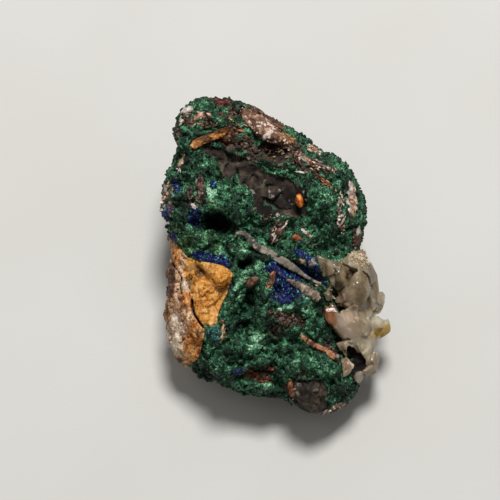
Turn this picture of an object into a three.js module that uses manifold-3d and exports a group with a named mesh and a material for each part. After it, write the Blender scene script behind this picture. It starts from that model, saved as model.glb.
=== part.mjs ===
// Azurite and malachite specimen: a hand-sized lump of iron-stained host rock with a velvety malachite crust,
// small drusy azurite patches, two limonite blocks, a pale vein, loose-looking blades and a quartz cluster on one side.
//
// The shape is described in a face frame: a runs to the right, b up the face and c out of it, in millimetres.
// The whole group is then leaned back by LEAN and lifted, so that the flat break under the rock lies on z = 0.
import * as THREE from "three";
import { ConvexGeometry } from "three/addons/geometries/ConvexGeometry.js";
import { mergeVertices } from "three/addons/utils/BufferGeometryUtils.js";
import Module from "manifold-3d";

const wasm = await Module();
wasm.setup();

// ---- driving dimensions, mm and degrees ----
const LEAN = 20; // the face leans back from level by this much
const LIFT = 20; // height of the face frame's origin above the table
const FACE_HEIGHT = 13; // how far the middle of the face stands out of the outline's plane
const SHOULDER = 0.58; // below 1 makes the shoulders squarer
const CRUST = 2.4; // thickness of the malachite crust
const BURIED = 1.0; // how far the crust's surface drops where bare rock shows
const GAP = 0.3; // clearance between neighbouring pieces
const DETAIL = 9; // icosahedron subdivisions of the rock surface
const FACEWARD = 0.3; // share of the mesh's detail that is moved round to the face
const ORIGIN = [3.211, -0.139]; // the row origin in the leaned frame's x and y, under the middle of the bounding box

// Outline of the rock seen square on to the face, anticlockwise or clockwise, [a, b].
const OUTLINE = [
  [25.0, 10.6], [25.2, 12.7], [24.6, 14.9], [23.9, 16.8], [22.6, 18.7], [21.5, 21.1], [20.2, 23.0], [18.2, 24.4],
  [16.1, 25.6], [13.4, 26.6], [11.8, 28.3], [9.8, 29.8], [7.4, 31.3], [5.5, 32.0], [3.6, 33.1], [1.0, 34.4],
  [-1.4, 36.1], [-3.8, 37.1], [-6.2, 38.0], [-8.6, 38.6], [-11.3, 38.3], [-13.7, 38.6], [-15.8, 37.9], [-18.0, 36.8],
  [-19.3, 35.8], [-19.7, 34.3], [-20.5, 33.4], [-21.0, 31.4], [-21.1, 29.5], [-20.5, 27.6], [-20.3, 25.9], [-21.1, 24.0],
  [-22.2, 21.8], [-23.2, 19.9], [-23.8, 17.8], [-24.0, 15.4], [-24.5, 12.7], [-24.2, 10.8], [-23.2, 8.9], [-22.7, 6.2],
  [-22.4, 3.1], [-22.0, 0.7], [-22.1, -1.2], [-22.7, -3.4], [-22.6, -6.0], [-22.8, -8.9], [-23.0, -11.8], [-23.3, -13.7],
  [-22.9, -16.1], [-22.4, -19.0], [-22.0, -21.4], [-20.9, -23.5], [-19.7, -25.2], [-18.2, -26.4], [-15.8, -28.3], [-13.0, -30.0],
  [-9.6, -30.7], [-7.2, -31.7], [-4.3, -32.9], [-1.0, -33.5], [2.4, -33.6], [5.8, -34.0], [7.2, -35.3], [9.1, -36.7],
  [11.5, -37.9], [13.4, -38.4], [15.4, -37.8], [17.8, -36.5], [20.4, -35.3], [22.1, -33.4], [23.3, -31.0], [23.5, -28.8],
  [22.6, -25.0], [21.1, -20.9], [20.4, -16.1], [20.2, -10.1], [20.6, -5.3], [21.6, -1.7], [23.3, 1.7], [23.9, 4.3],
  [24.1, 6.7], [25.0, 8.6],
];
const RELIEF = [
  ["main_vug", -10.1, 8.2, 3.4, 2.4, -12, -9, 2],
  ["vug_floor", -13.9, 7.0, 3.1, 1.9, 0, -3.5, 1],
  ["vug_rim_right", -6.0, 8.6, 1.7, 4.8, 8, 2.0, 1],
  ["vug_rim_top", -9.6, 13.0, 4.1, 1.7, -30, 1.5, 1],
  ["small_vug", -3.6, -1.4, 1.7, 1.1, 0, -3, 2],
  ["blade_mound", -5.0, 2.9, 2.6, 2.9, 0, 2.0, 1],
  ["blue_hollow", 9.1, -3.1, 5.8, 2.4, -28, -3.2, 1.5],
  ["blue_hollow_low", 5.0, -8.2, 3.4, 2.6, 0, -1.2, 1],
  ["valley_upper", -3.1, -11.0, 1.7, 4.1, -18, -4.5, 1.5],
  ["valley_lower", -5.3, -16.3, 1.7, 3.1, 25, -3.5, 1],
  ["boss_left", -7.4, -13.7, 2.4, 3.4, 10, 2.0, 1],
  ["rib_centre", 0.5, -12.5, 1.9, 5.8, 0, 1.8, 1],
  ["brown_hollow", 7.0, -14.2, 4.3, 1.9, -20, -2.2, 1],
  ["boss_right", 12.5, -15.4, 2.4, 2.2, 0, 1.8, 1],
  ["lower_mound", 9.1, -23.8, 6.7, 3.4, -10, 2.2, 1],
  ["lower_hollow", -1.0, -28.1, 4.3, 1.7, -8, -2.0, 1],
  ["knob", 11.0, -33.4, 4.8, 4.6, 0, 3.0, 2],
  ["grey_bowl", 2.9, 16.1, 6.5, 5.0, -25, -3.0, 1.5],
  ["brown_bowl", 3.8, 25.0, 3.1, 2.4, -20, -3.0, 1.5],
  ["ridge_a", 0.0, 31.7, 7.2, 2.2, -38, 2.8, 1],
  ["ridge_b", 13.4, 24.0, 7.2, 2.2, -35, 2.2, 1],
  ["ochre_ledge", -12.7, 28.8, 4.8, 1.4, 25, 1.4, 1],
  ["right_mound", 15.4, 12.7, 4.1, 7.2, 0, 2.0, 1],
  ["left_vein", -14.9, 16.6, 1.7, 5.3, 5, 1.2, 1],
  ["wedge_gap", -9.8, -10.1, 1.2, 5.8, -25, -1.8, 1.5],
  ["left_flank", -20.6, 12.7, 2.9, 9.6, 0, -1.5, 1],
  ["wedge_face", -12.0, -8.2, 4.3, 7.2, 0, 1.0, 2],
];
const INLAYS = {
  wedge: [[-16.3, -0.5], [-13.7, -1.3], [-10.6, -2.0], [-8.2, -2.9], [-7.4, -3.7], [-7.5, -5.5], [-8.5, -8.4], [-9.5, -10.6], [-10.7, -12.7], [-11.1, -15.0], [-12.5, -16.0], [-14.2, -15.6], [-15.4, -14.4], [-16.2, -12.5], [-16.5, -10.3], [-16.8, -7.7], [-17.0, -4.3]],
  slab: [[-24.5, 5.3], [-21.7, 4.7], [-20.3, 3.0], [-18.6, 1.2], [-16.6, -0.4], [-17.3, -4.1], [-17.1, -7.7], [-16.8, -10.6], [-15.8, -14.6], [-14.1, -16.6], [-13.9, -18.5], [-14.5, -20.9], [-15.1, -23.0], [-16.7, -24.7], [-18.0, -26.4], [-19.4, -25.9], [-25.0, -22.6]],
  window_A: [[-12.7, 25.7], [-9.6, 25.9], [-6.2, 24.7], [-3.1, 22.1], [0.0, 21.4], [4.3, 20.2], [8.2, 18.7], [10.1, 15.1], [11.0, 12.7], [9.1, 10.6], [5.5, 10.8], [2.4, 9.6], [0.0, 10.6], [-1.4, 13.2], [-2.2, 16.8], [-4.6, 19.0], [-7.2, 18.5], [-8.9, 19.7], [-10.8, 22.6]],
  window_brown: [[0.0, 26.9], [3.1, 28.3], [6.2, 27.6], [7.4, 25.4], [6.7, 22.6], [4.1, 22.1], [1.2, 23.3]],
  knob: [[6.0, -29.8], [9.1, -29.0], [13.4, -29.0], [15.4, -31.2], [14.9, -34.1], [16.3, -38.4], [13.0, -39.8], [8.2, -38.4], [6.5, -33.6]],
  vein: [[-4.3, 34.8], [-2.4, 35.3], [0.0, 33.6], [3.1, 30.7], [6.2, 28.1], [7.4, 26.6], [6.0, 26.4], [3.4, 27.4], [1.0, 28.6], [-1.9, 30.0], [-3.8, 32.2]],
  ochre_blade: [[-17.0, 27.6], [-15.8, 28.8], [-12.5, 30.2], [-9.1, 31.4], [-8.2, 31.2], [-8.6, 30.0], [-11.5, 28.6], [-14.2, 26.9], [-16.6, 25.9]],
  az_centre: [[1.0, -1.2], [3.1, 0.0], [6.7, -1.0], [10.1, -1.9], [13.4, -3.4], [14.9, -6.0], [13.2, -6.2], [10.1, -4.6], [8.2, -5.0], [5.8, -6.2], [3.4, -5.3], [1.4, -3.4]],
  az_lower: [[3.4, -6.5], [6.0, -5.5], [8.4, -6.5], [9.1, -8.4], [7.2, -10.1], [4.8, -10.8], [2.6, -9.6]],
  az_rim: [[-16.6, 0.7], [-14.9, 1.7], [-12.0, 0.7], [-7.9, -0.5], [-7.8, -2.6], [-10.6, -1.7], [-13.7, -1.0]],
  az_left: [[-17.5, 11.0], [-15.8, 11.8], [-14.6, 10.6], [-15.1, 8.2], [-16.6, 7.0], [-17.5, 8.6]],
};
const QUARTZ = [
  ["q_main", [[17.8, -1.0, 9], [21.6, -1.4, 10], [25.0, -1.0, 7], [26.9, -2.4, 4], [27.8, -6.7, 2], [27.6, -10.1, 1], [26.4, -13.4, 1], [22.6, -14.9, 7], [19.0, -13.0, 12], [16.8, -9.6, 12], [16.6, -4.3, 11], [19.9, -6.5, 14], [23.5, -5.3, 12], [17.8, -1.0, -8], [25.0, -1.0, -8], [27.4, -7.2, -6], [26.9, -12.5, -6], [19.9, -14.4, -8], [16.6, -7.7, -8]]],
  ["q_upper", [[12.7, 0.7, 9], [15.4, 1.7, 10], [18.5, -0.2, 9], [20.4, -3.1, 10], [19.0, -7.0, 12], [16.6, -10.3, 11], [14.4, -7.2, 10], [16.3, -2.9, 13], [12.7, 0.7, -4], [18.5, -0.2, -6], [19.4, -7.7, -6], [14.4, -7.2, -4]]],
  ["q_shoulder", [[19.4, 1.4, 8], [22.1, 2.6, 6], [24.2, 1.9, 3], [25.4, -0.5, 4], [26.4, -3.4, 5], [24.0, -4.3, 10], [20.6, -2.4, 10], [19.4, 1.4, -8], [24.2, 1.4, -8], [25.9, -2.4, -8], [21.1, -4.1, -8]]],
  ["q_right_lobe", [[26.6, -6.7, 3], [28.6, -7.4, 2], [30.0, -9.1, 0], [29.8, -11.0, -1], [28.3, -13.4, 0], [26.4, -13.4, 4], [25.0, -10.1, 7], [26.6, -6.7, -6], [29.0, -8.2, -6], [29.3, -11.5, -7], [26.4, -13.9, -6], [24.0, -10.1, -6]]],
  ["q_lower_main", [[16.6, -13.2, 8], [19.2, -11.8, 12], [22.6, -13.7, 11], [25.4, -14.4, 6], [27.4, -17.5, 3], [26.2, -20.9, 3], [22.8, -22.1, 7], [19.7, -20.9, 9], [17.3, -18.2, 8], [19.9, -16.8, 12], [17.0, -13.7, -8], [25.9, -14.9, -8], [26.9, -19.2, -8], [21.1, -21.6, -8]]],
  ["q_pane", [[25.0, -13.7, 3], [28.3, -13.7, 2], [30.6, -14.4, 0], [30.7, -17.3, -2], [28.1, -19.4, -1], [25.9, -20.9, 1], [24.0, -18.5, 5], [25.0, -13.7, -7], [30.2, -14.9, -6], [30.2, -17.5, -7], [25.9, -20.4, -8], [23.5, -17.3, -8]]],
  ["q_foot", [[22.3, -21.1, 5], [25.2, -20.9, 3], [27.1, -22.1, 0], [27.8, -24.0, -2], [27.4, -26.6, -4], [26.2, -27.8, -4], [24.2, -26.9, -2], [24.5, -24.0, 2], [22.6, -21.1, -9], [26.9, -22.6, -9], [27.1, -26.4, -9], [24.5, -26.4, -9]]],
  ["q_left_tip", [[18.2, -20.4, 7], [19.9, -20.6, 8], [21.6, -21.4, 7], [21.1, -22.6, 6], [19.7, -23.3, 5], [18.7, -22.1, 6], [18.2, -20.4, -2], [21.6, -21.4, -2], [19.7, -23.5, -2]]],
  ["q_small_a", [[19.2, -24.0, 5], [20.6, -23.8, 6], [22.1, -25.2, 4], [21.4, -26.9, 3], [20.2, -28.1, 2], [19.2, -27.1, 3], [20.4, -25.4, 6.5], [19.2, -24.0, -4], [21.8, -25.4, -4], [20.2, -27.8, -4]]],
  ["q_small_b", [[21.8, -27.8, 1], [23.0, -27.1, 2], [24.7, -27.4, 0], [24.2, -29.3, -2], [23.3, -30.2, -3], [23.5, -28.3, 2.5], [22.1, -27.8, -6], [24.7, -27.6, -6], [23.3, -30.0, -6]]],
  ["q_root", [[16.3, -2.9, 4], [23.5, -1.7, 0], [25.0, -10.1, 0], [24.5, -19.7, 0], [21.6, -26.4, -2], [19.7, -22.1, 2], [16.8, -14.9, 4], [15.8, -7.7, 5], [17.5, -2.9, -10], [23.5, -2.9, -10], [23.5, -24.5, -10], [18.7, -22.1, -10]]],
];
const BLADES = {
  long: [[-6.2, 5.3, 0.38], [-5.3, 5.9, 0.62], [-3.8, 5.6, 0.77], [-1.9, 3.6, 0.82], [0.7, 1.4, 0.84], [3.6, -0.2, 0.94], [5.8, -1.4, 0.96], [8.4, -3.4, 0.72], [11.3, -5.3, 0.5], [14.9, -6.8, 0.22]],
  short: [[5.3, -5.0, 0.24], [7.7, -6.2, 0.77], [9.6, -7.4, 1.15], [11.3, -8.9, 1.44], [13.0, -9.8, 1.2], [13.9, -10.3, 0.48]],
  brown: [[9.1, -18.2, 0.24], [10.8, -19.7, 0.62], [12.7, -20.9, 0.67], [14.9, -21.8, 0.58], [16.6, -23.3, 0.86], [17.3, -24.0, 0.29]],
};

const SIN = Math.sin(THREE.MathUtils.degToRad(LEAN)), COS = Math.cos(THREE.MathUtils.degToRad(LEAN));
const smooth = (lo, hi, x) => { const t = Math.min(1, Math.max(0, (x - lo) / (hi - lo))); return t * t * (3 - 2 * t); };

// A small sum of sines that makes the lumps of the rock, the same on every run.
const WAVES = (() => {
  let s = 4711;
  const next = () => (s = (s * 16807) % 2147483647) / 2147483647;
  return Array.from({ length: 18 }, (_, i) => {
    const long = 8 + 16 * next(), k = (2 * Math.PI) / long, z = 2 * next() - 1, t = 2 * Math.PI * next(), r = Math.sqrt(1 - z * z);
    return [k * r * Math.cos(t), k * r * Math.sin(t), k * z, 2 * Math.PI * next(), 0.045 * long];
  });
})();
const lumps = (a, b, c) => WAVES.reduce((s, [x, y, z, p, m]) => s + m * Math.sin(x * a + y * b + z * c + p), 0) * 0.42;

// Distance from the middle to the outline in direction t.
function reach(t) {
  const dx = Math.cos(t), dy = Math.sin(t);
  let far = 0;
  for (let i = 0; i < OUTLINE.length; i++) {
    const [x1, y1] = OUTLINE[i], [x2, y2] = OUTLINE[(i + 1) % OUTLINE.length];
    const ex = x2 - x1, ey = y2 - y1, det = dx * -ey + ex * dy;
    if (Math.abs(det) < 1e-9) continue;
    const s = (x1 * -ey + ex * y1) / det, u = (dx * y1 - dy * x1) / det;
    if (s > 0 && u >= -1e-6 && u <= 1 + 1e-6) far = Math.max(far, s);
  }
  return far;
}

// Bumps and hollows of the face, in mm out of the face. The rock's hollows are wider than the crust's by widen, so that the crust lines their walls too.
function relief(a, b, widen = 0) {
  let h = 0;
  for (const [, x, y, rx, ry, deg, high, power] of RELIEF) {
    const t = THREE.MathUtils.degToRad(deg), u = (a - x) * Math.cos(t) + (b - y) * Math.sin(t), v = -(a - x) * Math.sin(t) + (b - y) * Math.cos(t);
    const w = high < 0 ? widen : 0;
    h += high * Math.exp(-Math.pow((u / (rx + w)) ** 2 + (v / (ry + w)) ** 2, power));
  }
  return h;
}

function inside(poly, a, b) {
  let odd = false;
  for (let i = 0, j = poly.length - 1; i < poly.length; j = i++) {
    const [xi, yi] = poly[i], [xj, yj] = poly[j];
    if (yi > b !== yj > b && a < ((xj - xi) * (b - yi)) / (yj - yi) + xi) odd = !odd;
  }
  return odd;
}

// Broken faces of the underside and back: directions in the face frame. Each one planes off what stands past it.
const BREAKS = [
  [0.75, 0.1, -0.65], [-0.7, 0.15, -0.7], [0.35, 0.8, -0.5], [-0.45, 0.75, -0.5], [0.5, -0.55, -0.67], [-0.55, -0.5, -0.67], [0.05, 0.62, -0.78], [0.9, 0.35, -0.25],
].map(([x, y, z]) => {
  const n = new THREE.Vector3(x, y, z).normalize(), rim = Math.max(...OUTLINE.map(([a, b]) => a * n.x + b * n.y));
  let far = 0;
  for (let i = 0; i < 400; i++) {
    const dz = -(i % 20 + 0.5) / 20, t = (2 * Math.PI * Math.floor(i / 20)) / 20, l = Math.sqrt(1 - dz * dz);
    const r = reach(t) * Math.pow(l, SHOULDER), a = r * Math.cos(t), b = r * Math.sin(t), z = (b * SIN + LIFT) * (1 - Math.min(1, -1.1 * dz));
    far = Math.max(far, a * n.x + b * n.y + ((z - LIFT - b * SIN) / COS) * n.z);
  }
  return [n.x, n.y, n.z, Math.max(rim + 0.4, 0.84 * far)];
});

// A point of the surface for the unit direction d, moved out along d by offset(a, b, d).
function surface(d, offset, widen = 0) {
  const level = Math.hypot(d.x, d.y), t = Math.atan2(d.y, d.x), rho = reach(t);
  const r = rho * Math.pow(level, SHOULDER), a = r * Math.cos(t), b = r * Math.sin(t);
  let c;
  if (d.z >= 0) {
    c = FACE_HEIGHT * d.z + relief(a, b, widen) * smooth(0, 0.35, d.z);
  } else {
    const rim = b * SIN + LIFT, z = rim * (1 - Math.min(1, -1.1 * d.z));
    c = (z - LIFT - b * SIN) / COS;
  }
  const lump = lumps(a, b, c) * smooth(0, 0.5, Math.abs(d.z)), o = offset(a, b, d);
  const p = new THREE.Vector3(a + d.x * lump, b + d.y * lump, c + d.z * lump);
  if (d.z < 0) for (const [x, y, z, far] of BREAKS) {
    const over = p.x * x + p.y * y + p.z * z - far;
    if (over > 0) p.set(p.x - 0.88 * over * x, p.y - 0.88 * over * y, p.z - 0.88 * over * z);
  }
  p.addScaledVector(d, o);
  if (d.z < 0) { // the underside never passes the table, and is flat where it meets it
    const z = p.y * SIN + p.z * COS + LIFT, flat = -1.1 * d.z >= 1;
    if (flat || z < 0) p.z = (-LIFT - p.y * SIN) / COS;
  }
  return p;
}

// Height of the finished face at (a, b).
function faceAt(a, b) {
  const r = Math.hypot(a, b), level = Math.pow(Math.min(1, r / reach(Math.atan2(b, a))), 1 / SHOULDER), z = Math.sqrt(1 - level * level);
  const c = FACE_HEIGHT * z + relief(a, b) * smooth(0, 0.35, z);
  return c + lumps(a, b, c) * smooth(0, 0.5, z) * z;
}

// ---- helpers between three.js and solids ----
function solid(geometry) {
  const g = geometry.index ? geometry.toNonIndexed() : geometry.clone();
  g.deleteAttribute("normal");
  g.deleteAttribute("uv");
  const m = mergeVertices(g, 1e-4);
  const made = new wasm.Manifold(new wasm.Mesh({ numProp: 3, vertProperties: m.attributes.position.array, triVerts: new Uint32Array(m.index.array) }));
  if (made.volume() < 0) throw new Error("inside out");
  return made;
}
function geometryOf(made) {
  const m = made.getMesh(), v = new Float32Array(m.numVert * 3);
  for (let i = 0; i < m.numVert; i++) v.set(m.vertProperties.subarray(i * m.numProp, i * m.numProp + 3), i * 3);
  const g = new THREE.BufferGeometry().setAttribute("position", new THREE.BufferAttribute(v, 3)).setIndex(new THREE.BufferAttribute(m.triVerts, 1));
  g.computeVertexNormals();
  return g;
}
const largest = (made) => made.decompose().sort((p, q) => q.volume() - p.volume())[0];
const joined = (list) => list.reduce((s, m) => s.add(m));

function skin(offset, widen = 0) {
  const g = new THREE.IcosahedronGeometry(1, DETAIL);
  g.deleteAttribute("normal");
  g.deleteAttribute("uv");
  const m = mergeVertices(g, 1e-5), p = m.attributes.position, d = new THREE.Vector3();
  for (let i = 0; i < p.count; i++) {
    d.fromBufferAttribute(p, i).normalize();
    const z = (d.z + FACEWARD) / (1 + FACEWARD * d.z), l = Math.sqrt(Math.max(0, 1 - z * z)) / Math.max(1e-9, Math.hypot(d.x, d.y));
    d.set(d.x * l, d.y * l, z);
    const q = surface(d, offset, widen);
    p.setXYZ(i, q.x, q.y, q.z);
  }
  return solid(m);
}

// A polygon of the face, moved out by grow, as a prism from c = low upwards.
function prism(poly, grow, low, high = 60) {
  const area = poly.reduce((s, [x, y], i) => { const [u, v] = poly[(i + 1) % poly.length]; return s + x * v - u * y; }, 0);
  const ring = area > 0 ? poly : [...poly].reverse();
  const moved = ring.map(([x, y], i) => {
    const [px, py] = ring[(i + ring.length - 1) % ring.length], [nx, ny] = ring[(i + 1) % ring.length];
    const l1 = Math.hypot(x - px, y - py), l2 = Math.hypot(nx - x, ny - y);
    const n1 = [(y - py) / l1, -(x - px) / l1], n2 = [(ny - y) / l2, -(nx - x) / l2];
    const k = 1 + n1[0] * n2[0] + n1[1] * n2[1];
    return new THREE.Vector2(x + (grow * (n1[0] + n2[0])) / Math.max(k, 0.5), y + (grow * (n1[1] + n2[1])) / Math.max(k, 0.5));
  });
  const g = new THREE.ExtrudeGeometry(new THREE.Shape(moved), { depth: high - low, bevelEnabled: false, steps: 1 });
  g.translate(0, 0, low);
  return solid(g);
}

// One crystal as the hull of its corners, fattened by grow.
function crystal(corners, grow) {
  const pts = [];
  for (const [x, y, z] of corners) {
    if (!grow) pts.push(new THREE.Vector3(x, y, z));
    else for (const [i, j, k] of [[1, 0, 0], [-1, 0, 0], [0, 1, 0], [0, -1, 0], [0, 0, 1], [0, 0, -1]]) pts.push(new THREE.Vector3(x + grow * i, y + grow * j, z + grow * k));
  }
  return solid(new ConvexGeometry(pts));
}

// A thin blade lying on the face along a path of [a, b, half width].
function blade(path, grow, rise, sides = 6) {
  const n = path.length, c0 = path.map(([a, b]) => faceAt(a, b));
  // a straight crystal rests on its highest points
  const along = path.map((p, i) => i / (n - 1));
  let best = null;
  for (let s = -12; s <= 12; s += 0.25) {
    const base = Math.max(...c0.map((c, i) => c - s * along[i])), over = c0.reduce((m, c, i) => m + base + s * along[i] - c, 0);
    if (!best || over < best[0]) best = [over, base, s];
  }
  const verts = [], tris = [];
  path.forEach(([a, b, w], i) => {
    const [pa, pb] = path[Math.max(0, i - 1)], [na, nb] = path[Math.min(n - 1, i + 1)];
    const l = Math.hypot(na - pa, nb - pb), ta = (na - pa) / l, tb = (nb - pb) / l, c = best[1] + best[2] * along[i] + rise;
    const ends = (i === 0 ? -grow : i === n - 1 ? grow : 0);
    for (let k = 0; k < sides; k++) {
      const t = (2 * Math.PI * (k + 0.5)) / sides, u = Math.cos(t) * (w + grow), v = Math.sin(t) * (0.8 * w + 0.25 + grow);
      verts.push(a - tb * u + ta * ends, b + ta * u + tb * ends, c + v);
    }
  });
  for (let i = 0; i < n - 1; i++) for (let k = 0; k < sides; k++) {
    const p = i * sides + k, q = i * sides + ((k + 1) % sides), r = p + sides, s = q + sides;
    tris.push(p, q, r, q, s, r);
  }
  const first = verts.length / 3;
  for (const i of [0, n - 1]) {
    let m = [0, 0, 0];
    for (let k = 0; k < sides; k++) for (let j = 0; j < 3; j++) m[j] += verts[3 * (i * sides + k) + j] / sides;
    verts.push(...m);
  }
  for (let k = 0; k < sides; k++) {
    tris.push(first, (k + 1) % sides, k);
    tris.push(first + 1, (n - 1) * sides + k, (n - 1) * sides + ((k + 1) % sides));
  }
  const build = (t) => new THREE.BufferGeometry().setAttribute("position", new THREE.Float32BufferAttribute(verts, 3)).setIndex(t);
  try { return solid(build(tris)); } catch (e) {
    const turned = [];
    for (let i = 0; i < tris.length; i += 3) turned.push(tris[i], tris[i + 2], tris[i + 1]);
    return solid(build(turned));
  }
}

// ---- where the crust grows and where bare rock shows ----
const BARE = ["window_A", "window_brown", "knob"].map((n) => INLAYS[n]);
function crusted(a, b, d) {
  if (d.z < -0.34) return false; // the underside is bare
  return !BARE.some((poly) => d.z > 0.02 && inside(poly, a, b));
}
const rockOffset = (grow) => (a, b, d) => (crusted(a, b, d) ? -CRUST : 0) + grow;
const crustOffset = (a, b, d) => (crusted(a, b, d) ? 0 : -BURIED);

const rockWhole = skin(rockOffset(0), 1.8);
const rockGrown = skin(rockOffset(GAP), 1.3);
const crustWhole = skin(crustOffset);
const full = skin(() => 0);

// ---- pieces let into the face, from the top of the stack down ----
const pieces = []; // { name, made, socket }
const inlay = (name, poly, low) => pieces.push({ name, made: prism(INLAYS[poly], 0, low).intersect(full), socket: prism(INLAYS[poly], GAP, low - GAP) });
const mid = (poly) => { const p = INLAYS[poly]; return p.reduce(([x, y], [a, b]) => [x + a / p.length, y + b / p.length], [0, 0]); };
const depthOf = (poly, deep) => faceAt(...mid(poly)) - deep;

pieces.push({ name: "quartz_cluster", made: joined(QUARTZ.map(([, c]) => crystal(c, 0))), socket: joined(QUARTZ.map(([, c]) => crystal(c, GAP))) });
pieces.push({ name: "long_blade", made: blade(BLADES.long, 0, 0.5), socket: blade(BLADES.long, GAP, 0.5) });
pieces.push({ name: "short_blade", made: blade(BLADES.short, 0, -0.2), socket: blade(BLADES.short, GAP, -0.2) });
pieces.push({ name: "brown_blade", made: blade(BLADES.brown, 0, -0.1), socket: blade(BLADES.brown, GAP, -0.1) });
inlay("limonite_wedge", "wedge", -2);
inlay("limonite_slab", "slab", -7);
inlay("pale_vein", "vein", depthOf("vein", 4));
inlay("ochre_blade", "ochre_blade", depthOf("ochre_blade", 3));
inlay("azurite_centre", "az_centre", depthOf("az_centre", 3));
inlay("azurite_below", "az_lower", depthOf("az_lower", 2.5));
inlay("azurite_rim", "az_rim", depthOf("az_rim", 3));
inlay("azurite_left", "az_left", depthOf("az_left", 3));

let rock = rockWhole, crust = crustWhole.subtract(rockGrown);
const finished = [];
for (const piece of pieces) {
  let made = piece.made;
  for (const done of finished) made = made.subtract(done.socket);
  finished.push({ ...piece, made: largest(made) });
  rock = rock.subtract(piece.socket);
  crust = crust.subtract(piece.socket);
}

const COLOURS = {
  matrix_rock: [0x4a4038, 0.9],
  malachite_crust: [0x1f6b4c, 0.8],
  quartz_cluster: [0xb9aea0, 0.2],
  limonite_wedge: [0xc07a2c, 0.85],
  limonite_slab: [0xa8784a, 0.85],
  long_blade: [0x9c8f83, 0.6],
  short_blade: [0xa39488, 0.7],
  brown_blade: [0x7c4a2c, 0.7],
  ochre_blade: [0xa4642c, 0.8],
  pale_vein: [0xb09a88, 0.6],
  azurite_centre: [0x14206e, 0.5],
  azurite_below: [0x1a2a86, 0.5],
  azurite_rim: [0x1c2c80, 0.5],
  azurite_left: [0x202c78, 0.5],
};

const specimen = new THREE.Group();
specimen.rotation.x = THREE.MathUtils.degToRad(LEAN);
specimen.position.set(-ORIGIN[0], -ORIGIN[1], LIFT);
function add(name, made) {
  const [color, roughness] = COLOURS[name];
  const mesh = new THREE.Mesh(geometryOf(made), new THREE.MeshStandardMaterial({ color, roughness, metalness: 0 }));
  mesh.name = name;
  specimen.add(mesh);
}
add("matrix_rock", largest(rock));
add("malachite_crust", largest(crust));
for (const { name, made } of finished) add(name, made);

const part = new THREE.Group();
part.add(specimen);
part.updateMatrixWorld(true);
export default part;
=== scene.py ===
"""Azurite and malachite specimen: the looks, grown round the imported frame.

Lengths are millimetres in a face frame (a to the right, b up the face, c out of it) until a mesh is made, which
places them in the row frame in metres. Surfaces are level sets on a fine grid: the lump's smooth skin, pushed out by
crystal growths and cut by breaks, then meshed.
"""
import math

import bmesh
import bpy
import numpy as np
import openvdb as vdb
from mathutils import Matrix, Vector


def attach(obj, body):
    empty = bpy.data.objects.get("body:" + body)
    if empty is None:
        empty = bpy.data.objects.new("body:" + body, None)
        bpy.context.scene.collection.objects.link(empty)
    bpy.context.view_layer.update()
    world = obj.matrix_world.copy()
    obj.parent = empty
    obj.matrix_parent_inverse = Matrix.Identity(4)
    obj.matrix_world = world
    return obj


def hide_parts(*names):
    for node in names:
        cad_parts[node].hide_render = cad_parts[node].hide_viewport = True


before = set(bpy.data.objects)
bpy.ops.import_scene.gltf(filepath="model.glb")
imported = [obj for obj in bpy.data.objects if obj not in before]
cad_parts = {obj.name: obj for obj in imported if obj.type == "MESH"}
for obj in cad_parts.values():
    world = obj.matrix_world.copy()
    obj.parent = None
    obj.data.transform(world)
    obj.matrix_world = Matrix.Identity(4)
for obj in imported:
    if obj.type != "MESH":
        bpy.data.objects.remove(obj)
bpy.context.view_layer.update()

# ------------------------------------------------------------------ shape data, mm
LEAN, LIFT, FACE_HEIGHT, SHOULDER = 20.0, 20.0, 13.0, 0.58
ORIGIN = (3.211, -0.139)
SIN, COS = math.sin(math.radians(LEAN)), math.cos(math.radians(LEAN))
OUTLINE = np.array([
    [25.0, 10.6], [25.2, 12.7], [24.6, 14.9], [23.9, 16.8], [22.6, 18.7], [21.5, 21.1],
    [20.2, 23.0], [18.2, 24.4], [16.1, 25.6], [13.4, 26.6], [11.8, 28.3], [9.8, 29.8],
    [7.4, 31.3], [5.5, 32.0], [3.6, 33.1], [1.0, 34.4], [-1.4, 36.1], [-3.8, 37.1],
    [-6.2, 38.0], [-8.6, 38.6], [-11.3, 38.3], [-13.7, 38.6], [-15.8, 37.9], [-18.0, 36.8],
    [-19.3, 35.8], [-19.7, 34.3], [-20.5, 33.4], [-21.0, 31.4], [-21.1, 29.5], [-20.5, 27.6],
    [-20.3, 25.9], [-21.1, 24.0], [-22.2, 21.8], [-23.2, 19.9], [-23.8, 17.8], [-24.0, 15.4],
    [-24.5, 12.7], [-24.2, 10.8], [-23.2, 8.9], [-22.7, 6.2], [-22.4, 3.1], [-22.0, 0.7],
    [-22.1, -1.2], [-22.7, -3.4], [-22.6, -6.0], [-22.8, -8.9], [-23.0, -11.8], [-23.3, -13.7],
    [-22.9, -16.1], [-22.4, -19.0], [-22.0, -21.4], [-20.9, -23.5], [-19.7, -25.2], [-18.2, -26.4],
    [-15.8, -28.3], [-13.0, -30.0], [-9.6, -30.7], [-7.2, -31.7], [-4.3, -32.9], [-1.0, -33.5],
    [2.4, -33.6], [5.8, -34.0], [7.2, -35.3], [9.1, -36.7], [11.5, -37.9], [13.4, -38.4],
    [15.4, -37.8], [17.8, -36.5], [20.4, -35.3], [22.1, -33.4], [23.3, -31.0], [23.5, -28.8],
    [22.6, -25.0], [21.1, -20.9], [20.4, -16.1], [20.2, -10.1], [20.6, -5.3], [21.6, -1.7],
    [23.3, 1.7], [23.9, 4.3], [24.1, 6.7], [25.0, 8.6],
])
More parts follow.
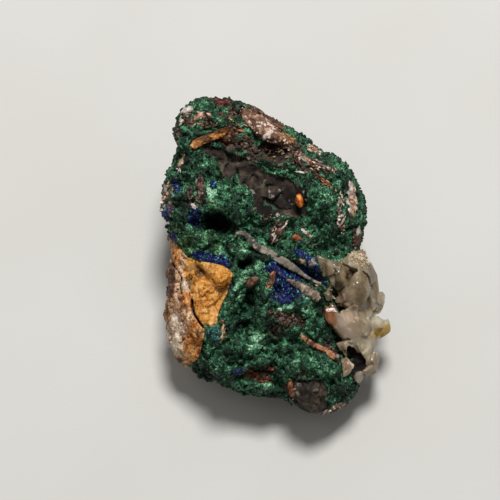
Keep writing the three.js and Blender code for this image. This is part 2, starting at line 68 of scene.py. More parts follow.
RELIEF = [
    ["main_vug", -10.1, 8.2, 3.4, 2.4, -12, -9, 2],
    ["vug_floor", -13.9, 7.0, 3.1, 1.9, 0, -3.5, 1],
    ["vug_rim_right", -6.0, 8.6, 1.7, 4.8, 8, 2.0, 1],
    ["vug_rim_top", -9.6, 13.0, 4.1, 1.7, -30, 1.5, 1],
    ["small_vug", -3.6, -1.4, 1.7, 1.1, 0, -3, 2],
    ["blade_mound", -5.0, 2.9, 2.6, 2.9, 0, 2.0, 1],
    ["blue_hollow", 9.1, -3.1, 5.8, 2.4, -28, -3.2, 1.5],
    ["blue_hollow_low", 5.0, -8.2, 3.4, 2.6, 0, -1.2, 1],
    ["valley_upper", -3.1, -11.0, 1.7, 4.1, -18, -4.5, 1.5],
    ["valley_lower", -5.3, -16.3, 1.7, 3.1, 25, -3.5, 1],
    ["boss_left", -7.4, -13.7, 2.4, 3.4, 10, 2.0, 1],
    ["rib_centre", 0.5, -12.5, 1.9, 5.8, 0, 1.8, 1],
    ["brown_hollow", 7.0, -14.2, 4.3, 1.9, -20, -2.2, 1],
    ["boss_right", 12.5, -15.4, 2.4, 2.2, 0, 1.8, 1],
    ["lower_mound", 9.1, -23.8, 6.7, 3.4, -10, 2.2, 1],
    ["lower_hollow", -1.0, -28.1, 4.3, 1.7, -8, -2.0, 1],
    ["knob", 11.0, -33.4, 4.8, 4.6, 0, 3.0, 2],
    ["grey_bowl", 2.9, 16.1, 6.5, 5.0, -25, -3.0, 1.5],
    ["brown_bowl", 3.8, 25.0, 3.1, 2.4, -20, -3.0, 1.5],
    ["ridge_a", 0.0, 31.7, 7.2, 2.2, -38, 2.8, 1],
    ["ridge_b", 13.4, 24.0, 7.2, 2.2, -35, 2.2, 1],
    ["ochre_ledge", -12.7, 28.8, 4.8, 1.4, 25, 1.4, 1],
    ["right_mound", 15.4, 12.7, 4.1, 7.2, 0, 2.0, 1],
    ["left_vein", -14.9, 16.6, 1.7, 5.3, 5, 1.2, 1],
    ["wedge_gap", -9.8, -10.1, 1.2, 5.8, -25, -1.8, 1.5],
    ["left_flank", -20.6, 12.7, 2.9, 9.6, 0, -1.5, 1],
    ["wedge_face", -12.0, -8.2, 4.3, 7.2, 0, 1.0, 2],
]
POLYS = {
    "wedge": [[-16.3, -0.5], [-13.7, -1.3], [-10.6, -2.0], [-8.2, -2.9], [-7.4, -3.7], [-7.5, -5.5], [-8.5, -8.4], [-9.5, -10.6], [-10.7, -12.7], [-11.1, -15.0], [-12.5, -16.0], [-14.2, -15.6], [-15.4, -14.4], [-16.2, -12.5], [-16.5, -10.3], [-16.8, -7.7], [-17.0, -4.3]],
    "slab": [[-24.5, 5.3], [-21.7, 4.7], [-20.3, 3.0], [-18.6, 1.2], [-16.6, -0.4], [-17.3, -4.1], [-17.1, -7.7], [-16.8, -10.6], [-15.8, -14.6], [-14.1, -16.6], [-13.9, -18.5], [-14.5, -20.9], [-15.1, -23.0], [-16.7, -24.7], [-18.0, -26.4], [-19.4, -25.9], [-25.0, -22.6]],
    "window_A": [[-12.7, 25.7], [-9.6, 25.9], [-6.2, 24.7], [-3.1, 22.1], [0.0, 21.4], [4.3, 20.2], [8.2, 18.7], [10.1, 15.1], [11.0, 12.7], [9.1, 10.6], [5.5, 10.8], [2.4, 9.6], [0.0, 10.6], [-1.4, 13.2], [-2.2, 16.8], [-4.6, 19.0], [-7.2, 18.5], [-8.9, 19.7], [-10.8, 22.6]],
    "window_brown": [[0.0, 26.9], [3.1, 28.3], [6.2, 27.6], [7.4, 25.4], [6.7, 22.6], [4.1, 22.1], [1.2, 23.3]],
    "knob": [[6.0, -29.8], [9.1, -29.0], [13.4, -29.0], [15.4, -31.2], [14.9, -34.1], [16.3, -38.4], [13.0, -39.8], [8.2, -38.4], [6.5, -33.6]],
    "vein": [[-4.3, 34.8], [-2.4, 35.3], [0.0, 33.6], [3.1, 30.7], [6.2, 28.1], [7.4, 26.6], [6.0, 26.4], [3.4, 27.4], [1.0, 28.6], [-1.9, 30.0], [-3.8, 32.2]],
    "ochre_blade": [[-17.0, 27.6], [-15.8, 28.8], [-12.5, 30.2], [-9.1, 31.4], [-8.2, 31.2], [-8.6, 30.0], [-11.5, 28.6], [-14.2, 26.9], [-16.6, 25.9]],
    "az_centre": [[1.0, -1.2], [3.1, 0.0], [6.7, -1.0], [10.1, -1.9], [13.4, -3.4], [14.9, -6.0], [13.2, -6.2], [10.1, -4.6], [8.2, -5.0], [5.8, -6.2], [3.4, -5.3], [1.4, -3.4]],
    "az_lower": [[3.4, -6.5], [6.0, -5.5], [8.4, -6.5], [9.1, -8.4], [7.2, -10.1], [4.8, -10.8], [2.6, -9.6]],
    "az_rim": [[-16.6, 0.7], [-14.9, 1.7], [-12.0, 0.7], [-7.9, -0.5], [-7.8, -2.6], [-10.6, -1.7], [-13.7, -1.0]],
    "az_left": [[-17.5, 11.0], [-15.8, 11.8], [-14.6, 10.6], [-15.1, 8.2], [-16.6, 7.0], [-17.5, 8.6]],
}
QUARTZ = [
    ["q_main", [[17.8, -1.0, 9], [21.6, -1.4, 10], [25.0, -1.0, 7], [26.9, -2.4, 4], [27.8, -6.7, 2], [27.6, -10.1, 1], [26.4, -13.4, 1], [22.6, -14.9, 7], [19.0, -13.0, 12], [16.8, -9.6, 12], [16.6, -4.3, 11], [19.9, -6.5, 14], [23.5, -5.3, 12], [17.8, -1.0, -8], [25.0, -1.0, -8], [27.4, -7.2, -6], [26.9, -12.5, -6], [19.9, -14.4, -8], [16.6, -7.7, -8]]],
    ["q_upper", [[12.7, 0.7, 9], [15.4, 1.7, 10], [18.5, -0.2, 9], [20.4, -3.1, 10], [19.0, -7.0, 12], [16.6, -10.3, 11], [14.4, -7.2, 10], [16.3, -2.9, 13], [12.7, 0.7, -4], [18.5, -0.2, -6], [19.4, -7.7, -6], [14.4, -7.2, -4]]],
    ["q_shoulder", [[19.4, 1.4, 8], [22.1, 2.6, 6], [24.2, 1.9, 3], [25.4, -0.5, 4], [26.4, -3.4, 5], [24.0, -4.3, 10], [20.6, -2.4, 10], [19.4, 1.4, -8], [24.2, 1.4, -8], [25.9, -2.4, -8], [21.1, -4.1, -8]]],
    ["q_right_lobe", [[26.6, -6.7, 3], [28.6, -7.4, 2], [30.0, -9.1, 0], [29.8, -11.0, -1], [28.3, -13.4, 0], [26.4, -13.4, 4], [25.0, -10.1, 7], [26.6, -6.7, -6], [29.0, -8.2, -6], [29.3, -11.5, -7], [26.4, -13.9, -6], [24.0, -10.1, -6]]],
    ["q_lower_main", [[16.6, -13.2, 8], [19.2, -11.8, 12], [22.6, -13.7, 11], [25.4, -14.4, 6], [27.4, -17.5, 3], [26.2, -20.9, 3], [22.8, -22.1, 7], [19.7, -20.9, 9], [17.3, -18.2, 8], [19.9, -16.8, 12], [17.0, -13.7, -8], [25.9, -14.9, -8], [26.9, -19.2, -8], [21.1, -21.6, -8]]],
    ["q_pane", [[25.0, -13.7, 3], [28.3, -13.7, 2], [30.6, -14.4, 0], [30.7, -17.3, -2], [28.1, -19.4, -1], [25.9, -20.9, 1], [24.0, -18.5, 5], [25.0, -13.7, -7], [30.2, -14.9, -6], [30.2, -17.5, -7], [25.9, -20.4, -8], [23.5, -17.3, -8]]],
    ["q_foot", [[22.3, -21.1, 5], [25.2, -20.9, 3], [27.1, -22.1, 0], [27.8, -24.0, -2], [27.4, -26.6, -4], [26.2, -27.8, -4], [24.2, -26.9, -2], [24.5, -24.0, 2], [22.6, -21.1, -9], [26.9, -22.6, -9], [27.1, -26.4, -9], [24.5, -26.4, -9]]],
    ["q_left_tip", [[18.2, -20.4, 7], [19.9, -20.6, 8], [21.6, -21.4, 7], [21.1, -22.6, 6], [19.7, -23.3, 5], [18.7, -22.1, 6], [18.2, -20.4, -2], [21.6, -21.4, -2], [19.7, -23.5, -2]]],
    ["q_small_a", [[19.2, -24.0, 5], [20.6, -23.8, 6], [22.1, -25.2, 4], [21.4, -26.9, 3], [20.2, -28.1, 2], [19.2, -27.1, 3], [20.4, -25.4, 6.5], [19.2, -24.0, -4], [21.8, -25.4, -4], [20.2, -27.8, -4]]],
    ["q_small_b", [[21.8, -27.8, 1], [23.0, -27.1, 2], [24.7, -27.4, 0], [24.2, -29.3, -2], [23.3, -30.2, -3], [23.5, -28.3, 2.5], [22.1, -27.8, -6], [24.7, -27.6, -6], [23.3, -30.0, -6]]],
    ["q_root", [[16.3, -2.9, 4], [23.5, -1.7, 0], [25.0, -10.1, 0], [24.5, -19.7, 0], [21.6, -26.4, -2], [19.7, -22.1, 2], [16.8, -14.9, 4], [15.8, -7.7, 5], [17.5, -2.9, -10], [23.5, -2.9, -10], [23.5, -24.5, -10], [18.7, -22.1, -10]]],
]
BLADES = {
    "long": [[-6.2, 5.3, 0.38], [-5.3, 5.9, 0.62], [-3.8, 5.6, 0.77], [-1.9, 3.6, 0.82], [0.7, 1.4, 0.84], [3.6, -0.2, 0.94], [5.8, -1.4, 0.96], [8.4, -3.4, 0.72], [11.3, -5.3, 0.5], [14.9, -6.8, 0.22]],
    "short": [[5.3, -5.0, 0.24], [7.7, -6.2, 0.77], [9.6, -7.4, 1.15], [11.3, -8.9, 1.44], [13.0, -9.8, 1.2], [13.9, -10.3, 0.48]],
    "brown": [[9.1, -18.2, 0.24], [10.8, -19.7, 0.62], [12.7, -20.9, 0.67], [14.9, -21.8, 0.58], [16.6, -23.3, 0.86], [17.3, -24.0, 0.29]],
}


def pairs_of(flat):
    return [(flat[i], flat[i + 1]) for i in range(0, len(flat), 2)]



POLYS["wedge"] = [-17.52, -0.24, -15.12, -0.96, -12.48, -1.44, -10.08, -1.92, -8.16, -2.64, -7.08, -3.60, -7.56, -5.76, -8.40, -8.40, -9.72, -10.56, -10.32, -12.24, -10.80, -14.16, -11.04, -15.60, -12.48, -16.32, -14.16, -15.84, -15.12, -14.64, -15.96, -13.44, -16.56, -12.00, -16.68, -10.32, -16.56, -8.64, -17.52, -6.72, -18.48, -4.56, -18.96, -2.40]
POLYS["slab"] = [-23.04, 5.28, -22.08, 4.32, -20.88, 3.48, -19.44, 1.80, -18.24, 0.24, -17.28, -0.72, -18.72, -2.40, -18.36, -4.56, -17.52, -6.72, -16.56, -8.64, -16.68, -10.32, -16.56, -12.00, -15.96, -13.44, -15.12, -14.88, -13.92, -16.80, -14.16, -18.72, -14.88, -21.60, -15.12, -23.52, -17.04, -25.44, -18.24, -26.64, -19.20, -27.36, -26.88, -24.48, -26.88, 4.32]
POLYS["window_A"] = [-14.16, 26.64, -11.04, 26.16, -7.27, 24.62, -4.08, 23.52, -2.88, 22.32, -1.44, 21.60, 0.00, 20.23, 2.64, 19.44, 6.00, 18.72, 7.68, 17.04, 9.84, 16.08, 11.04, 13.44, 10.56, 10.56, 8.16, 9.60, 5.28, 10.32, 2.16, 9.60, -0.84, 10.08, -1.99, 12.72, -2.30, 15.60, -3.17, 18.24, -3.84, 19.68, -4.92, 18.48, -6.10, 19.92, -7.99, 18.48, -9.36, 19.68, -10.49, 22.56, -13.20, 25.20]
POLYS["window_brown"] = [-0.96, 26.64, 1.20, 28.08, 4.56, 28.08, 6.72, 26.16, 6.72, 24.00, 5.28, 22.80, 2.40, 22.56, 0.00, 23.76]
POLYS["vein"] = [-5.28, 36.24, -2.88, 35.52, -0.96, 34.32, 1.44, 32.88, 4.08, 30.96, 6.48, 29.04, 6.96, 26.88, 4.80, 26.88, 1.92, 28.08, -1.20, 29.04, -3.12, 30.96, -4.80, 33.36]
POLYS["ochre_blade"] = [-17.28, 26.64, -15.60, 28.44, -13.20, 29.52, -10.80, 30.72, -8.40, 31.56, -7.68, 30.48, -9.36, 28.80, -11.76, 27.84, -13.92, 26.88, -16.08, 25.68]
POLYS = {k: pairs_of(v) if not isinstance(v[0], (list, tuple)) else v for k, v in POLYS.items()}
BLADES["long"] = [(-6.48, 4.99), 0.24, (-5.90, 5.81), 0.46, (-4.80, 5.95), 0.55, (-3.77, 5.40), 0.62, (-2.69, 4.20), 0.77, (-1.32, 2.83), 0.91, (0.29, 1.92), 0.94, (1.92, 1.10), 0.94, (3.36, 0.14), 0.98, (5.14, -0.84), 1.01, (6.77, -1.92), 0.94, (8.40, -3.00), 0.74, (10.01, -4.18), 0.46, (12.14, -5.33), 0.34, (14.04, -6.34), 0.19]
BLADES["short"] = [(5.64, -5.04), 0.24, (6.72, -5.52), 0.53, (7.92, -6.10), 0.82, (9.12, -6.72), 1.01, (10.32, -7.44), 1.20, (11.62, -8.09), 1.39, (12.48, -8.88), 1.30, (13.56, -9.84), 0.77]
BLADES = {k: [[*v[i], v[i + 1]] for i in range(0, len(v), 2)] if isinstance(v[0], tuple) else v for k, v in BLADES.items()}

# finer ridges (height above 0) and furrows (below 0) of the face: points, half width, height
STROKES = [
    ("vug_rim", [-11.52, 13.92, -9.84, 11.52, -7.92, 9.60, -6.00, 8.16], 0.72, 0.9),
    ("vug_rim_low", [-6.00, 8.16, -7.20, 5.28, -7.92, 2.88, -6.00, 0.00, -3.84, -1.20], 0.58, 0.9),
    ("left_ridge", [0.00, -0.96, -2.88, -2.40, -4.56, -3.84, -5.76, -6.72, -7.68, -10.08], 0.62, 1.1),
    ("curl", [-6.24, 10.56, -4.56, 10.08, -3.60, 8.64], 0.43, 0.6),
    ("furrow_a", [-3.84, -6.72, -2.88, -9.60, -2.16, -12.96, -3.60, -16.32], 0.62, -1.4),
    ("furrow_b", [-3.60, -16.32, -6.24, -17.28, -8.64, -16.32], 0.58, -0.9),
    ("furrow_c", [-11.52, -22.56, -8.64, -24.00, -5.28, -24.96], 0.53, -0.9),
    ("furrow_d", [-3.84, 8.64, -1.44, 5.28, 1.92, 3.36, 5.76, 1.44], 0.48, -0.8),
    ("furrow_e", [9.12, 11.04, 13.44, 8.64, 15.36, 5.28], 0.77, -0.9),
    ("furrow_f", [-18.24, 19.68, -17.28, 16.32, -17.76, 12.96], 0.53, -0.8),
    ("furrow_g", [-13.44, 30.72, -11.04, 29.76, -8.64, 31.20], 0.48, -0.8),
    ("top_furrow", [-9.60, 36.00, -7.68, 35.04, -5.28, 34.08], 0.48, -0.7),
    ("lower_rim", [-8.64, -29.28, -4.32, -32.16, 1.44, -33.84, 5.76, -34.08], 0.62, 0.8),
    ("lower_furrow", [-6.24, -27.36, -1.44, -29.28, 3.36, -29.76], 0.72, -0.9),
    ("rib_right", [5.76, -11.52, 8.16, -10.08, 10.56, -10.56], 0.62, 0.8),
    ("tuft_edge", [12.00, -13.92, 13.92, -14.88, 15.60, -17.28], 0.53, 0.7),
    ("right_furrow", [19.20, 21.60, 20.16, 18.24, 19.92, 13.92, 18.72, 10.56], 0.48, -0.8),
    ("step", [-0.48, 13.92, 3.36, 12.48, 6.72, 11.04, 10.08, 12.00], 0.58, -0.7),
    ("wedge_hollow", [-14.88, -2.88, -13.92, -4.32], 1.08, -1.4),
    ("wedge_lip", [-14.16, -0.96, -10.56, -1.44, -7.68, -2.88], 0.48, -0.5),
    ("slab_fold", [-19.68, -0.96, -18.24, -5.76, -17.76, -10.08], 0.38, -0.7),
    ("knob_left", [7.20, -29.76, 7.20, -33.12, 9.12, -36.00], 0.48, 0.7),
    ("knob_fold", [13.44, -30.24, 14.40, -33.60, 14.88, -36.48], 0.48, -0.8),
]
CRACKS = [  # open cracks: points, half width, depth
    ("wedge_crack", [-16.63, -10.08, -16.63, -11.52, -16.18, -13.32, -15.29, -14.88, -14.28, -16.20, -13.20, -16.80], 0.22, 4.0),
    ("wedge_crack_thin", [-18.24, -4.56, -17.28, -6.96, -16.56, -8.64, -16.63, -10.56], 0.12, 1.6),
    ("slab_crack", [-22.32, 1.44, -21.12, -1.68, -20.21, -3.22, -19.54, -4.56, -19.39, -6.36, -19.06, -8.40], 0.17, 2.2),
    ("slab_crack_low", [-19.06, -8.40, -18.72, -10.08, -18.65, -11.76], 0.12, 1.4),
]
LINES = [  # light or dark lines of the crust: points, half width, tone, hue
    ("mound_rim", [-7.32, 7.68, -8.06, 5.28, -8.06, 3.36, -6.72, 0.82, -4.08, -1.06], 0.43, 0.38, 0.55),
    ("ridge", [-0.96, -2.16, -3.84, -3.12, -4.80, -5.28, -6.00, -7.20, -7.44, -8.88, -8.16, -11.04], 0.86, 0.56, 0.46),
    ("ribs", [4.80, -12.24, 6.72, -11.52, 8.64, -10.80, 10.56, -10.08], 0.77, 0.42, 0.22),
    ("vug_rim", [-13.68, 16.32, -12.00, 14.64, -11.28, 12.48, -9.36, 10.80, -7.44, 9.36, -5.76, 8.40], 1.08, 0.20, 0.62),
    ("under_blade", [0.00, -0.96, 5.28, -4.32, 8.64, -5.76, 12.00, -8.16], 0.58, 0.22, 0.35),
    ("tuft_rim", [9.12, 2.40, 12.00, 3.36, 13.44, 1.92], 0.58, 0.22, 0.30),
    ("below_wedge", [-12.96, -17.28, -11.52, -19.20, -9.84, -20.64], 0.72, 0.26, 0.12),
    ("below_wedge_b", [-10.32, -10.80, -11.76, -15.36, -12.96, -17.52], 0.48, 0.20, 0.30),
    ("window_hem", [-9.60, 20.88, -7.20, 19.20, -3.84, 17.76, -1.68, 14.88, -0.48, 10.56], 0.62, 0.10, 0.45),
    # dark_left: painted shadow in the crevice along the wedge's right edge
    ("dark_left", [-6.96, -0.96, -6.96, -4.32, -8.64, -8.16, -10.32, -11.28], 0.53, -0.45, 0.4),
    ("dark_ridge", [-2.40, -0.96, -3.36, -1.92, -4.56, -1.92], 0.72, -0.5, 0.4),
    # quartz_foot: painted shade where the crust meets the quartz
    ("quartz_foot", [14.40, -8.16, 14.40, -12.00, 15.84, -16.32, 17.76, -20.16, 19.68, -23.52, 21.60, -26.40, 22.56, -30.24], 0.82, -0.5, 0.4),
    # wedge_top: painted shadow under the crust's overhang at the wedge's top edge
    ("wedge_top", [-18.00, 0.48, -15.12, -0.48, -11.52, -1.44, -7.92, -2.40], 0.34, -0.5, 0.4),
    # low_edge: painted shade along the lower rim where the face turns under
    ("low_edge", [-15.84, -25.92, -12.48, -28.80, -8.16, -31.20, -2.88, -33.12, 1.92, -34.08], 0.72, -0.25, 0.4),
    ("mound_low", [-5.76, -0.96, -3.12, 0.00, -1.44, 0.96], 0.53, -0.35, 0.4),
]

# where the malachite is lighter (above 0) or darker (below 0), and its hue: 0 bluish, 1 yellowish
TONES = [
    ("bright_boss", -1.68, -20.40, 1.68, 2.64, 0, 0.42, 0.55),
    ("bright_boss_tail", 0.00, -17.28, 0.96, 2.16, 20, 0.16, 0.55),
    ("rib_a", 6.00, -11.76, 1.92, 0.82, -8, 0.42, 0.30),
    ("rib_b", 10.32, -10.80, 1.20, 0.86, 30, 0.42, 0.30),
    ("vug_rim", -12.00, 14.88, 1.68, 3.60, 12, 0.26, 0.72),
    ("vug_lip", -8.16, 10.08, 1.92, 1.44, -40, 0.18, 0.62),
    ("blade_mound", -5.04, 2.40, 1.68, 2.16, 15, 0.32, 0.52),
    ("left_ridge", -5.76, -7.20, 1.08, 3.60, 22, 0.36, 0.58),
    ("ridge_top", -3.12, -2.40, 2.16, 0.96, 25, 0.24, 0.5),
    ("shelf_spot", -11.04, 2.40, 1.44, 1.20, 0, 0.30, 0.85),
    ("shelf", -15.84, 3.36, 4.56, 2.64, 10, -0.06, 0.78),
    ("left_field", -20.64, 7.20, 2.16, 1.92, 0, 0.06, 0.82),
    ("right_field", 14.40, 15.36, 4.08, 5.76, 0, 0.16, 0.30),
    ("right_tuft", 12.48, 14.40, 1.68, 1.68, 0, 0.18, 0.30),
    ("right_top", 17.28, 21.12, 2.88, 1.68, -30, 0.10, 0.42),
    ("right_low", 17.76, 4.32, 2.64, 2.16, 0, 0.10, 0.40),
    ("mid_tuft", 0.00, 10.56, 4.08, 2.64, -10, 0.06, 0.40),
    ("needles_spot", 13.44, -16.32, 2.16, 1.92, 0, 0.22, 0.34),
    ("needles_edge", 14.40, -14.40, 1.44, 0.72, -45, 0.36, 0.45),
    ("lower_tuft", 7.68, -26.40, 2.40, 1.44, 0, 0.20, 0.40),
    ("lower_tuft_b", 3.84, -23.52, 2.16, 1.20, 0, 0.18, 0.36),
    ("lower_tuft_c", 12.00, -23.52, 2.88, 1.44, -20, 0.12, 0.40),
    ("bluish", -11.04, -17.28, 1.68, 2.16, 20, 0.22, 0.05),
    ("bluish_low", -12.96, -22.56, 1.44, 1.44, 0, 0.18, 0.25),
    ("mint_mound", -4.80, 1.92, 2.16, 1.92, 0, 0.34, 0.50),
    ("mint_low", -0.96, -19.20, 1.92, 2.88, 0, 0.22, 0.50),
    ("window_spot", -10.56, 23.52, 1.20, 0.62, -10, 0.30, 0.55),
    ("window_spot_b", -2.88, 23.52, 1.08, 0.58, 10, 0.28, 0.50),
    ("window_spot_c", -5.52, 26.16, 0.96, 1.20, 0, 0.20, 0.45),
    ("top_green", -14.64, 31.44, 1.68, 0.72, 20, 0.16, 0.50),
    ("top_pale", -7.20, 35.04, 2.16, 1.20, 0, 0.18, 0.66),
    ("upper_left_edge", -21.60, 19.68, 1.44, 1.20, 20, 0.16, 0.50),
    ("lower_rim", -2.88, -32.16, 6.72, 0.96, -14, 0.12, 0.45),
    ("lower_rim_b", -8.16, -29.28, 1.44, 1.68, 30, 0.16, 0.50),
    # vug_dark, vug_shelf_dark and small_vug_dark: painted shade down in the vugs
    ("vug_dark", -10.08, 8.40, 3.36, 1.92, -12, -1.2, 0.5),
    ("vug_shelf_dark", -11.04, 5.28, 3.12, 1.20, 0, -0.22, 0.6),
    ("small_vug_dark", -4.08, -1.44, 1.44, 0.82, 0, -0.8, 0.5),
    ("left_dark", -18.24, 12.48, 1.20, 2.88, 0, -0.25, 0.5),
    # valley_dark, valley_dark_b and valley_dark_c: painted shade down in the valley
    ("valley_dark", -2.88, -12.96, 1.20, 3.60, -6, -0.40, 0.5),
    ("valley_dark_b", -6.24, -16.32, 2.16, 0.96, 20, -0.28, 0.5),
    ("valley_dark_c", -3.60, -9.84, 0.96, 1.44, 0, -0.3, 0.5),
    ("centre_dark", 0.00, -15.36, 1.44, 2.88, 0, -0.12, 0.5),
    ("low_left_dark", -10.08, -24.96, 4.08, 0.96, -14, -0.20, 0.4),
    ("right_dark", 14.40, 8.16, 2.16, 1.44, -20, -0.26, 0.4),
    ("right_dark_b", 10.56, 17.76, 1.92, 2.16, 0, -0.24, 0.4),
    ("upper_left_dark", -18.72, 21.12, 2.40, 3.60, 10, -0.18, 0.45),
    ("boss_left_dark", -7.44, -15.36, 2.40, 2.40, 0, -0.06, 0.45),
    ("quartz_edge_dark", 13.44, -21.12, 1.20, 2.40, 35, -0.26, 0.4),
    ("low_right_dark", 18.24, -31.20, 3.36, 2.88, 0, -0.12, 0.4),
    ("mid_dark", 1.44, 6.24, 4.32, 1.44, -35, -0.14, 0.4),
]
# where other stuff shows through the crust: brown or grey rock, rust, white crystals, azurite dust
STAINS = [  # name, place, half sizes, degrees, kind, strength
    ("brown_hollow", 6.24, -14.88, 3.36, 1.56, -8, "rock", 1.0),
    ("brown_hollow_low", 3.36, -17.76, 2.16, 2.16, 0, "rock", 0.55),
    ("lower_band", -0.96, -28.32, 4.08, 1.20, -14, "rust", 0.9),
    ("lower_band_b", 1.92, -26.64, 1.20, 0.82, 0, "red", 0.9),
    ("left_vein", -14.64, 16.32, 1.20, 3.84, 4, "rock", 0.95),
    ("top_brown", -9.60, 37.44, 2.16, 1.20, -8, "red", 0.9),
    ("top_dark", -12.00, 38.88, 1.44, 0.96, 30, "rock", 0.7),
    ("edge_strip", 0.96, 34.32, 5.76, 0.77, -34, "rust", 0.9),
    ("edge_ochre", 5.76, 29.28, 2.16, 0.62, -42, "ochre", 0.9),
    ("right_edge", 22.80, 4.80, 1.20, 2.64, 8, "rock", 0.9),
    ("right_veins", 21.36, 14.88, 0.96, 3.12, 4, "pale", 0.9),
    ("right_vein_b", 18.72, 8.64, 0.72, 3.12, 8, "pale", 0.7),
    ("right_streaks", 15.36, 21.60, 3.36, 0.77, -24, "pale", 0.65),
    ("right_streaks_b", 9.84, 24.00, 2.88, 0.96, -40, "pale", 0.6),
    ("right_streaks_c", 13.44, 19.20, 2.88, 0.53, -38, "rust", 0.7),
    ("edge_white", 12.72, 26.16, 1.68, 0.72, -28, "pale", 0.8),
    ("left_edge", -23.04, 14.88, 0.86, 3.36, -8, "pale", 0.6),
    ("beige_streak", -19.44, 22.80, 0.43, 1.92, -18, "pale", 0.75),
    ("left_brown", -17.52, 32.64, 1.20, 1.44, 0, "rock", 0.8),
    ("top_left_dark", -20.40, 29.76, 0.96, 2.40, 0, "rock", 0.8),
    ("vein_brown", -6.96, 30.72, 1.68, 1.92, 0, "rust", 0.75),
    ("vein_under", -2.40, 26.40, 2.88, 0.96, -20, "rock", 0.8),
    ("hollow_rim", 3.36, 21.60, 3.36, 0.72, 0, "rock", 0.5),
    ("jagged", 3.36, 6.72, 1.20, 3.12, -28, "rock", 0.85),
    ("mid_brown", -1.92, 11.52, 1.20, 0.96, 0, "rust", 0.35),
    ("purple", 10.32, 5.76, 1.44, 0.82, -35, "pale", 0.5),
    ("under_purple", 12.48, 3.36, 2.16, 0.96, -30, "rock", 0.5),
    ("centre_rust", -2.40, -5.76, 1.92, 1.32, 10, "rust", 0.7),
    ("low_left_rust", -9.12, -17.28, 0.72, 2.64, -12, "rust", 0.45),
    ("knob_left", 6.96, -31.68, 0.96, 2.40, 10, "ochre", 0.5),
    ("low_grey", 17.76, -36.24, 2.40, 0.62, 24, "pale", 0.8),
    ("quartz_edge", 16.32, -22.08, 0.96, 2.88, 40, "rock", 0.9),
    ("upper_brown", -5.28, 26.88, 3.84, 1.68, 10, "rock", 0.95),
    ("upper_brown_b", -8.64, 28.08, 2.88, 1.20, -24, "rust", 0.9),
    ("upper_brown_c", 9.12, 22.08, 2.88, 1.20, -28, "rock", 0.8),
    ("upper_brown_d", -2.40, 24.48, 2.16, 1.44, 0, "rock", 0.85),
    ("upper_brown_e", -13.68, 33.12, 2.16, 1.20, 0, "rust", 0.6),
    ("beside_vein", -6.72, 35.04, 1.92, 1.20, -30, "rock", 0.75),
    ("hollow_side", 8.16, 25.44, 1.92, 2.16, 40, "rock", 0.85),
    ("window_low", 1.44, 9.12, 2.40, 0.96, 20, "rock", 0.6),
    ("left_rock", -17.28, 14.88, 1.20, 3.12, 8, "rock", 0.7),
    ("left_flank_rock", -22.08, 12.00, 0.96, 2.40, -10, "rock", 0.75),
    ("right_rock", 20.64, 10.08, 2.16, 1.20, 60, "rock", 0.5),
    ("low_mid_rock", 3.36, -12.96, 2.40, 1.20, -20, "rock", 0.75),
    ("centre_rock", 9.12, -15.36, 1.44, 2.40, 0, "rock", 0.6),
    ("under_knob", 10.56, -27.84, 2.88, 0.96, 0, "rock", 0.5),
    ("blue_small", -5.28, -27.12, 1.68, 0.86, -4, "blue", 1.0),
    ("blue_hint", -11.76, 17.04, 0.82, 1.08, 0, "blue", 0.6),
    ("blue_hint_b", -20.64, 17.28, 0.96, 2.16, 10, "blue", 0.65),
    ("blue_left", -23.28, 11.04, 1.20, 1.68, -25, "blue", 0.8),
    ("blue_mid", -7.44, -7.68, 0.62, 1.68, 20, "blue", 0.55),
    ("blue_right", 10.56, 0.00, 3.36, 1.20, -34, "blue", 0.85),
    ("blue_low", -21.60, 4.32, 0.96, 1.68, -20, "blue", 0.8),
    ("vug_blue", -15.84, 9.60, 1.44, 2.40, 6, "blue", 0.8),
    ("blue_centre", 5.76, -5.28, 3.36, 3.84, -20, "blue", 0.55),
]

# ------------------------------------------------------------------ the grid
H = 0.25  # grid step
LO = np.array([-27.5, -41.5, -37.0])
HI = np.array([32.5, 40.5, 17.5])
N = np.ceil((HI - LO) / H).astype(int) + 1
AX = [(LO[i] + H * np.arange(N[i])).astype(np.float32) for i in range(3)]
A2, B2 = np.meshgrid(AX[0], AX[1], indexing="ij")
C3 = AX[2][None, None, :]
BAND = 3.0


def row(p):
    p = np.asarray(p, float).reshape(-1, 3)
    return np.stack([p[:, 0] - ORIGIN[0], p[:, 1] * COS - p[:, 2] * SIN - ORIGIN[1], p[:, 1] * SIN + p[:, 2] * COS + LIFT], 1) / 1000.0


def smooth(lo, hi, x):
    t = np.clip((x - lo) / (hi - lo), 0, 1)
    return t * t * (3 - 2 * t)


def unit(v):
    return v / np.maximum(np.linalg.norm(v, axis=-1, keepdims=True), 1e-9)


class Noise:
    """Smooth repeating value noise from -1 to 1."""

    def __init__(self, seed, n=64):
        self.v = np.random.default_rng(seed).uniform(-1, 1, (n, n, n)).astype(np.float32)
        self.n = n

    def __call__(self, p, cell):
        q = np.asarray(p, np.float32) / np.float32(cell)
        i = np.floor(q).astype(np.int64)
        f = q - i
        f = f * f * f * (f * (f * 6 - 15) + 10)
        out = 0
        for dx in (0, 1):
            for dy in (0, 1):
                for dz in (0, 1):
                    w = (f[:, 0] if dx else 1 - f[:, 0]) * (f[:, 1] if dy else 1 - f[:, 1]) * (f[:, 2] if dz else 1 - f[:, 2])
                    out = out + w * self.v[(i[:, 0] + dx) % self.n, (i[:, 1] + dy) % self.n, (i[:, 2] + dz) % self.n]
        return out

    def octaves(self, p, cell, count=3, fall=0.5):
        out, gain = 0, 1.0
        for k in range(count):
            out = out + gain * self(np.asarray(p) + 17.3 * k, cell / 2**k)
            gain *= fall
        return out


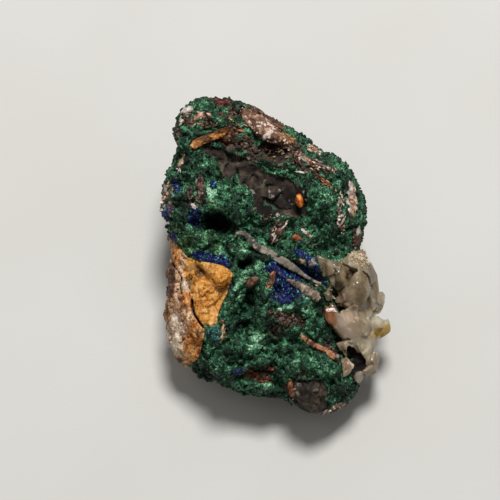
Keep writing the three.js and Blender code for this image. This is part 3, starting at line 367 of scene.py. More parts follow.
def spread(seed, cell, shape, step):
    """Smooth noise on a whole grid: random numbers a cell apart, spread by cubic B-splines. About -1 to 1."""
    rng = np.random.default_rng(seed)
    mats = []
    for n in shape:
        x = np.arange(n) * step / cell
        i = np.floor(x).astype(int)
        f = x - i
        w = np.zeros((n, i[-1] + 4), np.float32)
        r = np.arange(n)
        w[r, i] += (1 - f) ** 3 / 6
        w[r, i + 1] += (3 * f**3 - 6 * f**2 + 4) / 6
        w[r, i + 2] += (-3 * f**3 + 3 * f**2 + 3 * f + 1) / 6
        w[r, i + 3] += f**3 / 6
        mats.append(w)
    v = rng.uniform(-1, 1, tuple(m.shape[1] for m in mats)).astype(np.float32)
    v = np.tensordot(mats[0], v, (1, 0))
    v = np.tensordot(v, mats[1], (1, 1)).transpose(0, 2, 1)
    v = np.tensordot(v, mats[2], (2, 1))
    return v * np.float32(2.6)


def inside(poly, a, b):
    odd = np.zeros(a.shape, bool)
    for (x1, y1), (x2, y2) in zip(poly, np.roll(poly, 1, 0)):
        if y1 != y2:
            odd ^= ((y1 > b) != (y2 > b)) & (a < (x2 - x1) * (b - y1) / (y2 - y1) + x1)
    return odd


def to_line(points, a, b, closed=False):
    far = np.full(a.shape, 1e9, np.float32)
    pts = [tuple(p) for p in points]
    for (x1, y1), (x2, y2) in zip(pts, (pts[1:] + pts[:1]) if closed else pts[1:]):
        dx, dy = x2 - x1, y2 - y1
        t = np.clip(((a - x1) * dx + (b - y1) * dy) / max(dx * dx + dy * dy, 1e-9), 0, 1)
        far = np.minimum(far, (a - x1 - t * dx) ** 2 + (b - y1 - t * dy) ** 2)
    return np.sqrt(far)


def flat_distance(poly, a=A2, b=B2):
    """Signed distance to a polygon of the face, below 0 inside."""
    d = to_line(poly, a, b, True)
    return np.where(inside(np.array(poly), a, b), -d, d).astype(np.float32)


def bell(a, b, x, y, rx, ry, deg, power=1.0):
    t = math.radians(deg)
    u = (a - x) * math.cos(t) + (b - y) * math.sin(t)
    v = -(a - x) * math.sin(t) + (b - y) * math.cos(t)
    return np.exp(-(((u / rx) ** 2 + (v / ry) ** 2) ** power))


def pairs(flat):
    return [(flat[i], flat[i + 1]) for i in range(0, len(flat), 2)]


def sample2(table, a, b):
    x = np.clip((a - LO[0]) / H, 0, N[0] - 1.001)
    y = np.clip((b - LO[1]) / H, 0, N[1] - 1.001)
    i, j = x.astype(int), y.astype(int)
    f, g = x - i, y - j
    return table[i, j] * (1 - f) * (1 - g) + table[i + 1, j] * f * (1 - g) + table[i, j + 1] * (1 - f) * g + table[i + 1, j + 1] * f * g


def sample3(field, p, lo=LO, step=H):
    q = (np.asarray(p) - lo) / step
    q = np.clip(q, 0, np.array(field.shape) - 1.001)
    i = q.astype(int)
    f = (q - i).astype(np.float32)
    out = 0
    for dx in (0, 1):
        for dy in (0, 1):
            for dz in (0, 1):
                w = (f[:, 0] if dx else 1 - f[:, 0]) * (f[:, 1] if dy else 1 - f[:, 1]) * (f[:, 2] if dz else 1 - f[:, 2])
                out = out + w * field[i[:, 0] + dx, i[:, 1] + dy, i[:, 2] + dz]
    return out


def slope(field, p, e=0.5, lo=LO, step=H):
    """Outward direction of a level set at points p."""
    g = np.stack([sample3(field, p + e * d, lo, step) - sample3(field, p - e * d, lo, step) for d in np.eye(3)], 1)
    return unit(g)


# ------------------------------------------------------------------ the lump's smooth skin
def flow():
    """Wavy shifts of the face's plane, so that no drawn edge runs straight."""
    n = Noise(5)
    p = np.stack([A2.ravel(), B2.ravel(), np.zeros(A2.size)], 1)
    u = n.octaves(p, 4.0, 3, 0.6).reshape(A2.shape)
    v = n.octaves(p + 31, 4.0, 3, 0.6).reshape(A2.shape)
    return u * 0.42, v * 0.42


DA, DB = flow()
AW, BW = A2 + DA, B2 + DB

relief_map = np.zeros(A2.shape)
for _, x, y, rx, ry, deg, high, power in RELIEF:
    relief_map += high * bell(A2 + 0.6 * DA, B2 + 0.6 * DB, x, y, rx, ry, deg, power)
for _, pts, w, high in STROKES:
    relief_map += high * np.exp(-((to_line(pairs(pts), AW, BW) / w) ** 2))


def knolls():
    """Rounded mounds with sharp creases between them, in two sizes; about -1 in the creases to 1 on top."""
    n = Noise(15)
    p = np.stack([AW.ravel(), BW.ravel(), np.zeros(A2.size)], 1)
    big, low = np.abs(n(p, 5.2)), np.abs(n(p + 77, 2.3))
    return (big.reshape(A2.shape) * 2.6 - 0.9), (low.reshape(A2.shape) * 2.6 - 0.9)


KNOLL, KNOB = knolls()
calm = np.ones(A2.shape)  # little of it on the limonite, the rock faces and the quartz
for x, y, rx, ry, deg, much in ((-12.00, -8.16, 6.24, 8.64, 0, 0.7), (-19.68, -14.88, 4.32, 14.40, 0, 0.6), (1.92, 17.52, 8.16, 6.24, -25, 0.6), (10.56, -33.12, 4.32, 4.80, 0, 0.6), (-1.44, -20.40, 1.92, 2.88, 0, 0.5), (24.00, -12.48, 7.20, 14.40, 0, 0.9), (4.80, -1.44, 7.20, 2.88, -35, 0.6)):
    calm *= 1 - much * bell(A2, B2, x, y, rx, ry, deg, 2)
relief_map += calm * (0.95 * KNOLL + 0.55 * KNOB)


def _waves():
    s, out = [4711], []

    def nxt():
        s[0] = (s[0] * 16807) % 2147483647
        return s[0] / 2147483647

    for _ in range(18):
        long = 8 + 16 * nxt()
        k = 2 * math.pi / long
        z = 2 * nxt() - 1
        t = 2 * math.pi * nxt()
        r = math.sqrt(1 - z * z)
        out.append((k * r * math.cos(t), k * r * math.sin(t), k * z, 2 * math.pi * nxt(), 0.045 * long))
    return out


WAVES = _waves()


def lumps(a, b, c):
    return sum(m * np.sin(x * a + y * b + z * c + p) for x, y, z, p, m in WAVES) * 0.42


def _reach_table(n=7200):
    t = np.linspace(-math.pi, math.pi, n + 1)
    dx, dy = np.cos(t), np.sin(t)
    far = np.zeros(n + 1)
    for (x1, y1), (x2, y2) in zip(OUTLINE, np.roll(OUTLINE, -1, 0)):
        ex, ey = x2 - x1, y2 - y1
        det = dx * -ey + ex * dy
        det = np.where(abs(det) < 1e-9, 1e-9, det)
        s = (x1 * -ey + ex * y1) / det
        u = (dx * y1 - dy * x1) / det
        far = np.where((s > 0) & (u >= -1e-6) & (u <= 1 + 1e-6), np.maximum(far, s), far)
    return t, far


REACH = _reach_table()


def reach(t):
    return np.interp(t, *REACH)


def _breaks():
    out = []
    for n in [(0.75, 0.1, -0.65), (-0.7, 0.15, -0.7), (0.35, 0.8, -0.5), (-0.45, 0.75, -0.5), (0.5, -0.55, -0.67), (-0.55, -0.5, -0.67), (0.05, 0.62, -0.78), (0.9, 0.35, -0.25)]:
        n = np.array(n) / np.linalg.norm(n)
        rim = (OUTLINE @ n[:2]).max()
        i = np.arange(400)
        dz = -(i % 20 + 0.5) / 20
        t = 2 * math.pi * (i // 20) / 20
        r = reach((t + math.pi) % (2 * math.pi) - math.pi) * np.sqrt(1 - dz * dz) ** SHOULDER
        a, b = r * np.cos(t), r * np.sin(t)
        z = (b * SIN + LIFT) * (1 - np.minimum(1, -1.1 * dz))
        far = (a * n[0] + b * n[1] + (z - LIFT - b * SIN) / COS * n[2]).max()
        out.append((n, max(rim + 0.4, 0.84 * far)))
    return out


BREAKS = _breaks()


def skin(d):
    level = np.hypot(d[:, 0], d[:, 1])
    t = np.arctan2(d[:, 1], d[:, 0])
    r = reach(t) * level**SHOULDER
    a, b = r * np.cos(t), r * np.sin(t)
    up = d[:, 2] >= 0
    top = FACE_HEIGHT * d[:, 2] + sample2(relief_map, a, b) * smooth(0, 0.35, d[:, 2])
    rim = b * SIN + LIFT
    low = (rim * (1 - np.minimum(1, -1.1 * d[:, 2])) - LIFT - b * SIN) / COS
    c = np.where(up, top, low)
    lump = lumps(a, b, c) * smooth(0, 0.5, abs(d[:, 2]))
    p = np.stack([a, b, c], 1) + d * lump[:, None]
    for n, far in BREAKS:
        over = np.maximum(p @ n - far, 0) * ~up
        p -= 0.88 * over[:, None] * n
    z = p[:, 1] * SIN + p[:, 2] * COS + LIFT
    down = ~up & ((-1.1 * d[:, 2] >= 1) | (z < 0))
    p[down, 2] = (-LIFT - p[down, 1] * SIN) / COS
    return p


def skin_mesh():
    bm = bmesh.new()
    bmesh.ops.create_icosphere(bm, subdivisions=8, radius=1.0)
    me = bpy.data.meshes.new("tmp")
    bm.to_mesh(me)
    bm.free()
    v = np.empty(len(me.vertices) * 3, np.float32)
    me.vertices.foreach_get("co", v)
    f = np.empty(len(me.loops), np.int32)
    me.loops.foreach_get("vertex_index", f)
    bpy.data.meshes.remove(me)
    d = unit(v.reshape(-1, 3).astype(float))
    z = (d[:, 2] + 0.35) / (1 + 0.35 * d[:, 2])
    k = np.sqrt(np.maximum(0, 1 - z * z)) / np.maximum(1e-9, np.hypot(d[:, 0], d[:, 1]))
    d = np.stack([d[:, 0] * k, d[:, 1] * k, z], 1)
    return skin(d), f.reshape(-1, 3)


def level_set(v, f, lo, n, step, band):
    g = vdb.FloatGrid.createLevelSetFromPolygons(
        (v - lo).astype(np.float32), triangles=f.astype(np.uint32), transform=vdb.createLinearTransform(voxelSize=step), halfWidth=band / step
    )
    out = np.full(tuple(n), band, np.float32)
    g.copyToArray(out, ijk=(0, 0, 0))
    return out


def thinned(v, t, q, most):
    """The same surface in at most about this many triangles."""
    have = len(t) + 2 * len(q)
    if have <= most:
        return v, t, q
    me = bpy.data.meshes.new("thinned")
    me.vertices.add(len(v))
    me.vertices.foreach_set("co", v.astype(np.float32).ravel())
    t, q = np.asarray(t, np.int32).reshape(-1, 3), np.asarray(q, np.int32).reshape(-1, 4)
    t = np.concatenate([t, q[:, [0, 1, 2]], q[:, [0, 2, 3]]])
    me.loops.add(t.size)
    me.loops.foreach_set("vertex_index", t.ravel())
    me.polygons.add(len(t))
    me.polygons.foreach_set("loop_start", (3 * np.arange(len(t))).astype(np.int32))
    me.update()
    ob = bpy.data.objects.new("thinned", me)
    bpy.context.scene.collection.objects.link(ob)
    mod = ob.modifiers.new("thin", "DECIMATE")
    mod.ratio = most / have
    got = ob.evaluated_get(bpy.context.evaluated_depsgraph_get()).to_mesh()
    out = np.empty(len(got.vertices) * 3, np.float32)
    got.vertices.foreach_get("co", out)
    got.calc_loop_triangles()
    tri = np.empty(len(got.loop_triangles) * 3, np.int32)
    got.loop_triangles.foreach_get("vertices", tri)
    bpy.data.objects.remove(ob)
    bpy.data.meshes.remove(me)
    return out.reshape(-1, 3).astype(float), tri.reshape(-1, 3), np.zeros((0, 4), np.int32)


def meshed(field, lo=LO, step=H, adaptivity=0.0, most=None):
    """Vertices, quads and triangles of a level set's surface, faces pointing out."""
    edge = 4 * step
    f = np.clip(field, -edge, edge)
    for s in (0, -1):
        f[s, :, :] = f[:, s, :] = f[:, :, s] = edge
    g = vdb.FloatGrid(edge)
    g.copyFromArray(np.ascontiguousarray(f), ijk=(0, 0, 0))
    g.transform = vdb.createLinearTransform(voxelSize=step)
    g.gridClass = vdb.GridClass.LEVEL_SET
    v, t, q = g.convertToPolygons(isovalue=0.0, adaptivity=adaptivity)
    v = v.astype(float) + lo
    t, q = np.asarray(t).reshape(-1, 3), np.asarray(q).reshape(-1, 4)
    tri = np.concatenate([t, q[:, :3], q[:, [0, 2, 3]]]).astype(int)
    p = v[tri]
    if np.einsum("ij,ij->i", p[:, 0], np.cross(p[:, 1], p[:, 2])).sum() < 0:
        t, q = t[:, ::-1], q[:, ::-1]
    v, t, q = keep_large(v, t, q)
    return thinned(v, t, q, most) if most else (v, t, q)


def parts_of(n, edges):
    """Labels of the connected sets of n points."""
    label = np.arange(n)
    while True:
        a, b = label[edges[:, 0]], label[edges[:, 1]]
        low = np.minimum(a, b)
        new = label.copy()
        np.minimum.at(new, a, low)
        np.minimum.at(new, b, low)
        new = new[new]
        new = new[new]
        if (new == label).all():
            return label
        label = new


def keep_large(v, t, q, least=160):
    """Drops crumbs of fewer than least points."""
    if not len(v):
        return v, t, q
    edges = np.concatenate([t[:, [0, 1]], t[:, [1, 2]], q[:, [0, 1]], q[:, [1, 2]], q[:, [2, 3]]]).astype(int)
    label = parts_of(len(v), edges)
    count = np.bincount(label, minlength=len(v))
    keep = count[label] >= min(least, count.max())
    new = np.cumsum(keep) - 1
    t = new[t[keep[t[:, 0]]]] if len(t) else t
    q = new[q[keep[q[:, 0]]]] if len(q) else q
    return v[keep], t, q


def mesh(name, v, t, q, place=True):
    """A mesh object from face-frame points in mm."""
    me = bpy.data.meshes.new(name)
    t, q = np.asarray(t, np.int32).reshape(-1, 3), np.asarray(q, np.int32).reshape(-1, 4)
    me.vertices.add(len(v))
    me.vertices.foreach_set("co", (row(v) if place else v).astype(np.float32).ravel())
    me.loops.add(t.size + q.size)
    me.loops.foreach_set("vertex_index", np.concatenate([t.ravel(), q.ravel()]))
    me.polygons.add(len(t) + len(q))
    starts = np.concatenate([3 * np.arange(len(t)), t.size + 4 * np.arange(len(q))]).astype(np.int32)
    me.polygons.foreach_set("loop_start", starts)
    me.polygons.foreach_set("use_smooth", np.ones(len(starts), bool))
    me.update()
    me.validate()
    ob = bpy.data.objects.new(name, me)
    bpy.context.scene.collection.objects.link(ob)
    return ob


def put(ob, name, values):
    """A number, or three, for each vertex."""
    values = np.asarray(values, np.float32)
    kind = "FLOAT" if values.ndim == 1 else "FLOAT_VECTOR"
    at = ob.data.attributes.new(name, kind, "POINT")
    at.data.foreach_set("value" if values.ndim == 1 else "vector", values.ravel())
    return ob


BASE_V, BASE_F = skin_mesh()
F = level_set(BASE_V, BASE_F, LO, N, H, BAND)

# ------------------------------------------------------------------ maps of the face
EDGE = {k: flat_distance(v, A2 + 0.45 * DA, B2 + 0.45 * DB) if k in ("wedge", "slab", "ochre_blade") else flat_distance(v, AW, BW) for k, v in POLYS.items()}
tone_map = np.zeros(A2.shape)
hue_map = np.full(A2.shape, 0.42)
for _, x, y, rx, ry, deg, high, hue in TONES:
    w = bell(A2 + 0.8 * DA, B2 + 0.8 * DB, x, y, rx, ry, deg, 1.6)
    tone_map += high * w
    hue_map += (hue - hue_map) * w * 0.9
for _, pts, w, high, hue in LINES:
    w = np.exp(-((to_line(pairs(pts), AW, BW) / w) ** 2))
    tone_map += high * w
    hue_map += (hue - hue_map) * w * 0.8
stain_map = {k: np.zeros(A2.shape) for k in ("rock", "rust", "red", "ochre", "pale", "blue")}
for _, x, y, rx, ry, deg, kind, much in STAINS:
    w = much * bell(AW, BW, x, y, rx, ry, deg, 2.5)
    stain_map[kind] = np.maximum(stain_map[kind], w)
bare = np.maximum.reduce([stain_map[k] for k in ("rock", "rust", "red", "ochre", "pale")])
crack_map = np.zeros(A2.shape)
for _, pts, w, deep in CRACKS:
    crack_map = np.maximum(crack_map, deep * np.exp(-((to_line(pairs(pts), A2 + 0.5 * DA, B2 + 0.5 * DB) / w) ** 2)))
WINDOWS = np.minimum.reduce([EDGE["window_A"], EDGE["window_brown"], EDGE["knob"]])
INLAID = np.minimum.reduce([EDGE[k] for k in ("wedge", "slab", "vein", "ochre_blade", "az_centre", "az_lower", "az_rim", "az_left")])


def areas_of(v, f):
    p = v[f]
    n = np.cross(p[:, 1] - p[:, 0], p[:, 2] - p[:, 0])
    s = np.linalg.norm(n, axis=1)
    return s / 2, n / np.maximum(s[:, None], 1e-12)


def scatter(v, f, count, rng, weight=None):
    """Points spread evenly over triangles, or by a weight on each triangle, with their normals."""
    area, n = areas_of(v, f)
    w = area if weight is None else area * weight
    pick = rng.choice(len(f), count, p=w / w.sum())
    s, t = rng.random(count), rng.random(count)
    s, t = np.where(s + t > 1, 1 - s, s), np.where(s + t > 1, 1 - t, t)
    p = v[f[pick]]
    return p[:, 0] + s[:, None] * (p[:, 1] - p[:, 0]) + t[:, None] * (p[:, 2] - p[:, 0]), n[pick]


# ------------------------------------------------------------------ malachite crust
K0 = int((-17.0 - LO[2]) / H)  # the crust is only worked out above this layer
CLO = LO + np.array([0, 0, K0 * H])
FC = F[:, :, K0:]
CC = C3[:, :, K0:]


def crust_limit():
    """Above 0 where the crust has died out, down the flanks."""
    n = Noise(11)
    p = np.stack([A2.ravel(), B2.ravel(), np.zeros(A2.size)], 1)
    wave = (n.octaves(p, 7.0, 3, 0.6) * 2.2).reshape(A2.shape)
    return (-0.398 * (B2 * SIN + LIFT) + wave)[:, :, None] - CC


def add_balls(field, centres, radii, lo=CLO, step=H):
    """Sinks balls into a distance field, in place."""
    shape = np.array(field.shape)
    for c, r in zip(centres, radii):
        i0 = np.maximum(np.floor((c - r - 0.6 - lo) / step).astype(int), 0)
        i1 = np.minimum(np.ceil((c + r + 0.6 - lo) / step).astype(int) + 1, shape)
        if (i1 <= i0).any():
            continue
        x = lo[0] + step * np.arange(i0[0], i1[0]) - c[0]
        y = lo[1] + step * np.arange(i0[1], i1[1]) - c[1]
        z = lo[2] + step * np.arange(i0[2], i1[2]) - c[2]
        d = np.sqrt((x * x)[:, None, None] + (y * y)[None, :, None] + (z * z)[None, None, :]) - r
        block = field[i0[0] : i1[0], i0[1] : i1[1], i0[2] : i1[2]]
        np.minimum(block, d, out=block)


rng = np.random.default_rng(77)
mid = BASE_V[BASE_F].mean(1)
limit_c = -0.398 * (mid[:, 1] * SIN + LIFT)
grows = (mid[:, 2] > limit_c - 1.5).astype(float)
bareness = sample2(bare, mid[:, 0], mid[:, 1]) * (mid[:, 2] > 0)
n_balls = 7600
clumps = Noise(16)
clumpy = 0.12 + smooth(-0.25, 0.35, clumps.octaves(mid, 1.7, 2))


def by_quartz(p):
    """1 where the quartz lies bare beside the crust."""
    a, b = p[:, 0], p[:, 1]
    return np.clip(bell(a, b, 15.84, -2.88, 2.88, 4.08, 15, 4) + bell(a, b, 16.08, -8.40, 1.92, 1.92, 0, 4) + bell(a, b, 16.08, -13.68, 1.68, 3.36, 16, 4) + bell(a, b, 19.92, -22.56, 1.68, 2.88, 0, 4), 0, 1) * (p[:, 2] > -2)


pts, nrm = scatter(BASE_V, BASE_F, n_balls, rng, grows * clumpy * (1 - 0.75 * bareness) * (1 - by_quartz(mid)) + 1e-9)
size = np.clip(rng.lognormal(-0.72, 0.42, n_balls), 0.24, 1.2)
rise = rng.uniform(-0.30, 0.50, n_balls) + 0.25 * np.clip(sample2(tone_map, pts[:, 0], pts[:, 1]), -0.5, 0.4)
balls = np.full(FC.shape, BAND, np.float32)
add_balls(balls, pts - nrm * (size - rise)[:, None], size)
# worm-like ridges where a smooth noise passes through 0
worm = np.clip(1 - np.abs(spread(21, 1.15, FC.shape, H)) / 0.26, 0, 1)
worm += 0.7 * np.clip(1 - np.abs(spread(22, 0.75, FC.shape, H)) / 0.26, 0, 1)
rough = 0.16 - 0.30 * worm
sunk = (0.80 + 0.15 * bare)[:, :, None].astype(np.float32)
k = 0.15
top = FC + sunk
h = np.clip(0.5 + 0.5 * (balls - top) / k, 0, 1)
top = balls * (1 - h) + top * h - k * h * (1 - h) + rough * 1.0
del h
dies = crust_limit() * 0.7
region = np.maximum(dies, np.maximum(-(WINDOWS - 0.1), -(INLAID - 0.12))[:, :, None])
crust = np.maximum(np.maximum(top, region), -(FC + 1.9))
del region

CUT = (1.5 + 1.6 * np.sin(B2 / 6.1) + 0.9 * np.sin(B2 / 2.3 + 1.0) - A2)[:, :, None].astype(np.float32)


def tone_at(p, lift):
    """How light the malachite is at points whose height over the sunk base is lift, painted light and shade: lighter
    the higher it stands, on knoll tops and on raised worm ridges, darker down in the gaps.
    """
    own = sample2(tone_map, p[:, 0], p[:, 1]) * (p[:, 2] > -9)
    n1, n2 = NOISE_A(p, 2.6), NOISE_B(p, 0.8)
    # high: lighter on the knoll tops, painted light
    high = 0.05 * sample2(KNOLL, p[:, 0], p[:, 1]) + 0.05 * sample2(KNOB, p[:, 0], p[:, 1])
    return 0.00 + 0.46 * smooth(-0.80, 0.50, lift) + 0.18 * sample3(WORM, p, CLO) + own * 0.45 + 0.0 + 0.10 * n1 + 0.08 * n2 + high


NOISE_A, NOISE_B, WORM = Noise(31), Noise(32), worm


def face_charts(ob, p, n):
    """The bake's map: the lump's outside laid flat from six sides, by the direction n of the smooth skin."""
    me = ob.data
    starts = np.empty(len(me.polygons), np.int32)
    total = np.empty(len(me.polygons), np.int32)
    me.polygons.foreach_get("loop_start", starts)
    me.polygons.foreach_get("loop_total", total)
    vi = np.empty(len(me.loops), np.int32)
    me.loops.foreach_get("vertex_index", vi)
    face = np.repeat(np.arange(len(starts)), total)
    fn = np.zeros((len(starts), 3))
    for j in range(3):
        fn[:, j] = np.bincount(face, n[vi, j], len(starts))
    fn = unit(fn)
    score = np.stack([fn[:, 2] + 0.35, -fn[:, 2], fn[:, 0], -fn[:, 0], fn[:, 1], -fn[:, 1]], 1)
    chart = score.argmax(1)
    flat = [(0, 1), (0, 1), (1, 2), (1, 2), (0, 2), (0, 2)]
    uv = np.zeros((len(vi), 2))
    boxes = []
    for k in range(6):
        m = chart[face] == k
        if m.any():
            s = p[vi[m]][:, flat[k]]
            boxes.append((k, m, s - s.min(0), np.ptp(s, axis=0) + 0.6))
    boxes.sort(key=lambda x: -x[3][1])
    scale = 1.0
    for scale in np.geomspace(0.03, 0.002, 90):  # the largest scale at which the charts fit on shelves
        x = y = shelf = 0.0
        places, ok = {}, True
        for k, _, _, wh in boxes:
            w, h = wh * scale
            if x + w > 1:
                x, y, shelf = 0.0, y + shelf, 0.0
            places[k] = (x, y)
            x, shelf = x + w, max(shelf, h)
            ok &= y + h <= 1 and w <= 1
        if ok:
            break
    for k, m, s, _ in boxes:
        uv[m] = s * scale + np.array(places[k]) + 0.2 * scale
    layer = me.uv_layers.new(name="OFBake")
    layer.data.foreach_set("uv", np.clip(uv, 0, 1).astype(np.float32).ravel())


PIECES = {}


def keep(name, ob, slot, replaces=(), charts=None):
    if charts is not None:
        face_charts(ob, *charts)
    PIECES[name] = (ob, slot, tuple(replaces))
    return ob


SKIN_POINTS = []  # crust surface for the needles to grow on: points, faces
for side, sign in (("left", 1), ("right", -1)):
    v, t, q = meshed(np.maximum(crust, -sign * CUT), CLO, adaptivity=0.2, most=150000)
    lift = -sample3(FC, v, CLO)
    ob = mesh("malachite_crust_" + side, v, t, q)
    n0 = slope(F, v, 1.0)
    put(ob, "tone", tone_at(v, lift))
    put(ob, "hue", sample2(hue_map, v[:, 0], v[:, 1]) + 0.16 * NOISE_B(v, 3.1))
    near = smooth(-5.0, -1.0, v[:, 2] + 1.6 * NOISE_B(v, 2.2))
    for kind in stain_map:
        put(ob, kind, sample2(stain_map[kind], v[:, 0], v[:, 1]) * near)
    tri = np.concatenate([t, q[:, :3], q[:, [0, 2, 3]]]).astype(int)
    tri = tri[(lift[tri].min(1) > -1.1)]
    SKIN_POINTS.append((side, v, tri, n0, lift))
    keep("malachite_crust_" + side, ob, "malachite", ["malachite_crust"], (v, n0))
    print("crust", side, len(t) + 2 * len(q))
del crust, top, balls, rough, CUT


# ------------------------------------------------------------------ host rock
def facets(seeds, normals, tilt, deep, rng, pts):
    """Distance above broken planes: each point belongs to the nearest seed, which holds one tilted plane."""
    m = unit(normals + rng.normal(0, tilt, normals.shape))
    base = seeds - normals * rng.uniform(0, deep, (len(seeds), 1))
    out = np.empty(len(pts), np.float32)
    s2 = (seeds**2).sum(1)
    for i in range(0, len(pts), 40000):
        p = pts[i : i + 40000]
        near = (s2[None] - 2 * p @ seeds.T).argmin(1)
        out[i : i + 40000] = ((p - base[near]) * m[near]).sum(1)
    return out


def in_band(field, lo, step, width):
    """Indices and points of the cells near a surface."""
    idx = np.nonzero(np.abs(field) < width)
    return idx, np.stack(idx, 1) * step + lo


HR = 0.4
NR = np.ceil((HI - LO) / HR).astype(int) + 1
R = level_set(BASE_V, BASE_F, LO, NR, HR, 4.0)
idx, pts = in_band(R, LO, HR, 3.9)
crusted = (pts[:, 2] > -0.398 * (pts[:, 1] * SIN + LIFT) + 0.6) & (sample2(WINDOWS, pts[:, 0], pts[:, 1]) > -0.3)
shown_window = (pts[:, 2] > 0) & (sample2(WINDOWS, pts[:, 0], pts[:, 1]) <= 0.3)
nz = Noise(41)
warp = np.stack([nz.octaves(pts + 50 * i, 5.0, 2) for i in range(3)], 1) * 1.3
rr = np.random.default_rng(5)
seeds, nn = scatter(BASE_V, BASE_F, 340, rr)
cutaway = facets(seeds, nn, 0.26, 0.9, rr, pts + warp)
r = R[idx]
rough_r = 0.30 * nz.octaves(pts + 9, 2.4, 3, 0.55)
bare_r = np.maximum(r, np.minimum(cutaway, r + 2.0)) + rough_r + 0.25
flat_floor = pts[:, 1] * SIN + pts[:, 2] * COS + LIFT  # height over the table
bare_r = np.maximum(bare_r, -flat_floor + 0.02)
R[idx] = np.where(crusted, r + 2.1, np.where(shown_window, r + 1.9, bare_r))
v, t, q = meshed(R, LO, HR, adaptivity=0.1, most=44000)
v[:, 2] = np.maximum(v[:, 2], (-LIFT - v[:, 1] * SIN) / COS)
rock = mesh("matrix_rock_body", v, t, q)
n0 = slope(F, v, 1.0)
put(rock, "tone", 0.45 + 0.30 * nz.octaves(v + 3, 4.5, 3, 0.6) + 0.12 * nz(v, 0.9))
put(rock, "white", smooth(0.42, 0.8, nz.octaves(v + 70, 3.2, 3, 0.6)))
put(rock, "rust", smooth(0.25, 0.9, nz.octaves(v + 140, 7.0, 3, 0.6)))
put(rock, "green", smooth(0.30, 0.75, nz.octaves(v + 210, 5.0, 4, 0.65) + 0.05 * (v[:, 2] + 12) * (v[:, 2] > -18)))
keep("matrix_rock_body", rock, "host_rock", ["matrix_rock"], (v, n0))
print("rock", len(t) + 2 * len(q))
del R

wide = np.minimum(WINDOWS, 50)
i0, i1 = np.nonzero((wide < 1.6).any(1))[0][[0, -1]]
j0, j1 = np.nonzero((wide < 1.6).any(0))[0][[0, -1]]
kc = int((-6.0 - LO[2]) / H)
sl = (slice(i0, i1 + 1), slice(j0, j1 + 1), slice(kc, None))
wlo = LO + H * np.array([i0, j0, kc])
W = F[sl].copy()
idx, pts = in_band(W, wlo, H, 2.8)
warp = np.stack([nz.octaves(pts + 50 * i, 3.0, 2) for i in range(3)], 1) * 0.7
face_pts, face_n = scatter(BASE_V, BASE_F, 150, rr, (mid[:, 2] > 0) * (sample2(WINDOWS, mid[:, 0], mid[:, 1]) < 0.5) + 1e-9)
cutaway = facets(face_pts, face_n, 0.10, 0.22, rr, pts + warp)
w = W[idx]
W[idx] = np.maximum(w + 0.75, np.minimum(cutaway + 0.9, w + 2.3)) + 0.7 * bell(pts[:, 0], pts[:, 1], 8.64, 12.96, 2.16, 2.40, 0, 2) + 1.2 * bell(pts[:, 0], pts[:, 1], 3.60, 25.68, 1.92, 1.44, 0, 2) + 0.10 * nz.octaves(pts + 5, 1.3, 3, 0.6)
W = np.maximum(np.maximum(W, (wide[sl[:2]] - 0.9)[:, :, None]), -(F[sl] + 2.8))
v, t, q = meshed(W, wlo, adaptivity=0.03, most=36000)
win = mesh("matrix_rock_face", v, t, q)
n0 = slope(F, v, 1.0)
# tone: darker in the grey bowl, in the two sunk hollows and on the lower left side of this rock face, painted shade
put(win, "tone", 0.46 + 0.20 * nz.octaves(v + 3, 3.5, 3, 0.6) + 0.10 * nz(v, 0.7) - 0.16 * bell(v[:, 0], v[:, 1], 1.44, 15.36, 5.28, 5.28, 30, 3) - 0.34 * bell(v[:, 0], v[:, 1], 8.64, 12.96, 2.64, 2.88, 0, 3) - 0.22 * bell(v[:, 0], v[:, 1], 3.36, 25.92, 2.64, 2.16, 0, 3) - 0.2 * bell(v[:, 0], v[:, 1], 0.48, 11.52, 2.16, 1.20, 20, 2))
put(win, "white", smooth(0.50, 0.85, nz.octaves(v + 70, 2.0, 3, 0.6)) * 0.7 + 0.5 * bell(v[:, 0], v[:, 1], -3.12, 21.36, 0.96, 0.72, -20))
put(win, "rust", smooth(0.35, 0.9, nz.octaves(v + 140, 4.0, 3, 0.6)) * 0.35)
put(win, "green", smooth(0.55, 0.8, nz.octaves(v + 210, 3.0, 4, 0.65)) * 0.8 + sum(bell(v[:, 0], v[:, 1], x, y, rx, ry, 0, 2) for x, y, rx, ry in [(-10.56, 23.52, 1.20, 0.62), (-2.88, 23.52, 1.08, 0.58), (-5.52, 26.16, 0.96, 1.20)]))
keep("matrix_rock_face", win, "host_rock", ["matrix_rock"], (v, n0))
print("window", len(t) + 2 * len(q))


# ------------------------------------------------------------------ pieces let into the face
def inlay(name, poly, low, outer, thick=3.0, grow=0.0, adaptivity=0.04, most=38000):
    """A closed chunk of the face: the skin reshaped by outer(distance, points), inside a polygon."""
    e = EDGE[poly] - grow
    i0, i1 = np.nonzero((e < 0.8).any(1))[0][[0, -1]]
    j0, j1 = np.nonzero((e < 0.8).any(0))[0][[0, -1]]
    k0 = max(0, int((low - 0.8 - LO[2]) / H))
    sl = (slice(i0, i1 + 1), slice(j0, j1 + 1), slice(k0, None))
    lo = LO + H * np.array([i0, j0, k0])
    f = F[sl].copy()
    idx, pts = in_band(f, lo, H, 2.8)
    f[idx] = outer(f[idx], pts)
    f = np.maximum(np.maximum(f, e[sl[:2]][:, :, None]), -(F[sl] + thick))
    f = np.maximum(f, low - C3[:, :, k0:])
    return meshed(f, lo, adaptivity=adaptivity, most=most)


ng = Noise(51)


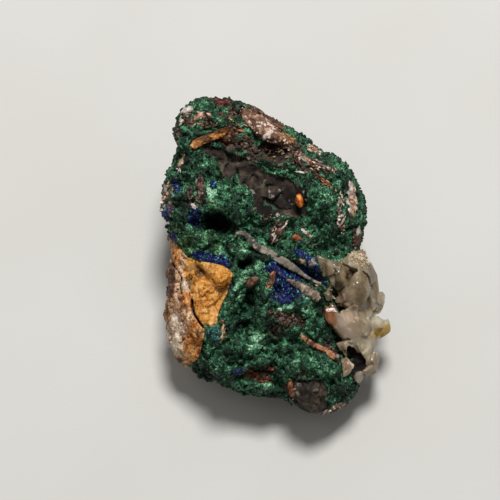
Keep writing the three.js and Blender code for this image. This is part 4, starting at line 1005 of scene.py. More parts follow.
def limonite(grain, streak, turn=0.0):
    ca, sa = math.cos(turn), math.sin(turn)

    def outer(d, p):
        u, w_ = p[:, 0] * ca + p[:, 1] * sa, -p[:, 0] * sa + p[:, 1] * ca
        s_ = ng.octaves(np.stack([u * 0.35, w_ * 1.1, p[:, 2] * 0.8], 1) + 40, 1.5, 3, 0.62) * streak
        g = ng.octaves(p + 80, 0.85, 2, 0.7) * grain
        groove = np.clip(1 - np.abs(ng(p + 140, 0.95)) / 0.18, 0, 1) * 0.26 + np.clip(1 - np.abs(ng.octaves(p * np.array([1, 0.6, 1]) + 150, 2.6, 2)) / 0.08, 0, 1) * 0.30
        dents = smooth(0.30, 0.8, ng.octaves(p + 120, 2.2, 2, 0.6)) * 0.7
        steps = 0.22 * np.floor(2.2 * ng(p + 170, 2.6))
        pit = np.clip(1.5 + ng.octaves(p + 9, 1.4, 2), 0.3, 3) * 0.75 * bell(p[:, 0], p[:, 1], -14.76, -3.60, 0.91, 0.82, 10, 1.5)
        return d + 0.10 + s_ + g + groove + dents + steps * 0.8 + pit + sample2(crack_map, p[:, 0], p[:, 1]) * 0.6

    return outer


def paint_limonite(ob, v, warm):
    a, b = v[:, 0], v[:, 1]
    lift = -sample3(F, v)
    worm = 1 - np.clip(np.abs(ng(v + 140, 0.95)) / 0.30, 0, 1)
    # tone: darker down in the dents and grooves and lighter on the high parts, painted shade
    put(ob, "tone", 0.36 + 0.36 * smooth(-0.75, 0.30, lift) - 0.22 * worm + 0.16 * ng.octaves(v + 11, 2.4, 3, 0.6) + 0.14 * ng(v, 0.6) + warm)
    # deep: near-black down in the open cracks, painted shade
    put(ob, "deep", np.clip(sample2(crack_map, a, b) / 2.5, 0, 1))
    return a, b


v, t, q = inlay("limonite_wedge", "wedge", -2.0, limonite(0.20, 0.24, 0.5), grow=0.22)
wedge = mesh("limonite_wedge_body", v, t, q)
a, b = paint_limonite(wedge, v, 0.02)
put(wedge, "brown", np.clip(1.35 * bell(a, b, -14.76, -3.72, 1.32, 1.08, 10, 1.5) + 0.75 * bell(a, b, -16.32, -2.16, 3.12, 1.08, 10, 1.5) + 0.8 * bell(a, b, -17.28, -5.52, 1.20, 1.44, 10) + 0.35 * bell(a, b, -12.00, -2.88, 2.88, 0.60, 14) + 0.22 * smooth(0.3, 0.8, ng.octaves(v + 61, 3.0, 3)), 0, 1))
put(wedge, "pale", np.clip(0.75 * bell(a, b, -17.52, -6.48, 0.96, 1.92, 0) + 0.6 * bell(a, b, -11.76, -15.48, 1.68, 0.53, 6) + 0.2 * smooth(0.2, 0.8, ng.octaves(v + 91, 1.6, 3)), 0, 1))
put(wedge, "orange", np.clip(0.9 * bell(a, b, -9.12, -3.36, 1.68, 2.64, 0) + 0.6 * bell(a, b, -13.68, -5.28, 2.40, 0.96, 0) + 0.35 + 0.5 * smooth(0.1, 0.8, ng.octaves(v + 31, 2.6, 2)), 0, 1))
keep("limonite_wedge_body", wedge, "limonite", ["limonite_wedge"], (v, slope(F, v, 1.0)))
print("wedge", len(t) + 2 * len(q))

v, t, q = inlay("limonite_slab", "slab", -8.5, limonite(0.24, 0.55, 1.35), thick=4.0, grow=0.22)
slab = mesh("limonite_slab_body", v, t, q)
a, b = paint_limonite(slab, v, 0.0)
put(slab, "brown", np.clip(1.25 * bell(a, b, -22.08, -5.28, 1.44, 4.56, -3, 3) + 1.0 * bell(a, b, -18.72, -11.52, 1.08, 0.86, 0, 1.5) + 0.9 * bell(a, b, -19.44, -10.08, 0.72, 0.72, 0, 1.5) + 1.0 * bell(a, b, -15.36, -18.00, 0.62, 1.20, 15, 1.5) + 0.7 * bell(a, b, -22.80, -13.68, 0.96, 1.44, 0, 1.5) + 0.9 * bell(a, b, -19.68, -24.72, 0.96, 1.20, 30, 1.5) + 0.35 * smooth(0.25, 0.8, ng.octaves(v + 61, 2.6, 3)) + 0.8 * smooth(-2.0, -6.0, v[:, 2]), 0, 1))
put(slab, "pale", np.clip(1.1 * bell(a, b, -21.36, -17.76, 1.68, 5.04, -10, 3) + 1.0 * bell(a, b, -19.44, -16.56, 0.84, 2.16, 20, 2) + 1.1 * bell(a, b, -20.28, -21.36, 0.77, 2.88, -6, 2) + 0.75 * bell(a, b, -18.12, -6.00, 1.08, 1.92, 0, 2) + 0.45 * bell(a, b, -20.64, -7.68, 0.60, 2.88, 0, 1.5) + 0.35 * smooth(0.2, 0.8, ng.octaves(v * np.array([1, 0.4, 1]) + 91, 1.5, 3)), 0, 1))
put(slab, "orange", np.clip(1.0 * bell(a, b, -20.16, 0.96, 1.44, 3.36, -28, 2) + 1.2 * bell(a, b, -18.00, -10.08, 1.92, 2.16, 0, 2) + 1.1 * bell(a, b, -16.32, -20.16, 2.28, 5.76, -12, 3) + 0.4 * bell(a, b, -17.52, -14.40, 1.92, 1.92, 0), 0, 1))
keep("limonite_slab_body", slab, "limonite_pale", ["limonite_slab"], (v, slope(F, v, 1.0)))
print("slab", len(t) + 2 * len(q))


def vein_outer(d, p):
    s = ng.octaves(np.stack([p[:, 0] * 0.77 - p[:, 1] * 0.64, (p[:, 0] * 0.64 + p[:, 1] * 0.77) * 2.2, p[:, 2]], 1) * 0.7 + 7, 1.4, 3, 0.62)
    return d - 0.15 + 0.34 * s + 0.16 * ng.octaves(p + 33, 0.9, 2, 0.6)


v, t, q = inlay("pale_vein", "vein", -2.0, vein_outer)
vein = mesh("pale_vein_body", v, t, q)
a, b = v[:, 0], v[:, 1]
put(vein, "tone", 0.5 + 0.3 * ng.octaves(v + 11, 1.6, 3, 0.6) + 0.12 * ng(v, 0.5))
put(vein, "white", np.clip(1.0 * bell(a, b, 1.44, 29.52, 0.72, 2.16, -48, 1.5) + 0.5 * bell(a, b, 0.00, 32.16, 0.72, 1.92, -50, 1.5) + 0.4 * smooth(0.35, 0.9, ng.octaves(v + 21, 1.2, 3)), 0, 1))
put(vein, "brown", np.clip(0.9 * smooth(0.0, 0.6, ng.octaves(v + 51, 1.7, 3)) + 0.7 * bell(a, b, -2.40, 33.12, 2.40, 1.20, -40, 1) + 0.5 * bell(a, b, 0.00, 28.56, 2.16, 0.72, -35, 1), 0, 1))
keep("pale_vein_body", vein, "vein_stone", ["pale_vein"], (v, slope(F, v, 1.0)))


def ledge_outer(d, p):
    along = p[:, 0] * 0.89 + p[:, 1] * 0.45
    across = -p[:, 0] * 0.45 + p[:, 1] * 0.89
    s = ng.octaves(np.stack([along * 0.3, across * 1.6, p[:, 2] * 1.4], 1) + 7, 1.2, 3, 0.6)
    return d - 0.55 + 0.55 * s + 0.26 * ng.octaves(p + 19, 0.9, 2, 0.6) - 0.35 * bell(p[:, 0], p[:, 1], -14.40, 27.84, 2.64, 1.92, 24, 2)


v, t, q = inlay("ochre_blade", "ochre_blade", -2.0, ledge_outer)
ledge = mesh("ochre_blade_body", v, t, q)
put(ledge, "tone", 0.47 + 0.25 * ng.octaves(v * np.array([0.5, 1.3, 1]) + 11, 1.6, 3, 0.6))
put(ledge, "deep", np.zeros(len(v)))
# the brown term that follows depth below the skin is painted shade; the noise and the two bells are the ledge's own
# brown
put(ledge, "brown", np.clip(0.6 * smooth(0.2, 0.8, ng.octaves(v + 51, 1.5, 3)) + 0.55 * smooth(-0.1, -0.9, -sample3(F, v)) + 1.0 * bell(v[:, 0], v[:, 1], -9.84, 30.72, 2.40, 0.96, 24, 2) + 0.9 * bell(v[:, 0], v[:, 1], -13.68, 29.28, 2.88, 0.48, 24, 2), 0, 1))
put(ledge, "pale", np.clip(0.5 * smooth(0.2, 0.8, ng.octaves(v + 91, 1.2, 3)), 0, 1))
put(ledge, "orange", np.clip(0.62 + 0.4 * ng.octaves(v + 13, 1.5, 3), 0, 1))
keep("ochre_blade_body", ledge, "brown_iron", ["ochre_blade"], (v, slope(F, v, 1.0)))


# ------------------------------------------------------------------ small crystals and grains
def hull_of(points):
    """Vertices and triangles of a convex hull."""
    bm = bmesh.new()
    for p in points:
        bm.verts.new(p)
    got = bmesh.ops.convex_hull(bm, input=bm.verts)
    loose = [g for g in got["geom_interior"] + got["geom_unused"] if isinstance(g, bmesh.types.BMVert)]
    bmesh.ops.delete(bm, geom=list(set(loose)), context="VERTS")
    bmesh.ops.triangulate(bm, faces=bm.faces)
    bmesh.ops.recalc_face_normals(bm, faces=bm.faces)
    bm.verts.index_update()
    v = np.array([x.co[:] for x in bm.verts])
    f = np.array([[x.index for x in y.verts] for y in bm.faces])
    bm.free()
    return v, f


def templates(kind, count, seed):
    rng = np.random.default_rng(seed)
    out = []
    for _ in range(count):
        if kind == "chip":
            p = unit(rng.normal(size=(11, 3))) * rng.uniform(0.75, 1.1, (11, 1)) * np.array([1, 0.75, 0.6])
        elif kind == "blade":  # a tabular crystal with a wedge end
            w = rng.uniform(0.45, 0.7)
            p = np.array([[x, y * w, z * 0.32] for x in (-1, 0.65) for y in (-1, 1) for z in (-1, 1)] + [[1, y * w * 0.5, 0] for y in (-1, 1)] + [[-0.5, y * w * 1.15, 0] for y in (-1, 1)])
            p = p + rng.normal(0, 0.05, p.shape)
        else:  # a six-sided prism with a point
            p = []
            for k in range(6):
                t = math.pi / 3 * k
                p += [[-0.8, 0.45 * math.cos(t), 0.45 * math.sin(t)], [0.35 + rng.uniform(-0.15, 0.15), 0.42 * math.cos(t), 0.42 * math.sin(t)]]
            p = np.array(p + [[1, rng.uniform(-0.1, 0.1), rng.uniform(-0.1, 0.1)]])
        out.append(hull_of(p))
    return out


def turned(normals, rng, lean):
    """Random frames whose first axis leans by about lean from the normals."""
    x = unit(normals + rng.normal(0, lean, normals.shape))
    y = unit(np.cross(x, rng.normal(size=x.shape)))
    return np.stack([x, y, np.cross(x, y)], 2)


def grow(points, frames, size, shapes, rng, stretch=(1, 1, 1)):
    """Many crystals as one mesh: vertices, triangles and each vertex's crystal."""
    pick = rng.integers(0, len(shapes), len(points))
    vs, fs, who, n = [], [], [], 0
    for k, (sv, sf) in enumerate(shapes):
        m = np.nonzero(pick == k)[0]
        if not len(m):
            continue
        v = np.einsum("nij,vj->nvi", frames[m], sv * np.array(stretch)) * size[m, None, None] + points[m, None, :]
        f = sf[None] + (np.arange(len(m)) * len(sv))[:, None, None] + n
        vs.append(v.reshape(-1, 3))
        fs.append(f.reshape(-1, 3))
        who.append(np.repeat(m, len(sv)))
        n += len(m) * len(sv)
    return np.concatenate(vs), np.concatenate(fs), np.concatenate(who)


def join(*shapes):
    """Joins (vertices, triangles, quads) sets."""
    vs, ts, qs, n = [], [], [], 0
    for v, t, q in shapes:
        vs.append(v)
        ts.append(np.asarray(t, int).reshape(-1, 3) + n)
        qs.append(np.asarray(q, int).reshape(-1, 4) + n)
        n += len(v)
    return np.concatenate(vs), np.concatenate(ts), np.concatenate(qs)


def flatten(ob):
    """Crystals keep flat faces."""
    ob.data.polygons.foreach_set("use_smooth", np.zeros(len(ob.data.polygons), bool))
    ob.data.update()


tri_mid = BASE_V[BASE_F].mean(1)
up_side = tri_mid[:, 2] > -5
blades_t, chips_t, points_t = templates("blade", 7, 3), templates("chip", 9, 4), templates("point", 6, 5)

for node, poly, low, many, slot in (
    ("azurite_centre", "az_centre", -2.0, 1100, "azurite"),
    ("azurite_below", "az_lower", -2.0, 600, "azurite"),
    ("azurite_rim", "az_rim", -2.0, 700, "azurite"),
    ("azurite_left", "az_left", -3.0, 300, "azurite"),
):
    v, t, q = inlay(node, poly, low, lambda d, p: d + 0.98 + 0.30 * ng.octaves(p + 9, 1.1, 3, 0.65), grow=0.15)
    rg = np.random.default_rng(len(node) * 7 + many)
    w = up_side * (sample2(EDGE[poly], tri_mid[:, 0], tri_mid[:, 1]) < 0.35)
    cp, cn = scatter(BASE_V, BASE_F, many, rg, w + 1e-12)
    size = np.clip(rg.lognormal(-1.55, 0.38, many), 0.10, 0.42)
    cv, ct, who = grow(cp - cn * (0.95 - 0.25 * size[:, None]), turned(cn, rg, 0.75), size, blades_t, rg)
    tone = rg.random(many)
    jv, jt, jq = join((v, t, q), (cv, ct, np.zeros((0, 4))))
    ob = mesh(node + "_druse", jv, jt, jq)
    own = np.concatenate([0.35 + 0.2 * ng.octaves(v, 1.0, 2), 0.25 + 0.75 * tone[who]])
    put(ob, "tone", own)
    put(ob, "green", np.concatenate([smooth(0.15, 0.6, ng.octaves(v + 5, 1.8, 3)), (tone[who] > 0.93) * 1.0]))
    flatten(ob)
    keep(node + "_druse", ob, slot, [node], (jv, slope(F, jv, 1.0)))
    print(node, len(jt) + 2 * len(jq))

# blue crystals strewn beyond the patches, white sugary quartz and rusty grains on the crust
rg = np.random.default_rng(91)
kinds = (("azurite_strewn", "blue", 2400, -1.6, 0.35, blades_t, "azurite", 0.8), ("quartz_sugar", "pale", 1500, -1.05, 0.45, chips_t, "vein_stone", 0.6))
for name, kind, many, mu, sd, shapes, slot, lean in kinds:
    w = up_side * smooth(-4.0, -1.0, tri_mid[:, 2] + 1.5 * NOISE_B(tri_mid, 2.2)) * (0.0 + sample2(stain_map[kind], tri_mid[:, 0], tri_mid[:, 1])) ** 1.5 * (sample2(INLAID, tri_mid[:, 0], tri_mid[:, 1]) > 0.1) * (sample2(WINDOWS, tri_mid[:, 0], tri_mid[:, 1]) > 0.0)
    if kind == "pale":
        w = w + up_side * 0.5 * (sample2(EDGE["vein"], tri_mid[:, 0], tri_mid[:, 1]) < 0.0)
    cp, cn = scatter(BASE_V, BASE_F, many, rg, w + 1e-12)
    size = np.clip(rg.lognormal(mu, sd, many), 0.12, 0.75)
    cv, ct, who = grow(cp - cn * (0.30 - 0.3 * size[:, None]), turned(cn, rg, lean), size, shapes, rg)
    ob = mesh(name, cv, ct, [])
    tone = rg.random(many)
    put(ob, "tone", 0.3 + 0.7 * tone[who])
    if kind == "pale":
        put(ob, "white", np.clip(tone[who] * 1.2 - 0.35, 0, 1))
        put(ob, "brown", (rg.random(many) < 0.22)[who] * 0.8)
    else:
        put(ob, "green", (tone[who] > 0.9) * 0.8)
    flatten(ob)
    keep(name, ob, slot, [], (cv, slope(F, cv, 1.0)))

rg = np.random.default_rng(92)
many = 1900
w = up_side * smooth(-4.0, -1.0, tri_mid[:, 2] + 1.5 * NOISE_B(tri_mid, 2.2)) * np.maximum.reduce([sample2(stain_map[k], tri_mid[:, 0], tri_mid[:, 1]) for k in ("rock", "rust", "red", "ochre")]) ** 1.5 * (sample2(INLAID, tri_mid[:, 0], tri_mid[:, 1]) > 0.1)
cp, cn = scatter(BASE_V, BASE_F, many, rg, w + 1e-12)
size = np.clip(rg.lognormal(-1.0, 0.45, many), 0.14, 0.8)
cv, ct, who = grow(cp - cn * (0.50 - 0.15 * size[:, None]), turned(cn, rg, 0.9), size, chips_t, rg)
ob = mesh("iron_grains", cv, ct, [])
warm = np.clip(sum(k * sample2(stain_map[s], cp[:, 0], cp[:, 1]) for s, k in (("rock", 0.0), ("rust", 0.45), ("red", 0.35), ("ochre", 0.9))), 0, 1)
put(ob, "tone", (0.15 + 0.65 * rg.random(many))[who])
put(ob, "warm", warm[who])
put(ob, "red", sample2(stain_map["red"], cp[:, 0], cp[:, 1])[who])
flatten(ob)
keep("iron_grains", ob, "brown_iron", [], (cv, slope(F, cv, 1.0)))

# single stones in the crust: place, half length, half width, height, degrees, colour
STONES = [
    ("orange_grain", 8.88, 13.44, 1.56, 0.86, 1.0, 97, "orange"),
    ("rust_slip_a", 1.92, -5.76, 3.12, 0.82, 0.7, 64, "rust"),
    ("rust_slip_b", -2.52, -5.64, 2.04, 1.06, 0.7, 42, "brown"),
    ("tan_chip", 8.40, 5.04, 1.20, 1.01, 0.9, 15, "rust"),
    ("pink_chip", 10.08, 6.24, 1.08, 0.53, 0.7, -40, "pale"),
    ("white_tip", -16.08, 12.24, 1.20, 0.62, 0.7, -60, "pale"),
    ("peach_a", -15.12, 33.84, 1.44, 0.86, 1.0, 35, "peach"),
    ("peach_b", -12.72, 34.32, 0.96, 0.48, 0.7, -15, "peach"),
    ("pale_corner", -18.00, 35.28, 1.68, 0.77, 1.0, 25, "pale"),
    ("pale_corner_b", -19.44, 32.88, 0.72, 1.44, 0.6, -12, "pale"),
    ("beige_streak", -19.44, 22.80, 1.68, 0.36, 0.6, 68, "tan"),
    ("edge_a", -23.04, 16.32, 1.92, 0.72, 0.6, -70, "grey"),
    ("edge_b", -22.08, 13.20, 1.44, 0.62, 0.6, -60, "grey"),
    ("jag_a", 5.04, 7.68, 1.80, 0.36, 1.0, 60, "pale"),
    ("jag_b", 4.08, 6.24, 2.16, 0.91, 0.9, 62, "brown"),
    ("jag_c", 3.12, 5.04, 1.44, 0.36, 1.0, 66, "pale"),
    ("jag_d", 3.60, 10.08, 0.96, 0.38, 0.7, 100, "grey"),
    ("right_a", 21.36, 16.80, 2.04, 0.96, 0.9, 92, "pale"),
    ("right_b", 21.84, 13.20, 2.40, 0.82, 0.9, 78, "peach"),
    ("right_c", 18.96, 8.64, 1.92, 0.38, 0.7, 82, "pale"),
    ("right_d", 18.72, 12.72, 1.20, 0.34, 0.6, 60, "grey"),
    ("right_e", 16.56, 21.12, 0.96, 0.36, 0.6, -20, "pale"),
    ("right_f", 9.60, 23.52, 1.44, 0.38, 0.7, -45, "pale"),
    ("right_g", 9.12, 20.40, 1.68, 0.31, 0.6, -8, "pale"),
    ("right_h", 12.48, 26.16, 1.44, 0.53, 0.7, -20, "peach"),
    ("right_i", 13.44, 23.04, 1.68, 0.29, 0.6, -18, "grey"),
    ("right_j", 15.12, 18.24, 2.40, 0.36, 0.6, -40, "rust"),
    ("blue_pebble", 9.72, -0.79, 1.10, 1.01, 0.8, 30, "tan"),
    ("blue_pebble_b", 11.88, -0.96, 1.15, 1.06, 0.7, -10, "grey"),
    ("vein_hem", 5.04, 28.32, 1.92, 0.34, 0.5, -50, "ochre"),
    ("top_strip_a", -1.20, 35.76, 2.16, 0.43, 0.7, -33, "brown"),
    ("top_strip_b", 2.88, 32.88, 2.16, 0.41, 0.7, -35, "brown"),
    ("top_tan", -4.32, 36.24, 0.72, 0.53, 0.6, 10, "tan"),
    ("top_red", -9.60, 37.20, 1.68, 0.77, 0.8, -8, "red"),
    ("vein_foot", -6.48, 29.04, 1.20, 0.72, 0.6, -20, "red"),
    ("left_brown", -17.52, 32.88, 0.96, 0.96, 0.6, 40, "brown"),
    ("low_strip", 17.04, -36.72, 2.16, 0.34, 0.8, 28, "grey"),
    ("low_strip_b", 19.44, -35.28, 1.44, 0.29, 0.8, 24, "pale"),
    ("knob_rust", 6.72, -30.96, 2.16, 0.53, 0.7, -62, "rust"),
    ("right_wall", 22.80, 4.32, 1.92, 0.72, 0.7, 80, "brown"),
    ("low_red", 2.16, -26.64, 0.84, 0.43, 0.6, 0, "red"),
    ("low_brown", -0.48, -27.84, 1.92, 0.58, 0.6, 14, "brown"),
    ("wedge_side", -9.36, -17.28, 1.92, 0.38, 0.6, 82, "tan"),
    ("quartz_nub", 13.44, -6.24, 1.08, 0.82, 0.8, 30, "tan"),
]
STONE_COLOURS = ["orange", "rust", "brown", "tan", "pale", "peach", "grey", "ochre", "red"]
HEIGHT = np.where((F < 0).any(2), LO[2] + H * (N[2] - 1 - (F < 0)[:, :, ::-1].argmax(2)), -30.0)
for _ in range(2):
    HEIGHT[1:-1, 1:-1] = (HEIGHT[1:-1, 1:-1] * 2 + HEIGHT[:-2, 1:-1] + HEIGHT[2:, 1:-1] + HEIGHT[1:-1, :-2] + HEIGHT[1:-1, 2:]) / 6


def sphere(level):
    bm = bmesh.new()
    bmesh.ops.create_icosphere(bm, subdivisions=level, radius=1.0)
    v = np.array([x.co[:] for x in bm.verts])
    f = np.array([[x.index for x in y.verts] for y in bm.faces])
    bm.free()
    return unit(v), f


BALL5, BALL4, BALL3 = sphere(5), sphere(4), sphere(3)
rs = np.random.default_rng(7)
sets, colour, tones = [], [], []
for name, x, y, rl, rw, high, deg, kind in STONES:
    sv, sf = BALL5 if rl > 4.2 else BALL4 if rl > 0.9 else BALL3
    planes = unit(rs.normal(size=(13, 3)))
    far = rs.uniform(0.62, 0.95, 13)
    reach_s = np.min(np.where(sv @ planes.T > 0.05, far / np.maximum(sv @ planes.T, 0.05), 9), 1)
    p = sv * np.minimum(reach_s, 1.15)[:, None]
    p = p * (1 + 0.15 * ng.octaves(p * 3 + 40 * rs.random(), 1.0, 3, 0.65))[:, None]
    t = math.radians(deg)
    c = float(sample2(HEIGHT, np.array([x]), np.array([y]))[0])
    nrm = slope(F, np.array([[x, y, c]]), 1.2)[0]
    ux = unit(np.array([math.cos(t), math.sin(t), 0]) - nrm * (math.cos(t) * nrm[0] + math.sin(t) * nrm[1]))
    uy = np.cross(nrm, ux)
    p = p[:, :1] * rl * ux + p[:, 1:2] * rw * uy + p[:, 2:] * high * nrm + np.array([x, y, c]) - nrm * (0.30 * high)
    sets.append((p, sf, np.zeros((0, 4))))
    colour.append(np.full(len(p), (STONE_COLOURS.index(kind) + 0.5) / len(STONE_COLOURS)))
    tones.append(0.5 + 0.35 * ng.octaves(p, 1.1, 3, 0.6))
FRAGMENTS = [  # broken bits set in the crust: place, half sizes, degrees, how many, their direction, colours, size
    (-14.88, 33.36, 5.76, 2.16, -5, 70, 20, ("tan", "brown", "brown", "peach"), 0.55),
    (-6.72, 33.36, 3.36, 2.16, -20, 50, -30, ("tan", "brown", "brown", "red"), 0.45),
    (-6.00, 29.04, 2.40, 1.68, 0, 46, -20, ("red", "brown", "rust"), 0.45),
    (3.84, 24.96, 3.60, 2.64, 0, 44, 30, ("brown", "brown", "tan", "brown"), 0.34),
    (9.12, 24.00, 4.80, 1.68, -38, 54, -38, ("brown", "brown", "pale", "rust"), 0.50),
    (13.92, 21.84, 4.08, 1.44, -14, 44, -18, ("brown", "brown", "peach"), 0.48),
    (15.12, 18.24, 3.60, 0.38, -37, 40, -37, ("rust", "brown", "tan"), 0.40),
    (12.96, 26.16, 1.92, 0.96, -10, 44, -15, ("pale", "tan", "peach"), 0.48),
    (21.60, 13.92, 1.20, 4.08, 0, 90, 85, ("peach", "pale", "tan", "pale"), 0.60),
    (18.96, 11.28, 0.77, 4.32, 0, 60, 85, ("pale", "peach", "grey"), 0.42),
    (23.28, 4.08, 1.44, 2.64, 0, 50, 80, ("brown", "grey"), 0.55),
    (-22.80, 14.40, 1.20, 3.84, -10, 60, 70, ("grey", "tan", "brown"), 0.50),
    (-14.88, 15.84, 1.20, 3.84, 0, 60, 85, ("grey", "brown", "brown"), 0.50),
    (-19.44, 22.56, 0.58, 2.40, -15, 24, 70, ("tan", "pale"), 0.38),
    (3.84, 6.48, 1.68, 3.36, -30, 74, 60, ("brown", "pale", "brown", "tan"), 0.42),
    (-0.96, -28.32, 4.32, 1.20, -14, 80, 10, ("brown", "red", "rust"), 0.42),
    (6.48, -14.64, 3.36, 1.44, -8, 50, 0, ("brown", "grey", "brown"), 0.40),
    (1.44, 34.08, 5.28, 0.96, -34, 90, -34, ("brown", "rust", "brown"), 0.45),
    (-9.60, 37.20, 2.40, 1.20, 0, 56, 0, ("red", "brown"), 0.42),
    (-9.60, -17.28, 0.96, 2.88, 0, 30, 80, ("tan", "rust"), 0.35),
    (6.72, 28.80, 1.92, 0.72, -42, 34, -42, ("ochre", "tan", "rust"), 0.42),
    (17.52, -36.24, 2.88, 0.72, 24, 40, 26, ("grey", "pale", "tan"), 0.42),
    (-18.24, 34.80, 1.68, 1.20, 20, 26, 20, ("pale", "grey", "pale"), 0.55),
]
for x, y, rx, ry, deg, many, way, kinds_, big in FRAGMENTS:
    t = math.radians(deg)
    r_ = np.sqrt(rs.random(many))[:, None] * np.stack([np.cos(w_ := rs.uniform(0, 6.283, many)), np.sin(w_)], 1) * np.array([rx, ry])
    fx, fy = x + r_[:, 0] * math.cos(t) - r_[:, 1] * math.sin(t), y + r_[:, 0] * math.sin(t) + r_[:, 1] * math.cos(t)
    fz = sample2(HEIGHT, fx, fy)
    on = (fz > -3.2 + 1.6 * ng(np.column_stack([fx, fy, fz]), 1.1)) & (np.abs(sample3(F, np.column_stack([fx, fy, fz]))) < 0.7)
    fx, fy, fz, many = fx[on], fy[on], fz[on], int(on.sum())
    at = np.column_stack([fx, fy, fz])
    nrm = slope(F, at, 1.2)
    w_ = np.radians(way + rs.normal(0, 14, many))
    ux = np.stack([np.cos(w_), np.sin(w_), rs.normal(0, 0.25, many)], 1)
    ux = unit(ux - nrm * (ux * nrm).sum(1)[:, None] * 0.9)
    uy = unit(np.cross(nrm, ux))
    size = np.clip(rs.lognormal(math.log(big), 0.35, many), 0.16, 1.4)
    fv, ft, who = grow(at - nrm * (0.18 + 0.05 * rs.random(many))[:, None], np.stack([ux, uy, np.cross(ux, uy)], 2), size, chips_t, rs, (1.55, 0.7, 0.75))
    sets.append((fv, ft, np.zeros((0, 4))))
    pick = np.array([(STONE_COLOURS.index(k) + 0.5) / len(STONE_COLOURS) for k in kinds_])[rs.integers(0, len(kinds_), many)]
    colour.append(pick[who])
    tones.append((0.25 + 0.5 * rs.random(many))[who])
sv, st, sq = join(*sets)
ob = mesh("set_stones", sv, st, sq)
put(ob, "kind", np.concatenate(colour))
put(ob, "tone", np.concatenate(tones))
keep("set_stones", ob, "vein_stone", [], (sv, slope(F, sv, 1.0)))
print("stones", len(st))


# ------------------------------------------------------------------ quartz
def planes_of(points):
    v, f = hull_of(points)
    p = v[f]
    n = unit(np.cross(p[:, 1] - p[:, 0], p[:, 2] - p[:, 0]))
    d = (n * p[:, 0]).sum(1)
    seen, out = [], []
    for i in range(len(n)):
        if not any(abs(n[i] @ a - 1) < 1e-4 and abs(d[i] - b) < 1e-3 for a, b in seen):
            seen.append((n[i], d[i]))
            out.append(np.r_[n[i], d[i]])
    return np.array(out)


QH = 0.24
QLO, QHI = np.array([10.8, -32.2, -13.0]), np.array([32.2, 4.6, 16.5])
QN = np.ceil((QHI - QLO) / QH).astype(int) + 1
QX = [(QLO[i] + QH * np.arange(QN[i])).astype(np.float32) for i in range(3)]
QA, QB = np.meshgrid(QX[0], QX[1], indexing="ij")


def add_hull(field, points, soft=0.18, sink=0.0):
    """Joins a convex crystal to the quartz field, in place."""
    pts = np.array(points, float)
    lo, hi = pts.min(0) - 1.6, pts.max(0) + 1.6
    i0 = np.maximum(np.floor((lo - QLO) / QH).astype(int), 0)
    i1 = np.minimum(np.ceil((hi - QLO) / QH).astype(int) + 1, QN)
    x = QX[0][i0[0] : i1[0], None, None]
    y = QX[1][None, i0[1] : i1[1], None]
    z = QX[2][None, None, i0[2] : i1[2]]
    d = None
    for nx, ny, nz_, far in planes_of(pts):
        e = (nx * x + ny * y + nz_ * z - far).astype(np.float32)
        d = e if d is None else np.maximum(d, e)
    d = d + sink
    block = field[i0[0] : i1[0], i0[1] : i1[1], i0[2] : i1[2]]
    h = np.clip(0.5 + 0.5 * (block - d) / soft, 0, 1)
    block[...] = block * (1 - h) + d * h - soft * h * (1 - h)


